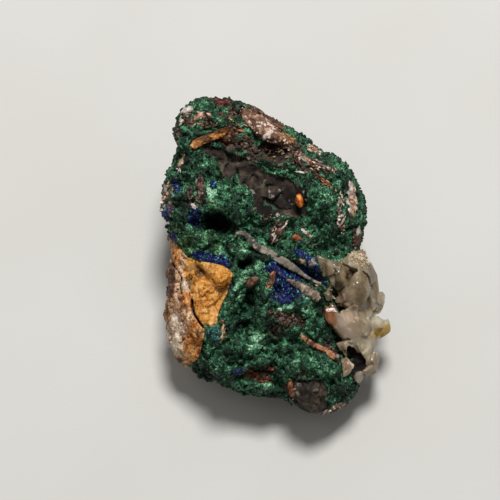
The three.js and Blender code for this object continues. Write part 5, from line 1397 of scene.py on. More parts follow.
FACES = [  # crystals of the cluster, seen from the front: rim and ridge points, then how far back they reach
    ([(12.72, 0.96), 8.2, (15.12, -0.24), 9.6, (17.28, -0.96), 10.2, (20.16, -1.92), 9.2, (17.76, -4.56), 10.8, (15.84, -6.00), 10.0, (16.80, -8.16), 9.0, (14.16, -3.60), 8.8], 5.0),
    ([(14.16, -7.44), 9.6, (15.84, -6.72), 10.6, (17.52, -8.16), 10.8, (17.52, -10.08), 9.6, (15.36, -10.32), 8.6, (16.08, -8.40), 11.4], 4.0),
    ([(17.04, -0.96), 10.2, (20.16, 0.00), 9.2, (21.84, -2.40), 9.8, (20.40, -6.24), 11.2, (18.00, -7.92), 10.4, (16.32, -6.24), 10.0, (17.76, -3.60), 11.8], 6.0),
    ([(18.72, -1.44), 8.0, (21.60, -0.96), 8.6, (24.96, -1.20), 7.0, (26.64, -7.68), 4.8, (23.52, -11.04), 7.6, (20.16, -11.52), 8.2, (17.52, -8.16), 8.8], 5.0),
    ([(19.44, 0.00), 8.5, (21.60, 1.68), 7.0, (24.24, 2.16), 5.0, (25.68, -0.96), 6.0, (24.24, -3.12), 9.2, (21.12, -2.88), 10.2, (22.56, -0.48), 10.0], 6.0),
    ([(22.32, -3.12), 10.6, (24.24, -0.96), 8.4, (26.16, -0.96), 5.6, (27.72, -4.08), 4.0, (28.20, -7.44), 3.4, (28.08, -10.08), 3.0, (26.88, -13.92), 3.0, (23.52, -13.68), 8.4, (20.40, -12.48), 10.4, (17.76, -11.28), 9.6, (17.28, -9.84), 9.4, (20.16, -6.72), 11.6, (22.80, -6.24), 12.2, (24.96, -7.68), 10.6, (24.96, -4.32), 9.8], 9.0),
    ([(27.12, -8.16), 3.6, (29.28, -8.04), 1.2, (30.12, -9.84), 0.2, (29.76, -11.28), 0.2, (28.56, -13.44), 0.6, (26.64, -14.16), 3.0, (27.60, -10.80), 4.4], 5.0),
    ([(14.28, -12.72), 7.6, (15.60, -10.80), 9.0, (17.52, -10.80), 10.2, (18.48, -12.96), 10.8, (18.24, -15.12), 10.2, (16.80, -16.80), 9.2, (15.36, -15.12), 8.2], 5.0),
    ([(17.52, -12.24), 10.4, (20.40, -12.24), 11.2, (23.52, -14.40), 9.8, (25.68, -16.56), 7.2, (24.48, -19.20), 7.2, (21.84, -21.36), 7.4, (19.44, -19.92), 8.6, (16.80, -17.04), 9.2, (20.64, -15.84), 11.8], 8.0),
    ([(23.52, -16.32), 7.4, (26.40, -16.32), 5.2, (27.60, -19.20), 4.4, (27.12, -21.36), 4.2, (24.00, -21.12), 6.8, (24.96, -18.48), 8.0], 6.0),
    ([(23.52, -11.52), 7.0, (26.88, -11.76), 3.8, (27.36, -15.12), 3.6, (24.48, -15.84), 6.6, (25.44, -13.44), 6.4], 6.0),
    ([(21.36, -12.72), 10.2, (25.68, -13.68), 6.2, (26.40, -16.32), 6.2, (24.24, -18.72), 7.8, (21.84, -17.52), 9.8, (23.04, -14.88), 11.0], 7.0),
    ([(25.44, -14.16), 4.8, (28.32, -13.80), 2.4, (30.48, -14.04), 0.8, (31.20, -16.80), 0.0, (31.08, -18.00), -0.2, (29.64, -18.60), 0.6, (28.32, -19.68), 1.6, (26.16, -19.20), 4.6, (27.12, -16.56), 4.8], 4.5),
    ([(21.60, -20.88), 7.2, (24.48, -18.96), 7.4, (27.12, -19.44), 4.2, (27.60, -20.88), 3.8, (26.88, -22.08), 4.6, (24.96, -23.76), 6.2, (22.80, -22.80), 7.2, (24.24, -21.12), 8.2], 7.0),
    ([(24.00, -23.04), 6.2, (26.64, -21.60), 4.6, (28.08, -23.04), 2.6, (28.32, -24.72), 2.2, (27.60, -27.60), 1.8, (25.92, -28.92), 2.0, (24.24, -28.08), 4.0, (24.72, -25.44), 5.8, (26.16, -24.48), 6.4], 6.0),
    ([(17.52, -20.40), 7.6, (19.68, -19.68), 8.6, (22.08, -21.12), 7.8, (20.88, -21.60), 7.6, (20.16, -23.76), 7.0, (18.72, -22.08), 7.2, (19.92, -21.36), 8.8], 4.0),
    ([(18.84, -24.24), 6.6, (20.16, -23.64), 7.2, (22.44, -25.68), 6.4, (20.88, -27.84), 5.6, (19.44, -28.56), 5.6, (20.40, -25.68), 8.8], 4.0),
    ([(21.48, -27.60), 4.4, (23.76, -27.00), 4.4, (24.72, -28.08), 3.2, (24.12, -29.76), 2.0, (23.16, -30.72), 1.6, (22.08, -29.04), 2.8, (23.04, -28.32), 5.6], 4.0),
]
clear = np.full(tuple(QN), 3.0, np.float32)
for flat, back in FACES:
    rim_pts = np.array([[*flat[i], flat[i + 1]] for i in range(0, len(flat), 2)])
    over = sample2(HEIGHT, rim_pts[:, 0], rim_pts[:, 1])
    rim_pts[:, 2] = np.maximum(rim_pts[:, 2], np.minimum(over + 0.5, 13.0))
    mid_pt = rim_pts.mean(0)
    add_hull(clear, np.concatenate([rim_pts, mid_pt + (rim_pts - mid_pt) * np.array([0.86, 0.86, 1]) - np.array([0, 0, back])]), 0.12)
QTIPS = [  # small crystals on the cluster: foot, tip, half width
    ((21.60, -11.52), 9.0, (21.84, -10.56), 12.0, 0.96),
    ((23.04, -17.28), 8.0, (24.00, -18.00), 10.2, 0.86),
    ((21.60, -19.20), 7.0, (20.88, -19.92), 9.6, 0.82),
]
rq = np.random.default_rng(12)
for (x0, y0), z0, (x1, y1), z1, w in QTIPS:
    foot, tip = np.array([x0, y0, z0 - 2]), np.array([x1, y1, z1])
    ax = unit(tip - foot)
    u = unit(np.cross(ax, rq.normal(size=3)))
    s = np.cross(ax, u)
    ring = [[math.cos(t), math.sin(t)] for t in np.arange(6) * math.pi / 3 + rq.uniform(-0.12, 0.12, 6)]
    pts = [foot + w * (c * u + d * s) for c, d in ring] + [foot + (tip - foot) * rq.uniform(0.62, 0.78) + 0.9 * w * (c * u + d * s) for c, d in ring] + [tip]
    add_hull(clear, pts)
qn = Noise(61)
idx, pts = in_band(clear, QLO, QH, 1.2)
v, t, q = meshed(clear, QLO, QH, adaptivity=0.1)
rq = np.random.default_rng(77)
pick = rq.choice(len(v), 110, replace=False)
v_seeds = v[pick].copy()
cutaway = facets(v[pick], slope(clear, v[pick], 0.8, QLO, QH), 0.20, 0.30, rq, pts)
clear[idx] = np.maximum(clear[idx], np.minimum(cutaway, clear[idx] + 0.8))

void = (to_line([(21.12, -22.32), (22.32, -24.00), (23.52, -25.92)], QA, QB) - 0.86 - 0.3 * np.sin(QA * 3.1) - 0.3 * np.sin(QB * 2.3))[:, :, None]
void = np.maximum(void, (-5.5 - QX[2])[None, None, :])
clear = np.maximum(clear, -void).astype(np.float32)
v, t, q = meshed(clear, QLO, QH, adaptivity=0.05, most=52000)
glass = mesh("quartz_cluster_clear", v, t, q)
flatten(glass)
a, b = v[:, 0], v[:, 1]
put(glass, "tone", np.clip(0.50 + 0.22 * qn.octaves(np.stack([a * 1.4 + 0.3 * b, b * 0.35, v[:, 2] * 0.6], 1) + 3, 1.8, 3, 0.6) + 0.25 * bell(a, b, 21.60, -15.84, 3.84, 2.88, -30, 2) + 0.45 * bell(a, b, 28.80, -14.40, 3.36, 2.16, 0, 2) + 0.22 * bell(a, b, 29.28, -10.56, 1.92, 2.88, 0, 2) - 0.18 * bell(a, b, 16.32, -2.40, 3.36, 3.84, 0, 2) - 0.16 * bell(a, b, 24.48, -6.72, 2.88, 4.80, 10, 2) + 0.25 * bell(a, b, 24.48, -20.88, 3.36, 2.40, 0, 2) - 0.9 * bell(a, b, 17.88, -6.84, 1.08, 1.08, 0, 1) - 0.4 * bell(a, b, 20.16, -5.28, 0.96, 1.92, 20, 1), 0, 1))
put(glass, "orange", np.clip(1.9 * bell(a, b, 15.72, -13.68, 1.68, 3.12, 16, 2.0) + 0.5 * bell(a, b, 19.92, -9.12, 3.84, 1.20, 38, 1.5) + 0.4 * bell(a, b, 26.16, -24.72, 1.44, 2.40, 0, 1.5) + 0.3 * bell(a, b, 21.60, 0.24, 1.20, 0.60, 0, 1) + 0.3 * bell(a, b, 20.40, -25.92, 0.96, 1.68, 0, 1), 0, 1))
put(glass, "pink", np.clip(0.8 * bell(a, b, 20.16, -15.36, 3.84, 3.36, -30, 2) + 0.9 * bell(a, b, 20.40, -25.68, 2.16, 2.64, 0, 2) + 0.5 * bell(a, b, 19.44, -21.60, 2.16, 2.16, 0, 2), 0, 1))
put(glass, "cream", np.clip(1.1 * bell(a, b, 23.04, -0.24, 3.12, 2.16, -15, 3) + 0.6 * bell(a, b, 25.44, -22.08, 2.88, 2.88, 0, 2) + 0.6 * bell(a, b, 28.32, -14.40, 3.84, 2.40, 0, 2) + 0.5 * bell(a, b, 17.28, -8.16, 2.88, 0.96, 30, 1.5), 0, 1))
put(glass, "yellow", np.clip(1.9 * bell(a, b, 28.80, -17.64, 2.04, 1.01, 14, 2) + 0.9 * bell(a, b, 30.48, -16.92, 0.84, 1.08, 0, 2) + 0.5 * bell(a, b, 26.88, -18.96, 0.96, 0.96, 0, 2), 0, 1))
near2 = np.full((len(v), 2), np.inf)
for sx in v_seeds:
    d_ = np.linalg.norm(v - sx, axis=1)
    near2[:, 1] = np.minimum(near2[:, 1], np.maximum(near2[:, 0], d_))
    near2[:, 0] = np.minimum(near2[:, 0], d_)
# edge: pale cream along the lines where two broken facets meet, a painted highlight on the facet edges
put(glass, "edge", np.clip(1 - (near2[:, 1] - near2[:, 0]) / 0.30, 0, 1) * smooth(-0.2, 0.5, qn.octaves(v + 200, 2.2, 2)))
keep("quartz_cluster_clear", glass, "quartz", ["quartz_cluster"], (v, slope(clear, v, 0.8, QLO, QH)))
print("quartz clear", len(t) + 2 * len(q))

# what shows inside it: cloudy quartz with veils, stains and grains, set back inside the clear rim by a depth that
# varies over the cluster
deep_map = 1.3 - 0.95 * np.clip(bell(QA, QB, 21.12, -16.08, 4.32, 3.60, -30, 2) + bell(QA, QB, 15.84, -13.44, 1.92, 3.36, 20, 2) + bell(QA, QB, 22.80, -0.24, 3.12, 2.16, -15, 2) + bell(QA, QB, 15.36, -2.88, 2.88, 3.84, 0, 2) * 0.6 + bell(QA, QB, 25.92, -24.96, 3.36, 4.32, 0, 2) * 0.8 + bell(QA, QB, 20.64, -24.96, 2.40, 3.36, 0, 2), 0, 1)
deep_map = deep_map + 7.0 * bell(QA, QB, 29.28, -10.32, 2.16, 3.12, 0, 4) + 7.0 * bell(QA, QB, 29.52, -15.84, 3.36, 2.40, 0, 4)
cloud = clear + deep_map[:, :, None].astype(np.float32)
idx, pts = in_band(cloud, QLO, QH, 1.6)
grain = pts * np.array([1.0, 0.35, 0.8])
cloud[idx] += 0.45 * qn.octaves(grain + 11, 1.9, 3, 0.6) + 0.18 * qn(pts + 5, 0.8)
v, t, q = meshed(cloud, QLO, QH, adaptivity=0.08, most=26000)
milk = mesh("quartz_inside", v, t, q)
a, b = v[:, 0], v[:, 1]
streak = qn.octaves(np.stack([a * 1.5 + 0.25 * b, b * 0.28, v[:, 2] * 0.6], 1) + 3, 1.6, 3, 0.6)
put(milk, "tone", np.clip(0.42 + 0.26 * streak + 0.12 * qn(v, 0.7) + 0.30 * bell(a, b, 21.60, -15.84, 3.36, 2.40, -30, 2) + 0.45 * bell(a, b, 23.28, -0.24, 2.88, 1.92, -15, 2) + 0.2 * bell(a, b, 24.72, -20.64, 3.36, 2.88, 0, 2) - 0.22 * bell(a, b, 24.96, -6.24, 2.40, 5.28, 10, 2) - 0.5 * bell(a, b, 17.76, -6.72, 0.96, 1.20, 0, 1), 0, 1))
put(milk, "orange", np.clip(1.1 * bell(a, b, 16.08, -13.68, 1.08, 3.12, 18, 1.5) + 0.45 * bell(a, b, 19.68, -9.60, 3.84, 1.44, 35, 1.5) + 0.35 * bell(a, b, 26.40, -24.96, 1.68, 2.16, 0, 1.5) + 0.3 * bell(a, b, 20.88, 0.24, 0.96, 0.48, 0, 1) + 0.4 * smooth(0.35, 0.9, qn.octaves(v + 91, 1.6, 3)), 0, 1))
put(milk, "pink", np.clip(0.9 * bell(a, b, 20.16, -15.36, 3.84, 3.36, -30, 2) + 0.6 * bell(a, b, 19.92, -24.96, 1.92, 2.40, 0, 2), 0, 1))
put(milk, "cream", np.clip(1.1 * bell(a, b, 23.28, -0.24, 3.12, 2.04, -15, 3) + 0.5 * bell(a, b, 25.44, -22.08, 2.40, 2.16, 0, 2) + 0.4 * bell(a, b, 24.96, -28.32, 1.92, 1.92, 0, 2), 0, 1))
put(milk, "brown", np.clip(0.8 * bell(a, b, 15.84, -2.40, 3.12, 3.60, 0, 2) + 0.7 * bell(a, b, 21.60, -7.68, 3.36, 1.20, 45, 2) + 1.0 * bell(a, b, 17.76, -6.72, 0.96, 1.20, 0, 2), 0, 1))
keep("quartz_inside", milk, "quartz", [], (v, slope(cloud, v, 0.8, QLO, QH)))
print("quartz inside", len(t) + 2 * len(q))


def lump_set(name, stones, slot, sphere_level=BALL4, noise_amp=0.07, seed=1, height=None):
    """Faceted stones set on the skin: place, half length, half width, height, degrees, colour, depth sunk."""
    r_ = np.random.default_rng(seed)
    got, col, ton = [], [], []
    for _, x, y, rl, rw, high, deg, kind, c in stones:
        sv, sf = sphere_level
        planes = unit(r_.normal(size=(12, 3)))
        far = r_.uniform(0.6, 0.92, 12)
        lim = np.min(np.where(sv @ planes.T > 0.05, far / np.maximum(sv @ planes.T, 0.05), 9), 1)
        p = sv * np.minimum(lim, 1.1)[:, None]
        p = p * (1 + noise_amp * ng.octaves(p * 3 + 40 * r_.random(), 1.0, 3, 0.6))[:, None]
        t = math.radians(deg)
        ux, uy, uz = np.array([math.cos(t), math.sin(t), 0]), np.array([-math.sin(t), math.cos(t), 0]), np.array([0, 0, 1.0])
        got.append((p[:, :1] * rl * ux + p[:, 1:2] * rw * uy + p[:, 2:] * high * uz + np.array([x, y, c]), sf, np.zeros((0, 4))))
        col.append(np.full(len(p), kind))
        ton.append(0.5 + 0.3 * ng.octaves(p, 0.9, 3, 0.6))
    v_, t_, q_ = join(*got)
    o = mesh(name, v_, t_, q_)
    put(o, "kind", np.concatenate(col))
    put(o, "tone", np.concatenate(ton))
    return keep(name, o, slot, [], (v_, unit(v_ * 0 + np.array([0, 0, 1.0]))))


# the hole behind the lower crystals, filled with a near-black brown piece: painted shade in the hole
pocket = np.full(tuple(QN), 3.0, np.float32)
for rim in ([18.96, -21.12, 21.12, -20.16, 23.04, -21.12, 24.24, -22.80, 23.04, -24.96, 20.88, -24.72, 19.44, -23.04], [20.88, -23.52, 23.04, -22.08, 24.96, -24.00, 25.56, -26.16, 24.72, -28.08, 22.56, -28.56, 21.12, -26.40]):
    ring = np.array([[rim[i], rim[i + 1]] for i in range(0, len(rim), 2)])
    add_hull(pocket, np.concatenate([np.column_stack([ring, np.full(len(ring), 3.6)]), np.column_stack([ring.mean(0) + (ring - ring.mean(0)) * 0.9, np.full(len(ring), -4.0)])]), 0.4)
idx, pts = in_band(pocket, QLO, QH, 1.6)
pocket[idx] += 0.35 * qn.octaves(pts + 61, 1.5, 3, 0.65)
v, t, q = meshed(pocket, QLO, QH, adaptivity=0.1, most=9000)
dark = mesh("pocket_shade", v, t, q)
put(dark, "tone", 0.12 + 0.14 * qn.octaves(v, 1.1, 3, 0.65))
put(dark, "kind", np.full(len(v), 0.95))
keep("pocket_shade", dark, "brown_iron", [], (v, slope(pocket, v, 0.8, QLO, QH)))

# the sugary cap at its head
rg = np.random.default_rng(33)
many = 240
ca = rg.normal(0, 1, (many, 2)) @ np.array([[1.49, -0.25], [0.1, 0.86]]) + np.array([23.04, 0.00])
QTOP = np.where((clear < 0).any(2), QLO[2] + QH * (QN[2] - 1 - (clear < 0)[:, :, ::-1].argmax(2)), -30.0)
ii = np.clip(((ca - QLO[:2]) / QH).astype(int), 0, QN[:2] - 1)
cz = QTOP[ii[:, 0], ii[:, 1]]
ok = cz > 0
cp = np.column_stack([ca, cz])[ok]
size = np.clip(rg.lognormal(-0.85, 0.35, len(cp)), 0.22, 0.7)
cv, ct, who = grow(cp, turned(np.tile([0.1, 0.2, 1.0], (len(cp), 1)), rg, 0.8), size, chips_t, rg)
ob = mesh("quartz_cap_sugar", cv, ct, [])
put(ob, "kind", (rg.random(len(cp)) * 0.35 + 0.65)[who])
put(ob, "tone", (0.35 + 0.6 * rg.random(len(cp)))[who])
flatten(ob)
keep("quartz_cap_sugar", ob, "quartz", [], (cv, unit(cv * 0 + np.array([0, 0, 1.0]))))


# ------------------------------------------------------------------ blades
def curve_through(points, step):
    """Catmull-Rom through the points, about step apart."""
    p = np.array(points, float)
    p = np.concatenate([[2 * p[0] - p[1]], p, [2 * p[-1] - p[-2]]])
    out = []
    for i in range(1, len(p) - 2):
        n = max(2, int(np.linalg.norm(p[i + 1][:2] - p[i][:2]) / step))
        t = np.arange(n)[:, None] / n
        a, b, c, d = p[i - 1 : i + 3]
        out.append(0.5 * (2 * b + (c - a) * t + (2 * a - 5 * b + 4 * c - d) * t**2 + (3 * b - a - 3 * c + d) * t**3))
    return np.concatenate(out + [p[-2:-1]])


def blade(name, path, slot, replaces, rise, thick, sides, band, rough_, seed, groove=0.0):
    r_ = np.random.default_rng(seed)
    line = curve_through(path, 0.16)
    along = np.r_[0, np.cumsum(np.linalg.norm(np.diff(line[:, :2], axis=0), axis=1))]
    ground = sample2(HEIGHT, line[:, 0], line[:, 1])
    wide = np.exp(-((along[:, None] - along[None]) ** 2) / (2 * 2.6**2))
    rest = (wide * ground[None]).sum(1) / wide.sum(1) + rise
    tan = unit(np.gradient(np.column_stack([line[:, :2], rest]), axis=0))
    side = unit(np.cross(np.array([0, 0, 1.0]), tan))
    up = np.cross(tan, side)
    t = 2 * math.pi * np.arange(sides) / sides
    # across: a flattened section, wider than it is thick, with a shallow groove along its top
    cross = np.sign(np.cos(t)) * np.abs(np.cos(t)) ** 0.8
    lift = np.sign(np.sin(t)) * np.abs(np.sin(t)) ** 0.75
    cells = np.cumsum(r_.uniform(0.5, 1.5, 80) * band)
    cell = np.searchsorted(cells, along)
    step_w, step_h, own = r_.uniform(-0.10, 0.10, 90), r_.uniform(-0.12, 0.10, 90), r_.random(90)
    edge = np.minimum(along - np.r_[0, cells][cell], cells[cell] - along)
    pinch = 1 - 0.16 * np.exp(-((edge / 0.10) ** 2))
    w = line[:, 2] * (1 + step_w[cell]) * pinch
    h = thick * np.minimum(1, line[:, 2] / line[:, 2].max() + 0.35) * (1 + step_h[cell]) * pinch
    v = np.column_stack([line[:, :2], rest])[:, None, :] + side[:, None, :] * (w[:, None] * cross)[:, :, None] + up[:, None, :] * (h[:, None] * (lift - groove * np.exp(-((cross * 2.2) ** 2)) * (lift > 0)))[:, :, None]
    v = v.reshape(-1, 3)
    v = v + unit(v - np.repeat(np.column_stack([line[:, :2], rest]), sides, 0)) * (rough_ * ng.octaves(v + 5 * seed, 0.7, 3, 0.6))[:, None]
    n = len(line)
    i = np.arange((n - 1) * sides)
    j = i // sides * sides + (i + 1) % sides
    q = np.column_stack([i, j, j + sides, i + sides])[:, ::-1]
    v = np.concatenate([v, [v[:sides].mean(0)], [v[-sides:].mean(0)]])
    k = np.arange(sides)
    t_ = np.concatenate([np.column_stack([k, (k + 1) % sides, np.full(sides, n * sides)]), np.column_stack([(k + 1) % sides, k, np.full(sides, n * sides + 1 - 0)]) + np.array([(n - 1) * sides, (n - 1) * sides, 0])])
    tri = np.concatenate([t_, q[:, :3], q[:, [0, 2, 3]]]).astype(int)
    pp = v[tri]
    if np.einsum("ij,ij->i", pp[:, 0] - v.mean(0), np.cross(pp[:, 1] - v.mean(0), pp[:, 2] - v.mean(0))).sum() < 0:
        t_, q = t_[:, ::-1], q[:, ::-1]
    ob = mesh(name, v, t_, q)
    ring = np.repeat(np.arange(n), sides)
    ring = np.r_[ring, 0, n - 1]
    put(ob, "tone", np.clip(0.52 + 0.22 * (own[cell[ring]] - 0.5) + 0.20 * ng(v, 0.5) + 0.16 * ng(v + 7, 1.3), 0, 1))
    put(ob, "dark", np.clip((own[cell[ring]] < 0.22) * 0.35 + 0.40 * np.exp(-((edge[ring] / 0.07) ** 2)) + 0.7 * smooth(0.15, 0.8, ng.octaves(v + 9, 0.9, 2)) + 0.9 * np.exp(-(((along[ring] / along[-1] - 0.25) / 0.10) ** 2)) * smooth(-0.2, 0.5, ng.octaves(v + 29, 0.8, 2)), 0, 1))
    put(ob, "along", along[ring] / along[-1])
    return keep(name, ob, slot, replaces, (v, unit(v * 0 + np.array([0, 0, 1.0]))))


blade("long_blade_crystal", BLADES["long"], "blade_crystal", ["long_blade"], 0.50, 0.50, 16, 1.15, 0.05, 3, 0.25)
blade("short_blade_crystal", BLADES["short"], "blade_crystal", ["short_blade"], 0.05, 0.75, 20, 0.8, 0.16, 4)
blade("brown_blade_crystal", BLADES["brown"], "brown_iron", ["brown_blade"], 0.15, 0.50, 16, 1.3, 0.12, 5, 0.3)


# ------------------------------------------------------------------ malachite needles
rn = np.random.default_rng(101)
for side, v, tri, n0, lift in SKIN_POINTS:
    m = v[tri].mean(1)
    lf = lift[tri].mean(1)
    up_ = np.array([0, -0.1, 1.0])
    block = 1 - np.clip(sample2(bare, m[:, 0], m[:, 1]) * 1.1, 0, 0.93) * (m[:, 2] > 0)
    vug = bell(m[:, 0], m[:, 1], -10.08, 8.16, 3.36, 1.80, -12, 3) + bell(m[:, 0], m[:, 1], -3.84, -1.68, 1.44, 0.72, 0, 2)
    gap = (sample2(WINDOWS, m[:, 0], m[:, 1]) > 0.1) * (sample2(INLAID, m[:, 0], m[:, 1]) > 0.1)
    weight = (0.25 + smooth(-0.6, 0.3, lf)) * block * gap * (1 - 0.85 * vug) * (1 - by_quartz(m)) * np.where(m[:, 2] > -4, 1.0, 0.30)
    many = 7600
    cp, cn = scatter(v, tri, many, rn, weight + 1e-12)
    nn_ = unit(cn + 0.6 * slope(F, cp, 1.0))
    lf = -sample3(FC, cp, CLO)
    own = tone_at(cp, lf)
    clump = NOISE_A(cp + 60, 1.5)
    lean = unit(np.stack([NOISE_A(cp + 5, 1.7), NOISE_A(cp + 105, 1.7), NOISE_A(cp + 205, 1.7)], 1))
    rim_ = smooth(0.25, 0.85, slope(F, cp, 1.0)[:, 2])
    axis = unit((0.55 + 0.35 * rim_)[:, None] * nn_ + 0.75 * lean + rn.normal(0, 0.55, cp.shape))
    long = np.clip(rn.lognormal(-0.38, 0.30, many), 0.35, 1.1) * (0.85 + 0.25 * clump)
    long *= 0.55 + 0.45 * rim_
    thin = rn.uniform(0.055, 0.105, many)
    u = unit(np.cross(axis, rn.normal(size=axis.shape)))
    w = np.cross(axis, u)
    bend = unit(lean + rn.normal(0, 0.5, cp.shape))
    rings = []
    for k, fat in ((0.0, 1.0), (0.5, 0.85)):
        centre = cp - axis * 0.12 + axis * (k * long)[:, None] + bend * (0.10 * k * k * 4 * long)[:, None]
        rings += [centre + (fat * thin)[:, None] * (math.cos(t) * u + math.sin(t) * w) for t in (0, 2.094, 4.189)]
    tips = cp - axis * 0.12 + axis * (0.82 * long)[:, None] + bend * (0.45 * long)[:, None]
    pv = np.stack(rings + [tips], 1).reshape(-1, 3)
    k = 7 * np.arange(many)[:, None]
    pattern = [[0, 2, 1]] + [x for i, j in ((0, 1), (1, 2), (2, 0)) for x in ([i, j, j + 3], [i, j + 3, i + 3], [i + 3, j + 3, 6])]
    faces = (k[:, :, None] + np.array(pattern)[None]).reshape(-1, 3)
    ob = mesh("malachite_needles_" + side, pv, faces, [])
    pick = rn.random(many)
    # the needles take the crust's painted light and shade from tone_at
    tone = np.clip(0.31 + 0.52 * (own - 0.40) + 0.46 * (pick - 0.42) + 0.08 * clump, 0.02, 0.98)
    hue = np.clip(sample2(hue_map, cp[:, 0], cp[:, 1]) + 0.16 * NOISE_B(cp, 3.1) + rn.normal(0, 0.05, many), 0, 0.999)
    band_ = np.floor(hue * 8)
    x = (band_ + 0.06 + 0.88 * tone) / 8
    uv = np.stack([np.stack([x - 0.003, x + 0.003, x] * 2 + [x], 1), np.stack([x * 0 + 0.03, x * 0 + 0.03, x * 0 + 0.05] + [x * 0 + 0.48, x * 0 + 0.5, x * 0 + 0.52] + [x * 0 + 0.97], 1)], 2).reshape(-1, 2)
    vi = np.empty(len(ob.data.loops), np.int32)
    ob.data.loops.foreach_get("vertex_index", vi)
    layer = ob.data.uv_layers.new(name="OFBake")
    layer.data.foreach_set("uv", uv[vi].astype(np.float32).ravel())
    put(ob, "tone", np.repeat(tone, 7))
    put(ob, "hue", np.repeat((band_ + 0.5) / 8, 7))
    # high: how far up the needle, which the material turns into painted shade at the root and painted light at the tip
    put(ob, "high", np.tile([0.03, 0.03, 0.05, 0.48, 0.5, 0.52, 0.97], many))
    keep("malachite_needles_" + side, ob, "malachite")
    print("needles", side, 10 * many)


# ------------------------------------------------------------------ materials
def lin(h):
    """A hex colour in linear values."""
    c = [int(h[i : i + 2], 16) / 255 for i in (1, 3, 5)]
    return tuple(x / 12.92 if x <= 0.04045 else ((x + 0.055) / 1.055) ** 2.4 for x in c) + (1.0,)


class Shade:
    def __init__(self, name, rough=0.6, spec=0.35, **more):
        self.m = bpy.data.materials.new(name)
        self.m.use_nodes = True
        self.t = self.m.node_tree
        self.b = next(n for n in self.t.nodes if n.type == "BSDF_PRINCIPLED")
        self.b.inputs["Roughness"].default_value = rough
        self.b.inputs["Specular IOR Level"].default_value = spec
        for k, v in more.items():
            self.b.inputs[k.replace("_", " ")].default_value = v
        self.co = self.t.nodes.new("ShaderNodeTexCoord").outputs["Object"]

    def set(self, socket, value):
        if isinstance(value, bpy.types.NodeSocket):
            self.t.links.new(value, socket)
        else:
            socket.default_value = value

    def attr(self, name):
        n = self.t.nodes.new("ShaderNodeAttribute")
        n.attribute_name = name
        return n.outputs["Fac"]

    def scaled(self, x, y, z, rot=(0, 0, 0)):
        n = self.t.nodes.new("ShaderNodeMapping")
        n.inputs["Scale"].default_value = (x, y, z)
        n.inputs["Rotation"].default_value = rot
        self.t.links.new(self.co, n.inputs["Vector"])
        return n.outputs["Vector"]

    def noise(self, cell, detail=3, rough=0.6, twist=0.0, where=None):
        """Noise with features about cell mm across."""
        n = self.t.nodes.new("ShaderNodeTexNoise")
        self.t.links.new(where or self.co, n.inputs["Vector"])
        n.inputs["Scale"].default_value = 1000.0 / cell / 1.6
        n.inputs["Detail"].default_value = detail
        n.inputs["Roughness"].default_value = rough
        n.inputs["Distortion"].default_value = twist
        return n.outputs["Fac"]

    def cells(self, size, kind="DISTANCE_TO_EDGE"):
        n = self.t.nodes.new("ShaderNodeTexVoronoi")
        n.feature = kind
        self.t.links.new(self.co, n.inputs["Vector"])
        n.inputs["Scale"].default_value = 1000.0 / size
        return n.outputs["Distance"]

    def math(self, op, a, b=0.0, clamp=False):
        n = self.t.nodes.new("ShaderNodeMath")
        n.operation = op
        n.use_clamp = clamp
        self.set(n.inputs[0], a)
        self.set(n.inputs[1], b)
        return n.outputs[0]

    def ease(self, x, lo, hi, a=0.0, b=1.0):
        n = self.t.nodes.new("ShaderNodeMapRange")
        n.interpolation_type = "SMOOTHSTEP"
        self.set(n.inputs["Value"], x)
        for k, v in (("From Min", lo), ("From Max", hi), ("To Min", a), ("To Max", b)):
            n.inputs[k].default_value = v
        return n.outputs["Result"]

    def ramp(self, x, *stops):
        n = self.t.nodes.new("ShaderNodeValToRGB")
        e = n.color_ramp.elements
        while len(e) < len(stops):
            e.new(0.5)
        for i, (at, c) in enumerate(stops):
            e[i].position = at
            e[i].color = lin(c) if isinstance(c, str) else c
        self.set(n.inputs["Fac"], x)
        return n.outputs["Color"]

    def mix(self, f, a, b, kind="MIX"):
        n = self.t.nodes.new("ShaderNodeMix")
        n.data_type = "RGBA"
        n.blend_type = kind
        n.clamp_factor = True
        self.set(n.inputs[0], f)
        self.set(n.inputs[6], lin(a) if isinstance(a, str) else a)
        self.set(n.inputs[7], lin(b) if isinstance(b, str) else b)
        return n.outputs[2]

    def done(self, colour, bump=None, depth=0.1, rough=None):
        self.set(self.b.inputs["Base Color"], colour)
        if rough is not None:
            self.set(self.b.inputs["Roughness"], rough)
        if bump is not None:
            n = self.t.nodes.new("ShaderNodeBump")
            n.inputs["Strength"].default_value = 1.0
            n.inputs["Distance"].default_value = depth / 1000.0
            self.set(n.inputs["Height"], bump)
            self.t.links.new(n.outputs["Normal"], self.b.inputs["Normal"])
        return self.m


MALACHITE = ((0.0, "#010302"), (0.18, "#07130c"), (0.38, "#173824"), (0.56, "#2e6243"), (0.74, "#55956b"), (0.9, "#8fc39a"), (1.0, "#c6e7cb"))
BLUISH = ((0.0, "#010303"), (0.18, "#071414"), (0.38, "#153a36"), (0.56, "#2a655e"), (0.74, "#52958a"), (0.9, "#96cac2"), (1.0, "#cdeae2"))
YELLOWISH = ((0.0, "#040602"), (0.18, "#121d0c"), (0.38, "#283f1d"), (0.56, "#456a34"), (0.74, "#759a58"), (0.9, "#a9c587"), (1.0, "#d8e6b8"))


def green(s, tone, hue):
    base = s.ramp(tone, *MALACHITE)
    base = s.mix(s.ease(hue, 0.34, 0.10), base, s.ramp(tone, *BLUISH))
    return s.mix(s.ease(hue, 0.55, 0.9, 0.0, 0.9), base, s.ramp(tone, *YELLOWISH))


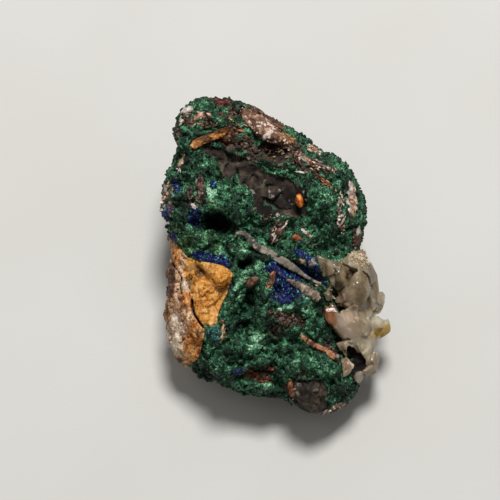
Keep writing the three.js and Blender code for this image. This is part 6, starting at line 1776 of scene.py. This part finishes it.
def malachite_crust():
    s = Shade("malachite_crust", 0.62, 0.30)
    fine, hair, wide = s.noise(0.22, 2, 0.7, 0.6), s.noise(0.42, 3, 0.75, 1.4), s.noise(2.6, 3, 0.6)
    curl = s.ease(s.math("ABSOLUTE", s.math("SUBTRACT", s.noise(0.75, 1, 0.5, 1.0), 0.5)), 0.10, 0.0)
    tone = s.math("ADD", s.attr("tone"), s.math("MULTIPLY", s.math("SUBTRACT", hair, 0.5), 1.05))
    tone = s.math("ADD", tone, s.math("MULTIPLY", s.math("SUBTRACT", fine, 0.5), 0.55))
    tone = s.math("ADD", tone, s.math("MULTIPLY", s.math("SUBTRACT", curl, 0.35), 0.34))
    col = green(s, tone, s.attr("hue"))
    blot = s.math("MULTIPLY", s.math("SUBTRACT", s.noise(0.9, 4, 0.65, 0.3), 0.5), 1.5)
    grit = s.noise(0.5, 3, 0.7)
    paints = (
        ("rock", s.ramp(grit, (0.25, "#1d1613"), (0.5, "#4a3b31"), (0.75, "#7d6b5c"))),
        ("rust", s.ramp(grit, (0.25, "#1e110c"), (0.5, "#54301d"), (0.75, "#8b5a36"))),
        ("red", s.ramp(grit, (0.25, "#180a08"), (0.5, "#4c1a15"), (0.75, "#7c3a28"))),
        ("ochre", s.ramp(grit, (0.25, "#3a2412"), (0.5, "#8a5a2a"), (0.75, "#c28e52"))),
        ("pale", s.ramp(grit, (0.3, "#5c4c40"), (0.5, "#a5958a"), (0.7, "#e0d6cc"))),
        ("blue", s.ramp(grit, (0.25, "#070a1c"), (0.5, "#131c55"), (0.75, "#2c3f97"))),
    )
    for kind, paint in paints:
        lo, hi = (0.30, 0.62) if kind != "pale" else (0.45, 0.75)
        col = s.mix(s.ease(s.math("ADD", s.attr(kind), blot), lo + 0.1, hi + 0.1), col, paint)
    bump = s.math("ADD", s.math("MULTIPLY", hair, 0.6), s.math("MULTIPLY", fine, 0.4))
    return s.done(col, bump, 0.28, s.ease(wide, 0.3, 0.7, 0.5, 0.72))


def malachite_needles():
    s = Shade("malachite_needle", 0.42, 0.45)
    high = s.attr("high")
    # darker at each needle's root and lighter at its tip: painted shade down in the fuzz and painted light on the tips
    tone = s.math("ADD", s.attr("tone"), s.math("MULTIPLY", s.math("SUBTRACT", high, 0.50), 0.46))
    return s.done(green(s, tone, s.attr("hue")))


def host_rock():
    s = Shade("host_rock", 0.82, 0.25)
    speck, mid_, big = s.noise(0.35, 3, 0.75), s.noise(1.2, 4, 0.7, 0.4), s.noise(5.0, 4, 0.6)
    tone = s.math("ADD", s.attr("tone"), s.math("MULTIPLY", s.math("SUBTRACT", mid_, 0.5), 0.8))
    tone = s.math("ADD", tone, s.math("MULTIPLY", s.math("SUBTRACT", speck, 0.5), 0.45))
    col = s.ramp(tone, (0.1, "#14100d"), (0.35, "#2e2620"), (0.55, "#4d4239"), (0.75, "#726457"), (0.95, "#9c8e80"))
    col = s.mix(s.ease(s.math("ADD", s.attr("rust"), s.math("SUBTRACT", mid_, 0.5)), 0.3, 0.9, 0.0, 0.8), col, s.ramp(speck, (0.3, "#3a2218"), (0.6, "#7a4c2e"), (0.8, "#a6764a")))
    col = s.mix(s.ease(s.math("ADD", s.attr("white"), s.math("MULTIPLY", s.math("SUBTRACT", mid_, 0.5), 1.6)), 0.45, 0.85, 0.0, 0.8), col, s.ramp(speck, (0.3, "#8d8177"), (0.6, "#c9bfb5"), (0.8, "#e6dfd8")))
    col = s.mix(s.ease(s.math("ADD", s.attr("green"), s.math("MULTIPLY", s.math("SUBTRACT", mid_, 0.5), 2.2)), 0.75, 1.15, 0.0, 0.85), col, s.ramp(speck, (0.3, "#0e261b"), (0.5, "#2a5f45"), (0.7, "#5f9b79")))
    col = s.mix(s.ease(big, 0.35, 0.65, 0.35, 0.0), col, "#2b2420")
    return s.done(col, s.math("ADD", s.math("MULTIPLY", mid_, 0.7), s.math("MULTIPLY", speck, 0.3)), 0.35)


def limonite(name, stops, browns, pales, oranges):
    s = Shade(name, 0.85, 0.2)
    speck, mid_ = s.noise(0.30, 3, 0.75), s.noise(1.0, 4, 0.7, 0.8)
    curl = s.ease(s.math("ABSOLUTE", s.math("SUBTRACT", s.noise(0.7, 1, 0.5, 1.2), 0.5)), 0.09, 0.0)
    tone = s.math("ADD", s.attr("tone"), s.math("MULTIPLY", s.math("SUBTRACT", mid_, 0.5), 0.9))
    tone = s.math("ADD", tone, s.math("MULTIPLY", s.math("SUBTRACT", speck, 0.5), 0.9))
    tone = s.math("ADD", tone, s.math("MULTIPLY", s.math("SUBTRACT", 0.3, curl), 0.30))
    col = s.ramp(tone, *stops)
    blot = s.math("MULTIPLY", s.math("SUBTRACT", mid_, 0.5), 1.3)
    col = s.mix(s.ease(s.math("ADD", s.attr("orange"), blot), 0.3, 0.8, 0.0, 0.85), col, s.ramp(tone, *oranges))
    col = s.mix(s.ease(s.math("ADD", s.attr("pale"), blot), 0.35, 0.8, 0.0, 0.9), col, s.ramp(tone, *pales))
    col = s.mix(s.ease(s.math("ADD", s.attr("brown"), blot), 0.4, 0.85, 0.0, 0.9), col, s.ramp(tone, *browns))
    # deep: painted shade in the cracks
    col = s.mix(s.ease(s.attr("deep"), 0.25, 0.8, 0.0, 0.95), col, "#120d0a")
    return s.done(col, s.math("ADD", s.math("MULTIPLY", mid_, 0.7), s.math("MULTIPLY", speck, 0.3)), 0.3)


def vein_stone():
    s = Shade("vein_stone", 0.6, 0.4)
    speck, mid_ = s.noise(0.30, 3, 0.75), s.noise(0.9, 4, 0.7, 0.6)
    tone = s.math("ADD", s.attr("tone"), s.math("MULTIPLY", s.math("SUBTRACT", mid_, 0.5), 0.9))
    tone = s.math("ADD", tone, s.math("MULTIPLY", s.math("SUBTRACT", speck, 0.5), 0.5))
    blot = s.math("MULTIPLY", s.math("SUBTRACT", mid_, 0.5), 1.2)
    col = s.ramp(tone, (0.1, "#33241a"), (0.35, "#674a37"), (0.55, "#957159"), (0.75, "#bf987d"), (0.95, "#e8cfbb"))
    col = s.mix(s.ease(s.math("ADD", s.attr("brown"), blot), 0.4, 0.8, 0.0, 0.85), col, s.ramp(speck, (0.3, "#2e1d15"), (0.6, "#6d4a35"), (0.8, "#93684a")))
    col = s.mix(s.ease(s.math("ADD", s.attr("white"), blot), 0.4, 0.8, 0.0, 0.9), col, s.ramp(speck, (0.25, "#c9aea0"), (0.55, "#efdfd4"), (0.8, "#fbf3ea")))
    return s.done(col, s.math("ADD", s.math("MULTIPLY", mid_, 0.6), s.math("MULTIPLY", speck, 0.4)), 0.3)


def stones():
    s = Shade("set_stone", 0.6, 0.4)
    speck, mid_ = s.noise(0.30, 3, 0.75), s.noise(0.9, 4, 0.7, 0.6)
    tone = s.math("ADD", s.attr("tone"), s.math("MULTIPLY", s.math("SUBTRACT", mid_, 0.5), 0.8))
    tone = s.math("ADD", tone, s.math("MULTIPLY", s.math("SUBTRACT", speck, 0.5), 0.4))
    looks = {
        "orange": ("#6b2c08", "#c9681c", "#f0a050"), "rust": ("#3a1a0c", "#8a4a26", "#c08050"), "brown": ("#1d120d", "#54392a", "#866250"),
        "tan": ("#5c4630", "#a98c66", "#dcc59c"), "pale": ("#7c6d62", "#c0b3aa", "#f0e9e2"), "peach": ("#7a5540", "#cfa38a", "#f3dccb"),
        "grey": ("#3c3431", "#7d716b", "#b5aaa4"), "ochre": ("#553312", "#a9733a", "#dcae70"), "red": ("#1e0c09", "#55211a", "#8d4a36"),
    }
    kind, col = s.attr("kind"), None
    for i, k in enumerate(STONE_COLOURS):
        own = s.ramp(tone, (0.15, looks[k][0]), (0.5, looks[k][1]), (0.85, looks[k][2]))
        col = own if col is None else s.mix(s.math("GREATER_THAN", kind, i / len(STONE_COLOURS)), col, own)
    return s.done(col, s.math("ADD", s.math("MULTIPLY", mid_, 0.6), s.math("MULTIPLY", speck, 0.4)), 0.25)


def azurite():
    s = Shade("azurite", 0.45, 0.35)
    speck = s.noise(0.35, 3, 0.7)
    tone = s.math("ADD", s.attr("tone"), s.math("MULTIPLY", s.math("SUBTRACT", speck, 0.5), 0.5))
    col = s.ramp(tone, (0.0, "#03040c"), (0.35, "#0a1033"), (0.65, "#131f5c"), (0.88, "#273d8c"), (1.0, "#4f6db5"))
    col = s.mix(s.ease(s.math("ADD", s.attr("green"), s.math("SUBTRACT", speck, 0.5)), 0.4, 0.8, 0.0, 0.9), col, s.ramp(tone, (0.1, "#0c2f26"), (0.5, "#1f6b57"), (0.9, "#5cae92")))
    return s.done(col, speck, 0.06, s.ease(speck, 0.3, 0.7, 0.35, 0.6))


def iron_grains():
    s = Shade("iron_grain", 0.6, 0.4)
    speck = s.noise(0.35, 3, 0.7)
    tone = s.math("ADD", s.attr("tone"), s.math("MULTIPLY", s.math("SUBTRACT", speck, 0.5), 0.5))
    col = s.ramp(tone, (0.1, "#15100d"), (0.4, "#3d3028"), (0.65, "#6d5b4e"), (0.9, "#9b8a7d"))
    col = s.mix(s.ease(s.attr("warm"), 0.1, 0.9), col, s.ramp(tone, (0.1, "#22120a"), (0.4, "#643a1e"), (0.65, "#a3683a"), (0.9, "#d29c66")))
    col = s.mix(s.ease(s.attr("red"), 0.2, 0.8), col, s.ramp(tone, (0.1, "#180706"), (0.4, "#4a1713"), (0.65, "#77322a"), (0.9, "#a3604c")))
    return s.done(col, speck, 0.08)


def brown_iron():
    s = Shade("brown_iron", 0.62, 0.35)
    speck, mid_ = s.noise(0.35, 3, 0.75), s.noise(1.0, 3, 0.7, 0.6)
    tone = s.math("ADD", s.attr("tone"), s.math("MULTIPLY", s.math("SUBTRACT", mid_, 0.5), 0.8))
    col = s.ramp(tone, (0.1, "#2a160d"), (0.35, "#643a24"), (0.6, "#9a6242"), (0.85, "#c58f68"))
    col = s.mix(s.ease(s.math("ADD", s.attr("dark"), s.math("SUBTRACT", mid_, 0.5)), 0.35, 0.9, 0.0, 0.8), col, "#1c100b")
    return s.done(col, s.math("ADD", s.math("MULTIPLY", mid_, 0.6), s.math("MULTIPLY", speck, 0.4)), 0.2)


def blade_stone(name, stops, dark):
    s = Shade(name, 0.5, 0.45)
    speck, mid_ = s.noise(0.3, 3, 0.75), s.noise(0.8, 3, 0.7, 0.6)
    tone = s.math("ADD", s.attr("tone"), s.math("MULTIPLY", s.math("SUBTRACT", mid_, 0.5), 0.7))
    tone = s.math("ADD", tone, s.math("MULTIPLY", s.math("SUBTRACT", speck, 0.5), 0.4))
    col = s.ramp(tone, *stops)
    col = s.mix(s.ease(s.math("ADD", s.attr("dark"), s.math("MULTIPLY", s.math("SUBTRACT", speck, 0.5), 0.8)), 0.35, 0.9, 0.0, 0.85), col, dark)
    return s.done(col, s.math("ADD", s.math("MULTIPLY", mid_, 0.5), s.math("MULTIPLY", speck, 0.5)), 0.15)


def quartz_clear():
    s = Shade("quartz_clear", 0.24, 0.35, Transmission_Weight=0.58, IOR=1.54)
    mid_ = s.noise(1.1, 4, 0.65, 0.9)
    blot = s.math("SUBTRACT", mid_, 0.5)
    tone = s.math("ADD", s.attr("tone"), s.math("MULTIPLY", blot, 0.5))
    col = s.ramp(tone, (0.0, "#40321f"), (0.25, "#8d7859"), (0.5, "#bfab8a"), (0.75, "#e0d0b1"), (1.0, "#f8f0dc"))
    col = s.mix(s.ease(s.attr("pink"), 0.1, 0.9, 0.0, 0.7), col, s.ramp(tone, (0.0, "#7f604a"), (0.5, "#cdaa8e"), (1.0, "#f6dfca")))
    col = s.mix(s.ease(s.attr("cream"), 0.1, 0.9, 0.0, 0.8), col, s.ramp(tone, (0.1, "#8c774f"), (0.5, "#d1bf97"), (0.9, "#f4ebd2")))
    col = s.mix(s.ease(s.math("ADD", s.attr("orange"), blot), 0.25, 0.9, 0.0, 0.85), col, s.ramp(tone, (0.1, "#5e2610"), (0.5, "#b5602c"), (0.9, "#e8b284")))
    col = s.mix(s.ease(s.math("ADD", s.attr("yellow"), s.math("MULTIPLY", blot, 0.6)), 0.35, 0.75, 0.0, 0.95), col, s.ramp(tone, (0.1, "#a57c14"), (0.6, "#d3ac33"), (1.0, "#ecd371")))
    # edge: painted highlight along the facet edges
    col = s.mix(s.math("MULTIPLY", s.attr("edge"), 0.55), col, "#f4ead6")
    s.set(s.b.inputs["Base Color"], col)
    bump = s.noise(1.1, 3, 0.6)
    n = s.t.nodes.new("ShaderNodeBump")
    n.inputs["Distance"].default_value = 0.0001
    s.set(n.inputs["Height"], bump)
    s.t.links.new(n.outputs["Normal"], s.b.inputs["Normal"])
    vol = s.t.nodes.new("ShaderNodeVolumeAbsorption")
    vol.inputs["Color"].default_value = (0.80, 0.74, 0.62, 1)
    vol.inputs["Density"].default_value = 26.0
    out = next(n for n in s.t.nodes if n.type == "OUTPUT_MATERIAL")
    s.t.links.new(vol.outputs[0], out.inputs["Volume"])
    return s.m


def quartz_cloudy():
    s = Shade("quartz_cloudy", 0.55, 0.3)
    mid_, speck = s.noise(1.3, 4, 0.65, 0.8), s.noise(0.4, 2, 0.6)
    tone = s.math("ADD", s.attr("tone"), s.math("MULTIPLY", s.math("SUBTRACT", mid_, 0.5), 0.55))
    tone = s.math("ADD", tone, s.math("MULTIPLY", s.math("SUBTRACT", speck, 0.5), 0.2))
    col = s.ramp(tone, (0.0, "#66553d"), (0.3, "#ab987a"), (0.55, "#cdbd9f"), (0.8, "#e8dcc4"), (1.0, "#faf4e6"))
    col = s.mix(s.ease(s.attr("brown"), 0.1, 0.9, 0.0, 0.75), col, s.ramp(tone, (0.0, "#2c221c"), (0.4, "#75624f"), (0.8, "#ad9a86")))
    col = s.mix(s.ease(s.attr("pink"), 0.1, 0.9, 0.0, 0.8), col, s.ramp(tone, (0.0, "#8f7869"), (0.4, "#cbb2a4"), (0.8, "#efdccf")))
    col = s.mix(s.ease(s.attr("cream"), 0.1, 0.9, 0.0, 0.9), col, s.ramp(tone, (0.1, "#9b8664"), (0.5, "#d9c8a2"), (0.9, "#f6edd4")))
    col = s.mix(s.ease(s.math("ADD", s.attr("orange"), s.math("SUBTRACT", mid_, 0.5)), 0.25, 0.9, 0.0, 0.85), col, s.ramp(tone, (0.1, "#5e2a14"), (0.5, "#b06a40"), (0.9, "#e2b085")))
    return s.done(col, mid_, 0.2)


def quartz_small():
    s = Shade("quartz_small", 0.32, 0.5, Transmission_Weight=0.35, IOR=1.54)
    mid_ = s.noise(1.0, 4, 0.65, 0.5)
    tone = s.math("ADD", s.attr("tone"), s.math("MULTIPLY", s.math("SUBTRACT", mid_, 0.5), 0.7))
    k = s.attr("kind")
    col = s.ramp(tone, (0.1, "#9a7d6b"), (0.5, "#d5bcac"), (0.9, "#f4e5da"))
    col = s.mix(s.math("GREATER_THAN", k, 0.4), col, s.ramp(tone, (0.1, "#5a5044"), (0.5, "#948878"), (0.9, "#c9beb0")))
    col = s.mix(s.math("GREATER_THAN", k, 0.62), col, s.ramp(tone, (0.1, "#8d6a44"), (0.5, "#c9a37a"), (0.9, "#ecd8ba")))
    col = s.mix(s.math("GREATER_THAN", k, 0.85), col, s.ramp(tone, (0.1, "#a08f6c"), (0.5, "#d8c9a4"), (0.9, "#f6efd8")))
    return s.done(col, mid_, 0.1)


GREENS, NEEDLES = malachite_crust(), malachite_needles()
CLOUDY, SMALL = quartz_cloudy(), quartz_small()
SLAB = limonite("limonite_pale", ((0.05, "#3c2518"), (0.3, "#7c553a"), (0.5, "#a57a57"), (0.7, "#c59f7b"), (0.95, "#e6cfb2")), ((0.1, "#1c1310"), (0.5, "#4c352b"), (0.9, "#7c5c4a")), ((0.1, "#7d6654"), (0.5, "#cbb39b"), (0.9, "#eee1d0")), ((0.05, "#4a1f08"), (0.4, "#a05a20"), (0.7, "#cf8b45"), (0.95, "#ecc083")))
WEDGE = limonite("limonite_ochre", ((0.0, "#3f1f08"), (0.25, "#8f5420"), (0.5, "#bf7c33"), (0.7, "#d0924a"), (0.95, "#e8bd7c")), ((0.1, "#1b120c"), (0.5, "#50361f"), (0.9, "#8a6238")), ((0.1, "#86704c"), (0.5, "#cbb78a"), (0.9, "#efe2bd")), ((0.1, "#6a360f"), (0.45, "#b9701f"), (0.8, "#e2a552")))
LEDGE = limonite("ochre_ledge", ((0.05, "#4a2810"), (0.3, "#99602e"), (0.5, "#c88d4c"), (0.7, "#e0b173"), (0.95, "#f6d9a6")), ((0.1, "#150c08"), (0.5, "#3f2617"), (0.9, "#74492b")), ((0.1, "#8c7250"), (0.5, "#c9b088"), (0.9, "#ecdcbc")), ((0.1, "#5b2c10"), (0.45, "#a9652c"), (0.8, "#d6975a")))
LONG = blade_stone("blade_pale", ((0.1, "#332c25"), (0.4, "#6a6156"), (0.65, "#8f8577"), (0.9, "#c0b5a6")), "#1c1714")
SHORT = blade_stone("blade_pinkish", ((0.1, "#362a23"), (0.4, "#6e5c50"), (0.65, "#95826f"), (0.9, "#c9b8a8")), "#281e18")
BROWN = blade_stone("blade_brown", ((0.1, "#4a2815"), (0.4, "#94583a"), (0.65, "#bb8058"), (0.9, "#ddb08a")), "#22120c")
def pocket():
    s = Shade("pocket_shade", 0.8, 0.3)
    # near-black brown: painted shade in the hole behind the lower crystals
    col = s.ramp(s.math("ADD", s.attr("tone"), s.math("MULTIPLY", s.math("SUBTRACT", s.noise(0.8, 4, 0.7, 0.6), 0.5), 0.7)), (0.0, "#0c0705"), (0.3, "#1d100b"), (0.6, "#3a2015"), (1.0, "#6a4029"))
    return s.done(col, s.noise(0.5, 3, 0.65), 0.3)


LOOK_POCKET = pocket()
LOOKS = {
    "malachite_crust_left": GREENS, "malachite_crust_right": GREENS, "malachite_needles_left": NEEDLES, "malachite_needles_right": NEEDLES,
    "limonite_wedge_body": WEDGE, "limonite_slab_body": SLAB, "ochre_blade_body": LEDGE, "set_stones": stones(), "iron_grains": iron_grains(),
    "quartz_cluster_clear": quartz_clear(), "quartz_inside": CLOUDY, "pocket_shade": LOOK_POCKET, "quartz_cap_sugar": SMALL,
    "long_blade_crystal": LONG, "short_blade_crystal": SHORT, "brown_blade_crystal": BROWN,
}
ROCK, AZURITE, VEIN = host_rock(), azurite(), vein_stone()
for name in PIECES:
    if name.startswith("matrix_rock"):
        LOOKS[name] = ROCK
    elif name.startswith("azurite"):
        LOOKS[name] = AZURITE
    LOOKS.setdefault(name, VEIN)

for name, (ob, slot, replaces) in PIECES.items():
    ob.data.materials.append(LOOKS[name])
    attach(ob, "root")
    if replaces:
        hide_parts(*replaces)
print("triangles", sum(len(p[0].data.loops) - 2 * len(p[0].data.polygons) for p in PIECES.values()))


# ------------------------------------------------------------------ floor, light and camera
def paper():
    s = Shade("paper", 0.9, 0.1)
    spot = s.cells(3.2, "F1")
    col = s.mix(s.ease(s.noise(40.0, 2, 0.5), 0.3, 0.7), "#d6d5d1", "#d3d1cc")
    dust = s.math("MULTIPLY", s.ease(spot, 0.035, 0.02), s.ease(s.noise(9.0, 2, 0.5), 0.60, 0.66))
    return s.done(s.mix(s.math("MULTIPLY", dust, 0.5), col, "#8a8078"), s.noise(0.6, 3, 0.6), 0.03)


bm = bmesh.new()
for x, y in ((-0.6, -0.6), (0.6, -0.6), (0.6, 0.6), (-0.6, 0.6)):
    bm.verts.new((x, y, 0))
bm.faces.new(bm.verts)
me = bpy.data.meshes.new("paper_sheet")
bm.to_mesh(me)
bm.free()
floor = bpy.data.objects.new("paper_sheet", me)
bpy.context.scene.collection.objects.link(floor)
me.materials.append(paper())

TARGET = row([[-2.88, 1.92, 5.0]])[0]
NORMAL = Vector((0, -SIN, COS))
UP = Vector((0, COS, SIN))
cam = bpy.data.cameras.new("camera")
cam.sensor_width, cam.lens = 36.0, 36.0 * 700.0 / 120.0
cam.clip_start, cam.clip_end = 0.05, 5.0
eye = bpy.data.objects.new("camera", cam)
bpy.context.scene.collection.objects.link(eye)
right = UP.cross(NORMAL)
turn = Matrix((right, UP, NORMAL)).transposed().to_4x4()
eye.matrix_world = Matrix.Translation(Vector(TARGET) + 0.7 * NORMAL) @ turn
bpy.context.scene.camera = eye

world = bpy.data.worlds.new("soft_white")
bpy.context.scene.world = world
world.use_nodes = True
bg = next(n for n in world.node_tree.nodes if n.type == "BACKGROUND")
bg.inputs["Color"].default_value = (1.0, 0.985, 0.96, 1)
bg.inputs["Strength"].default_value = 0.19


def lamp(name, place, size, power, colour=(1, 1, 1), aim=(0, 0, 0.015)):
    light = bpy.data.lights.new(name, "AREA")
    light.shape, light.size, light.energy, light.color = "DISK", size, power, colour
    o = bpy.data.objects.new(name, light)
    bpy.context.scene.collection.objects.link(o)
    o.location = place
    o.rotation_euler = (Vector(aim) - Vector(place)).to_track_quat("-Z", "Y").to_euler()


lamp("window", (0.05, 0.31, 0.95), 0.28, 9.4, (1.0, 0.995, 0.985))
lamp("fill", (-0.5, 0.1, 0.9), 0.5, 0.35, (0.97, 0.98, 1.0))
bpy.context.scene.view_settings.view_transform = "Standard"
bpy.context.scene.view_settings.look = "None"
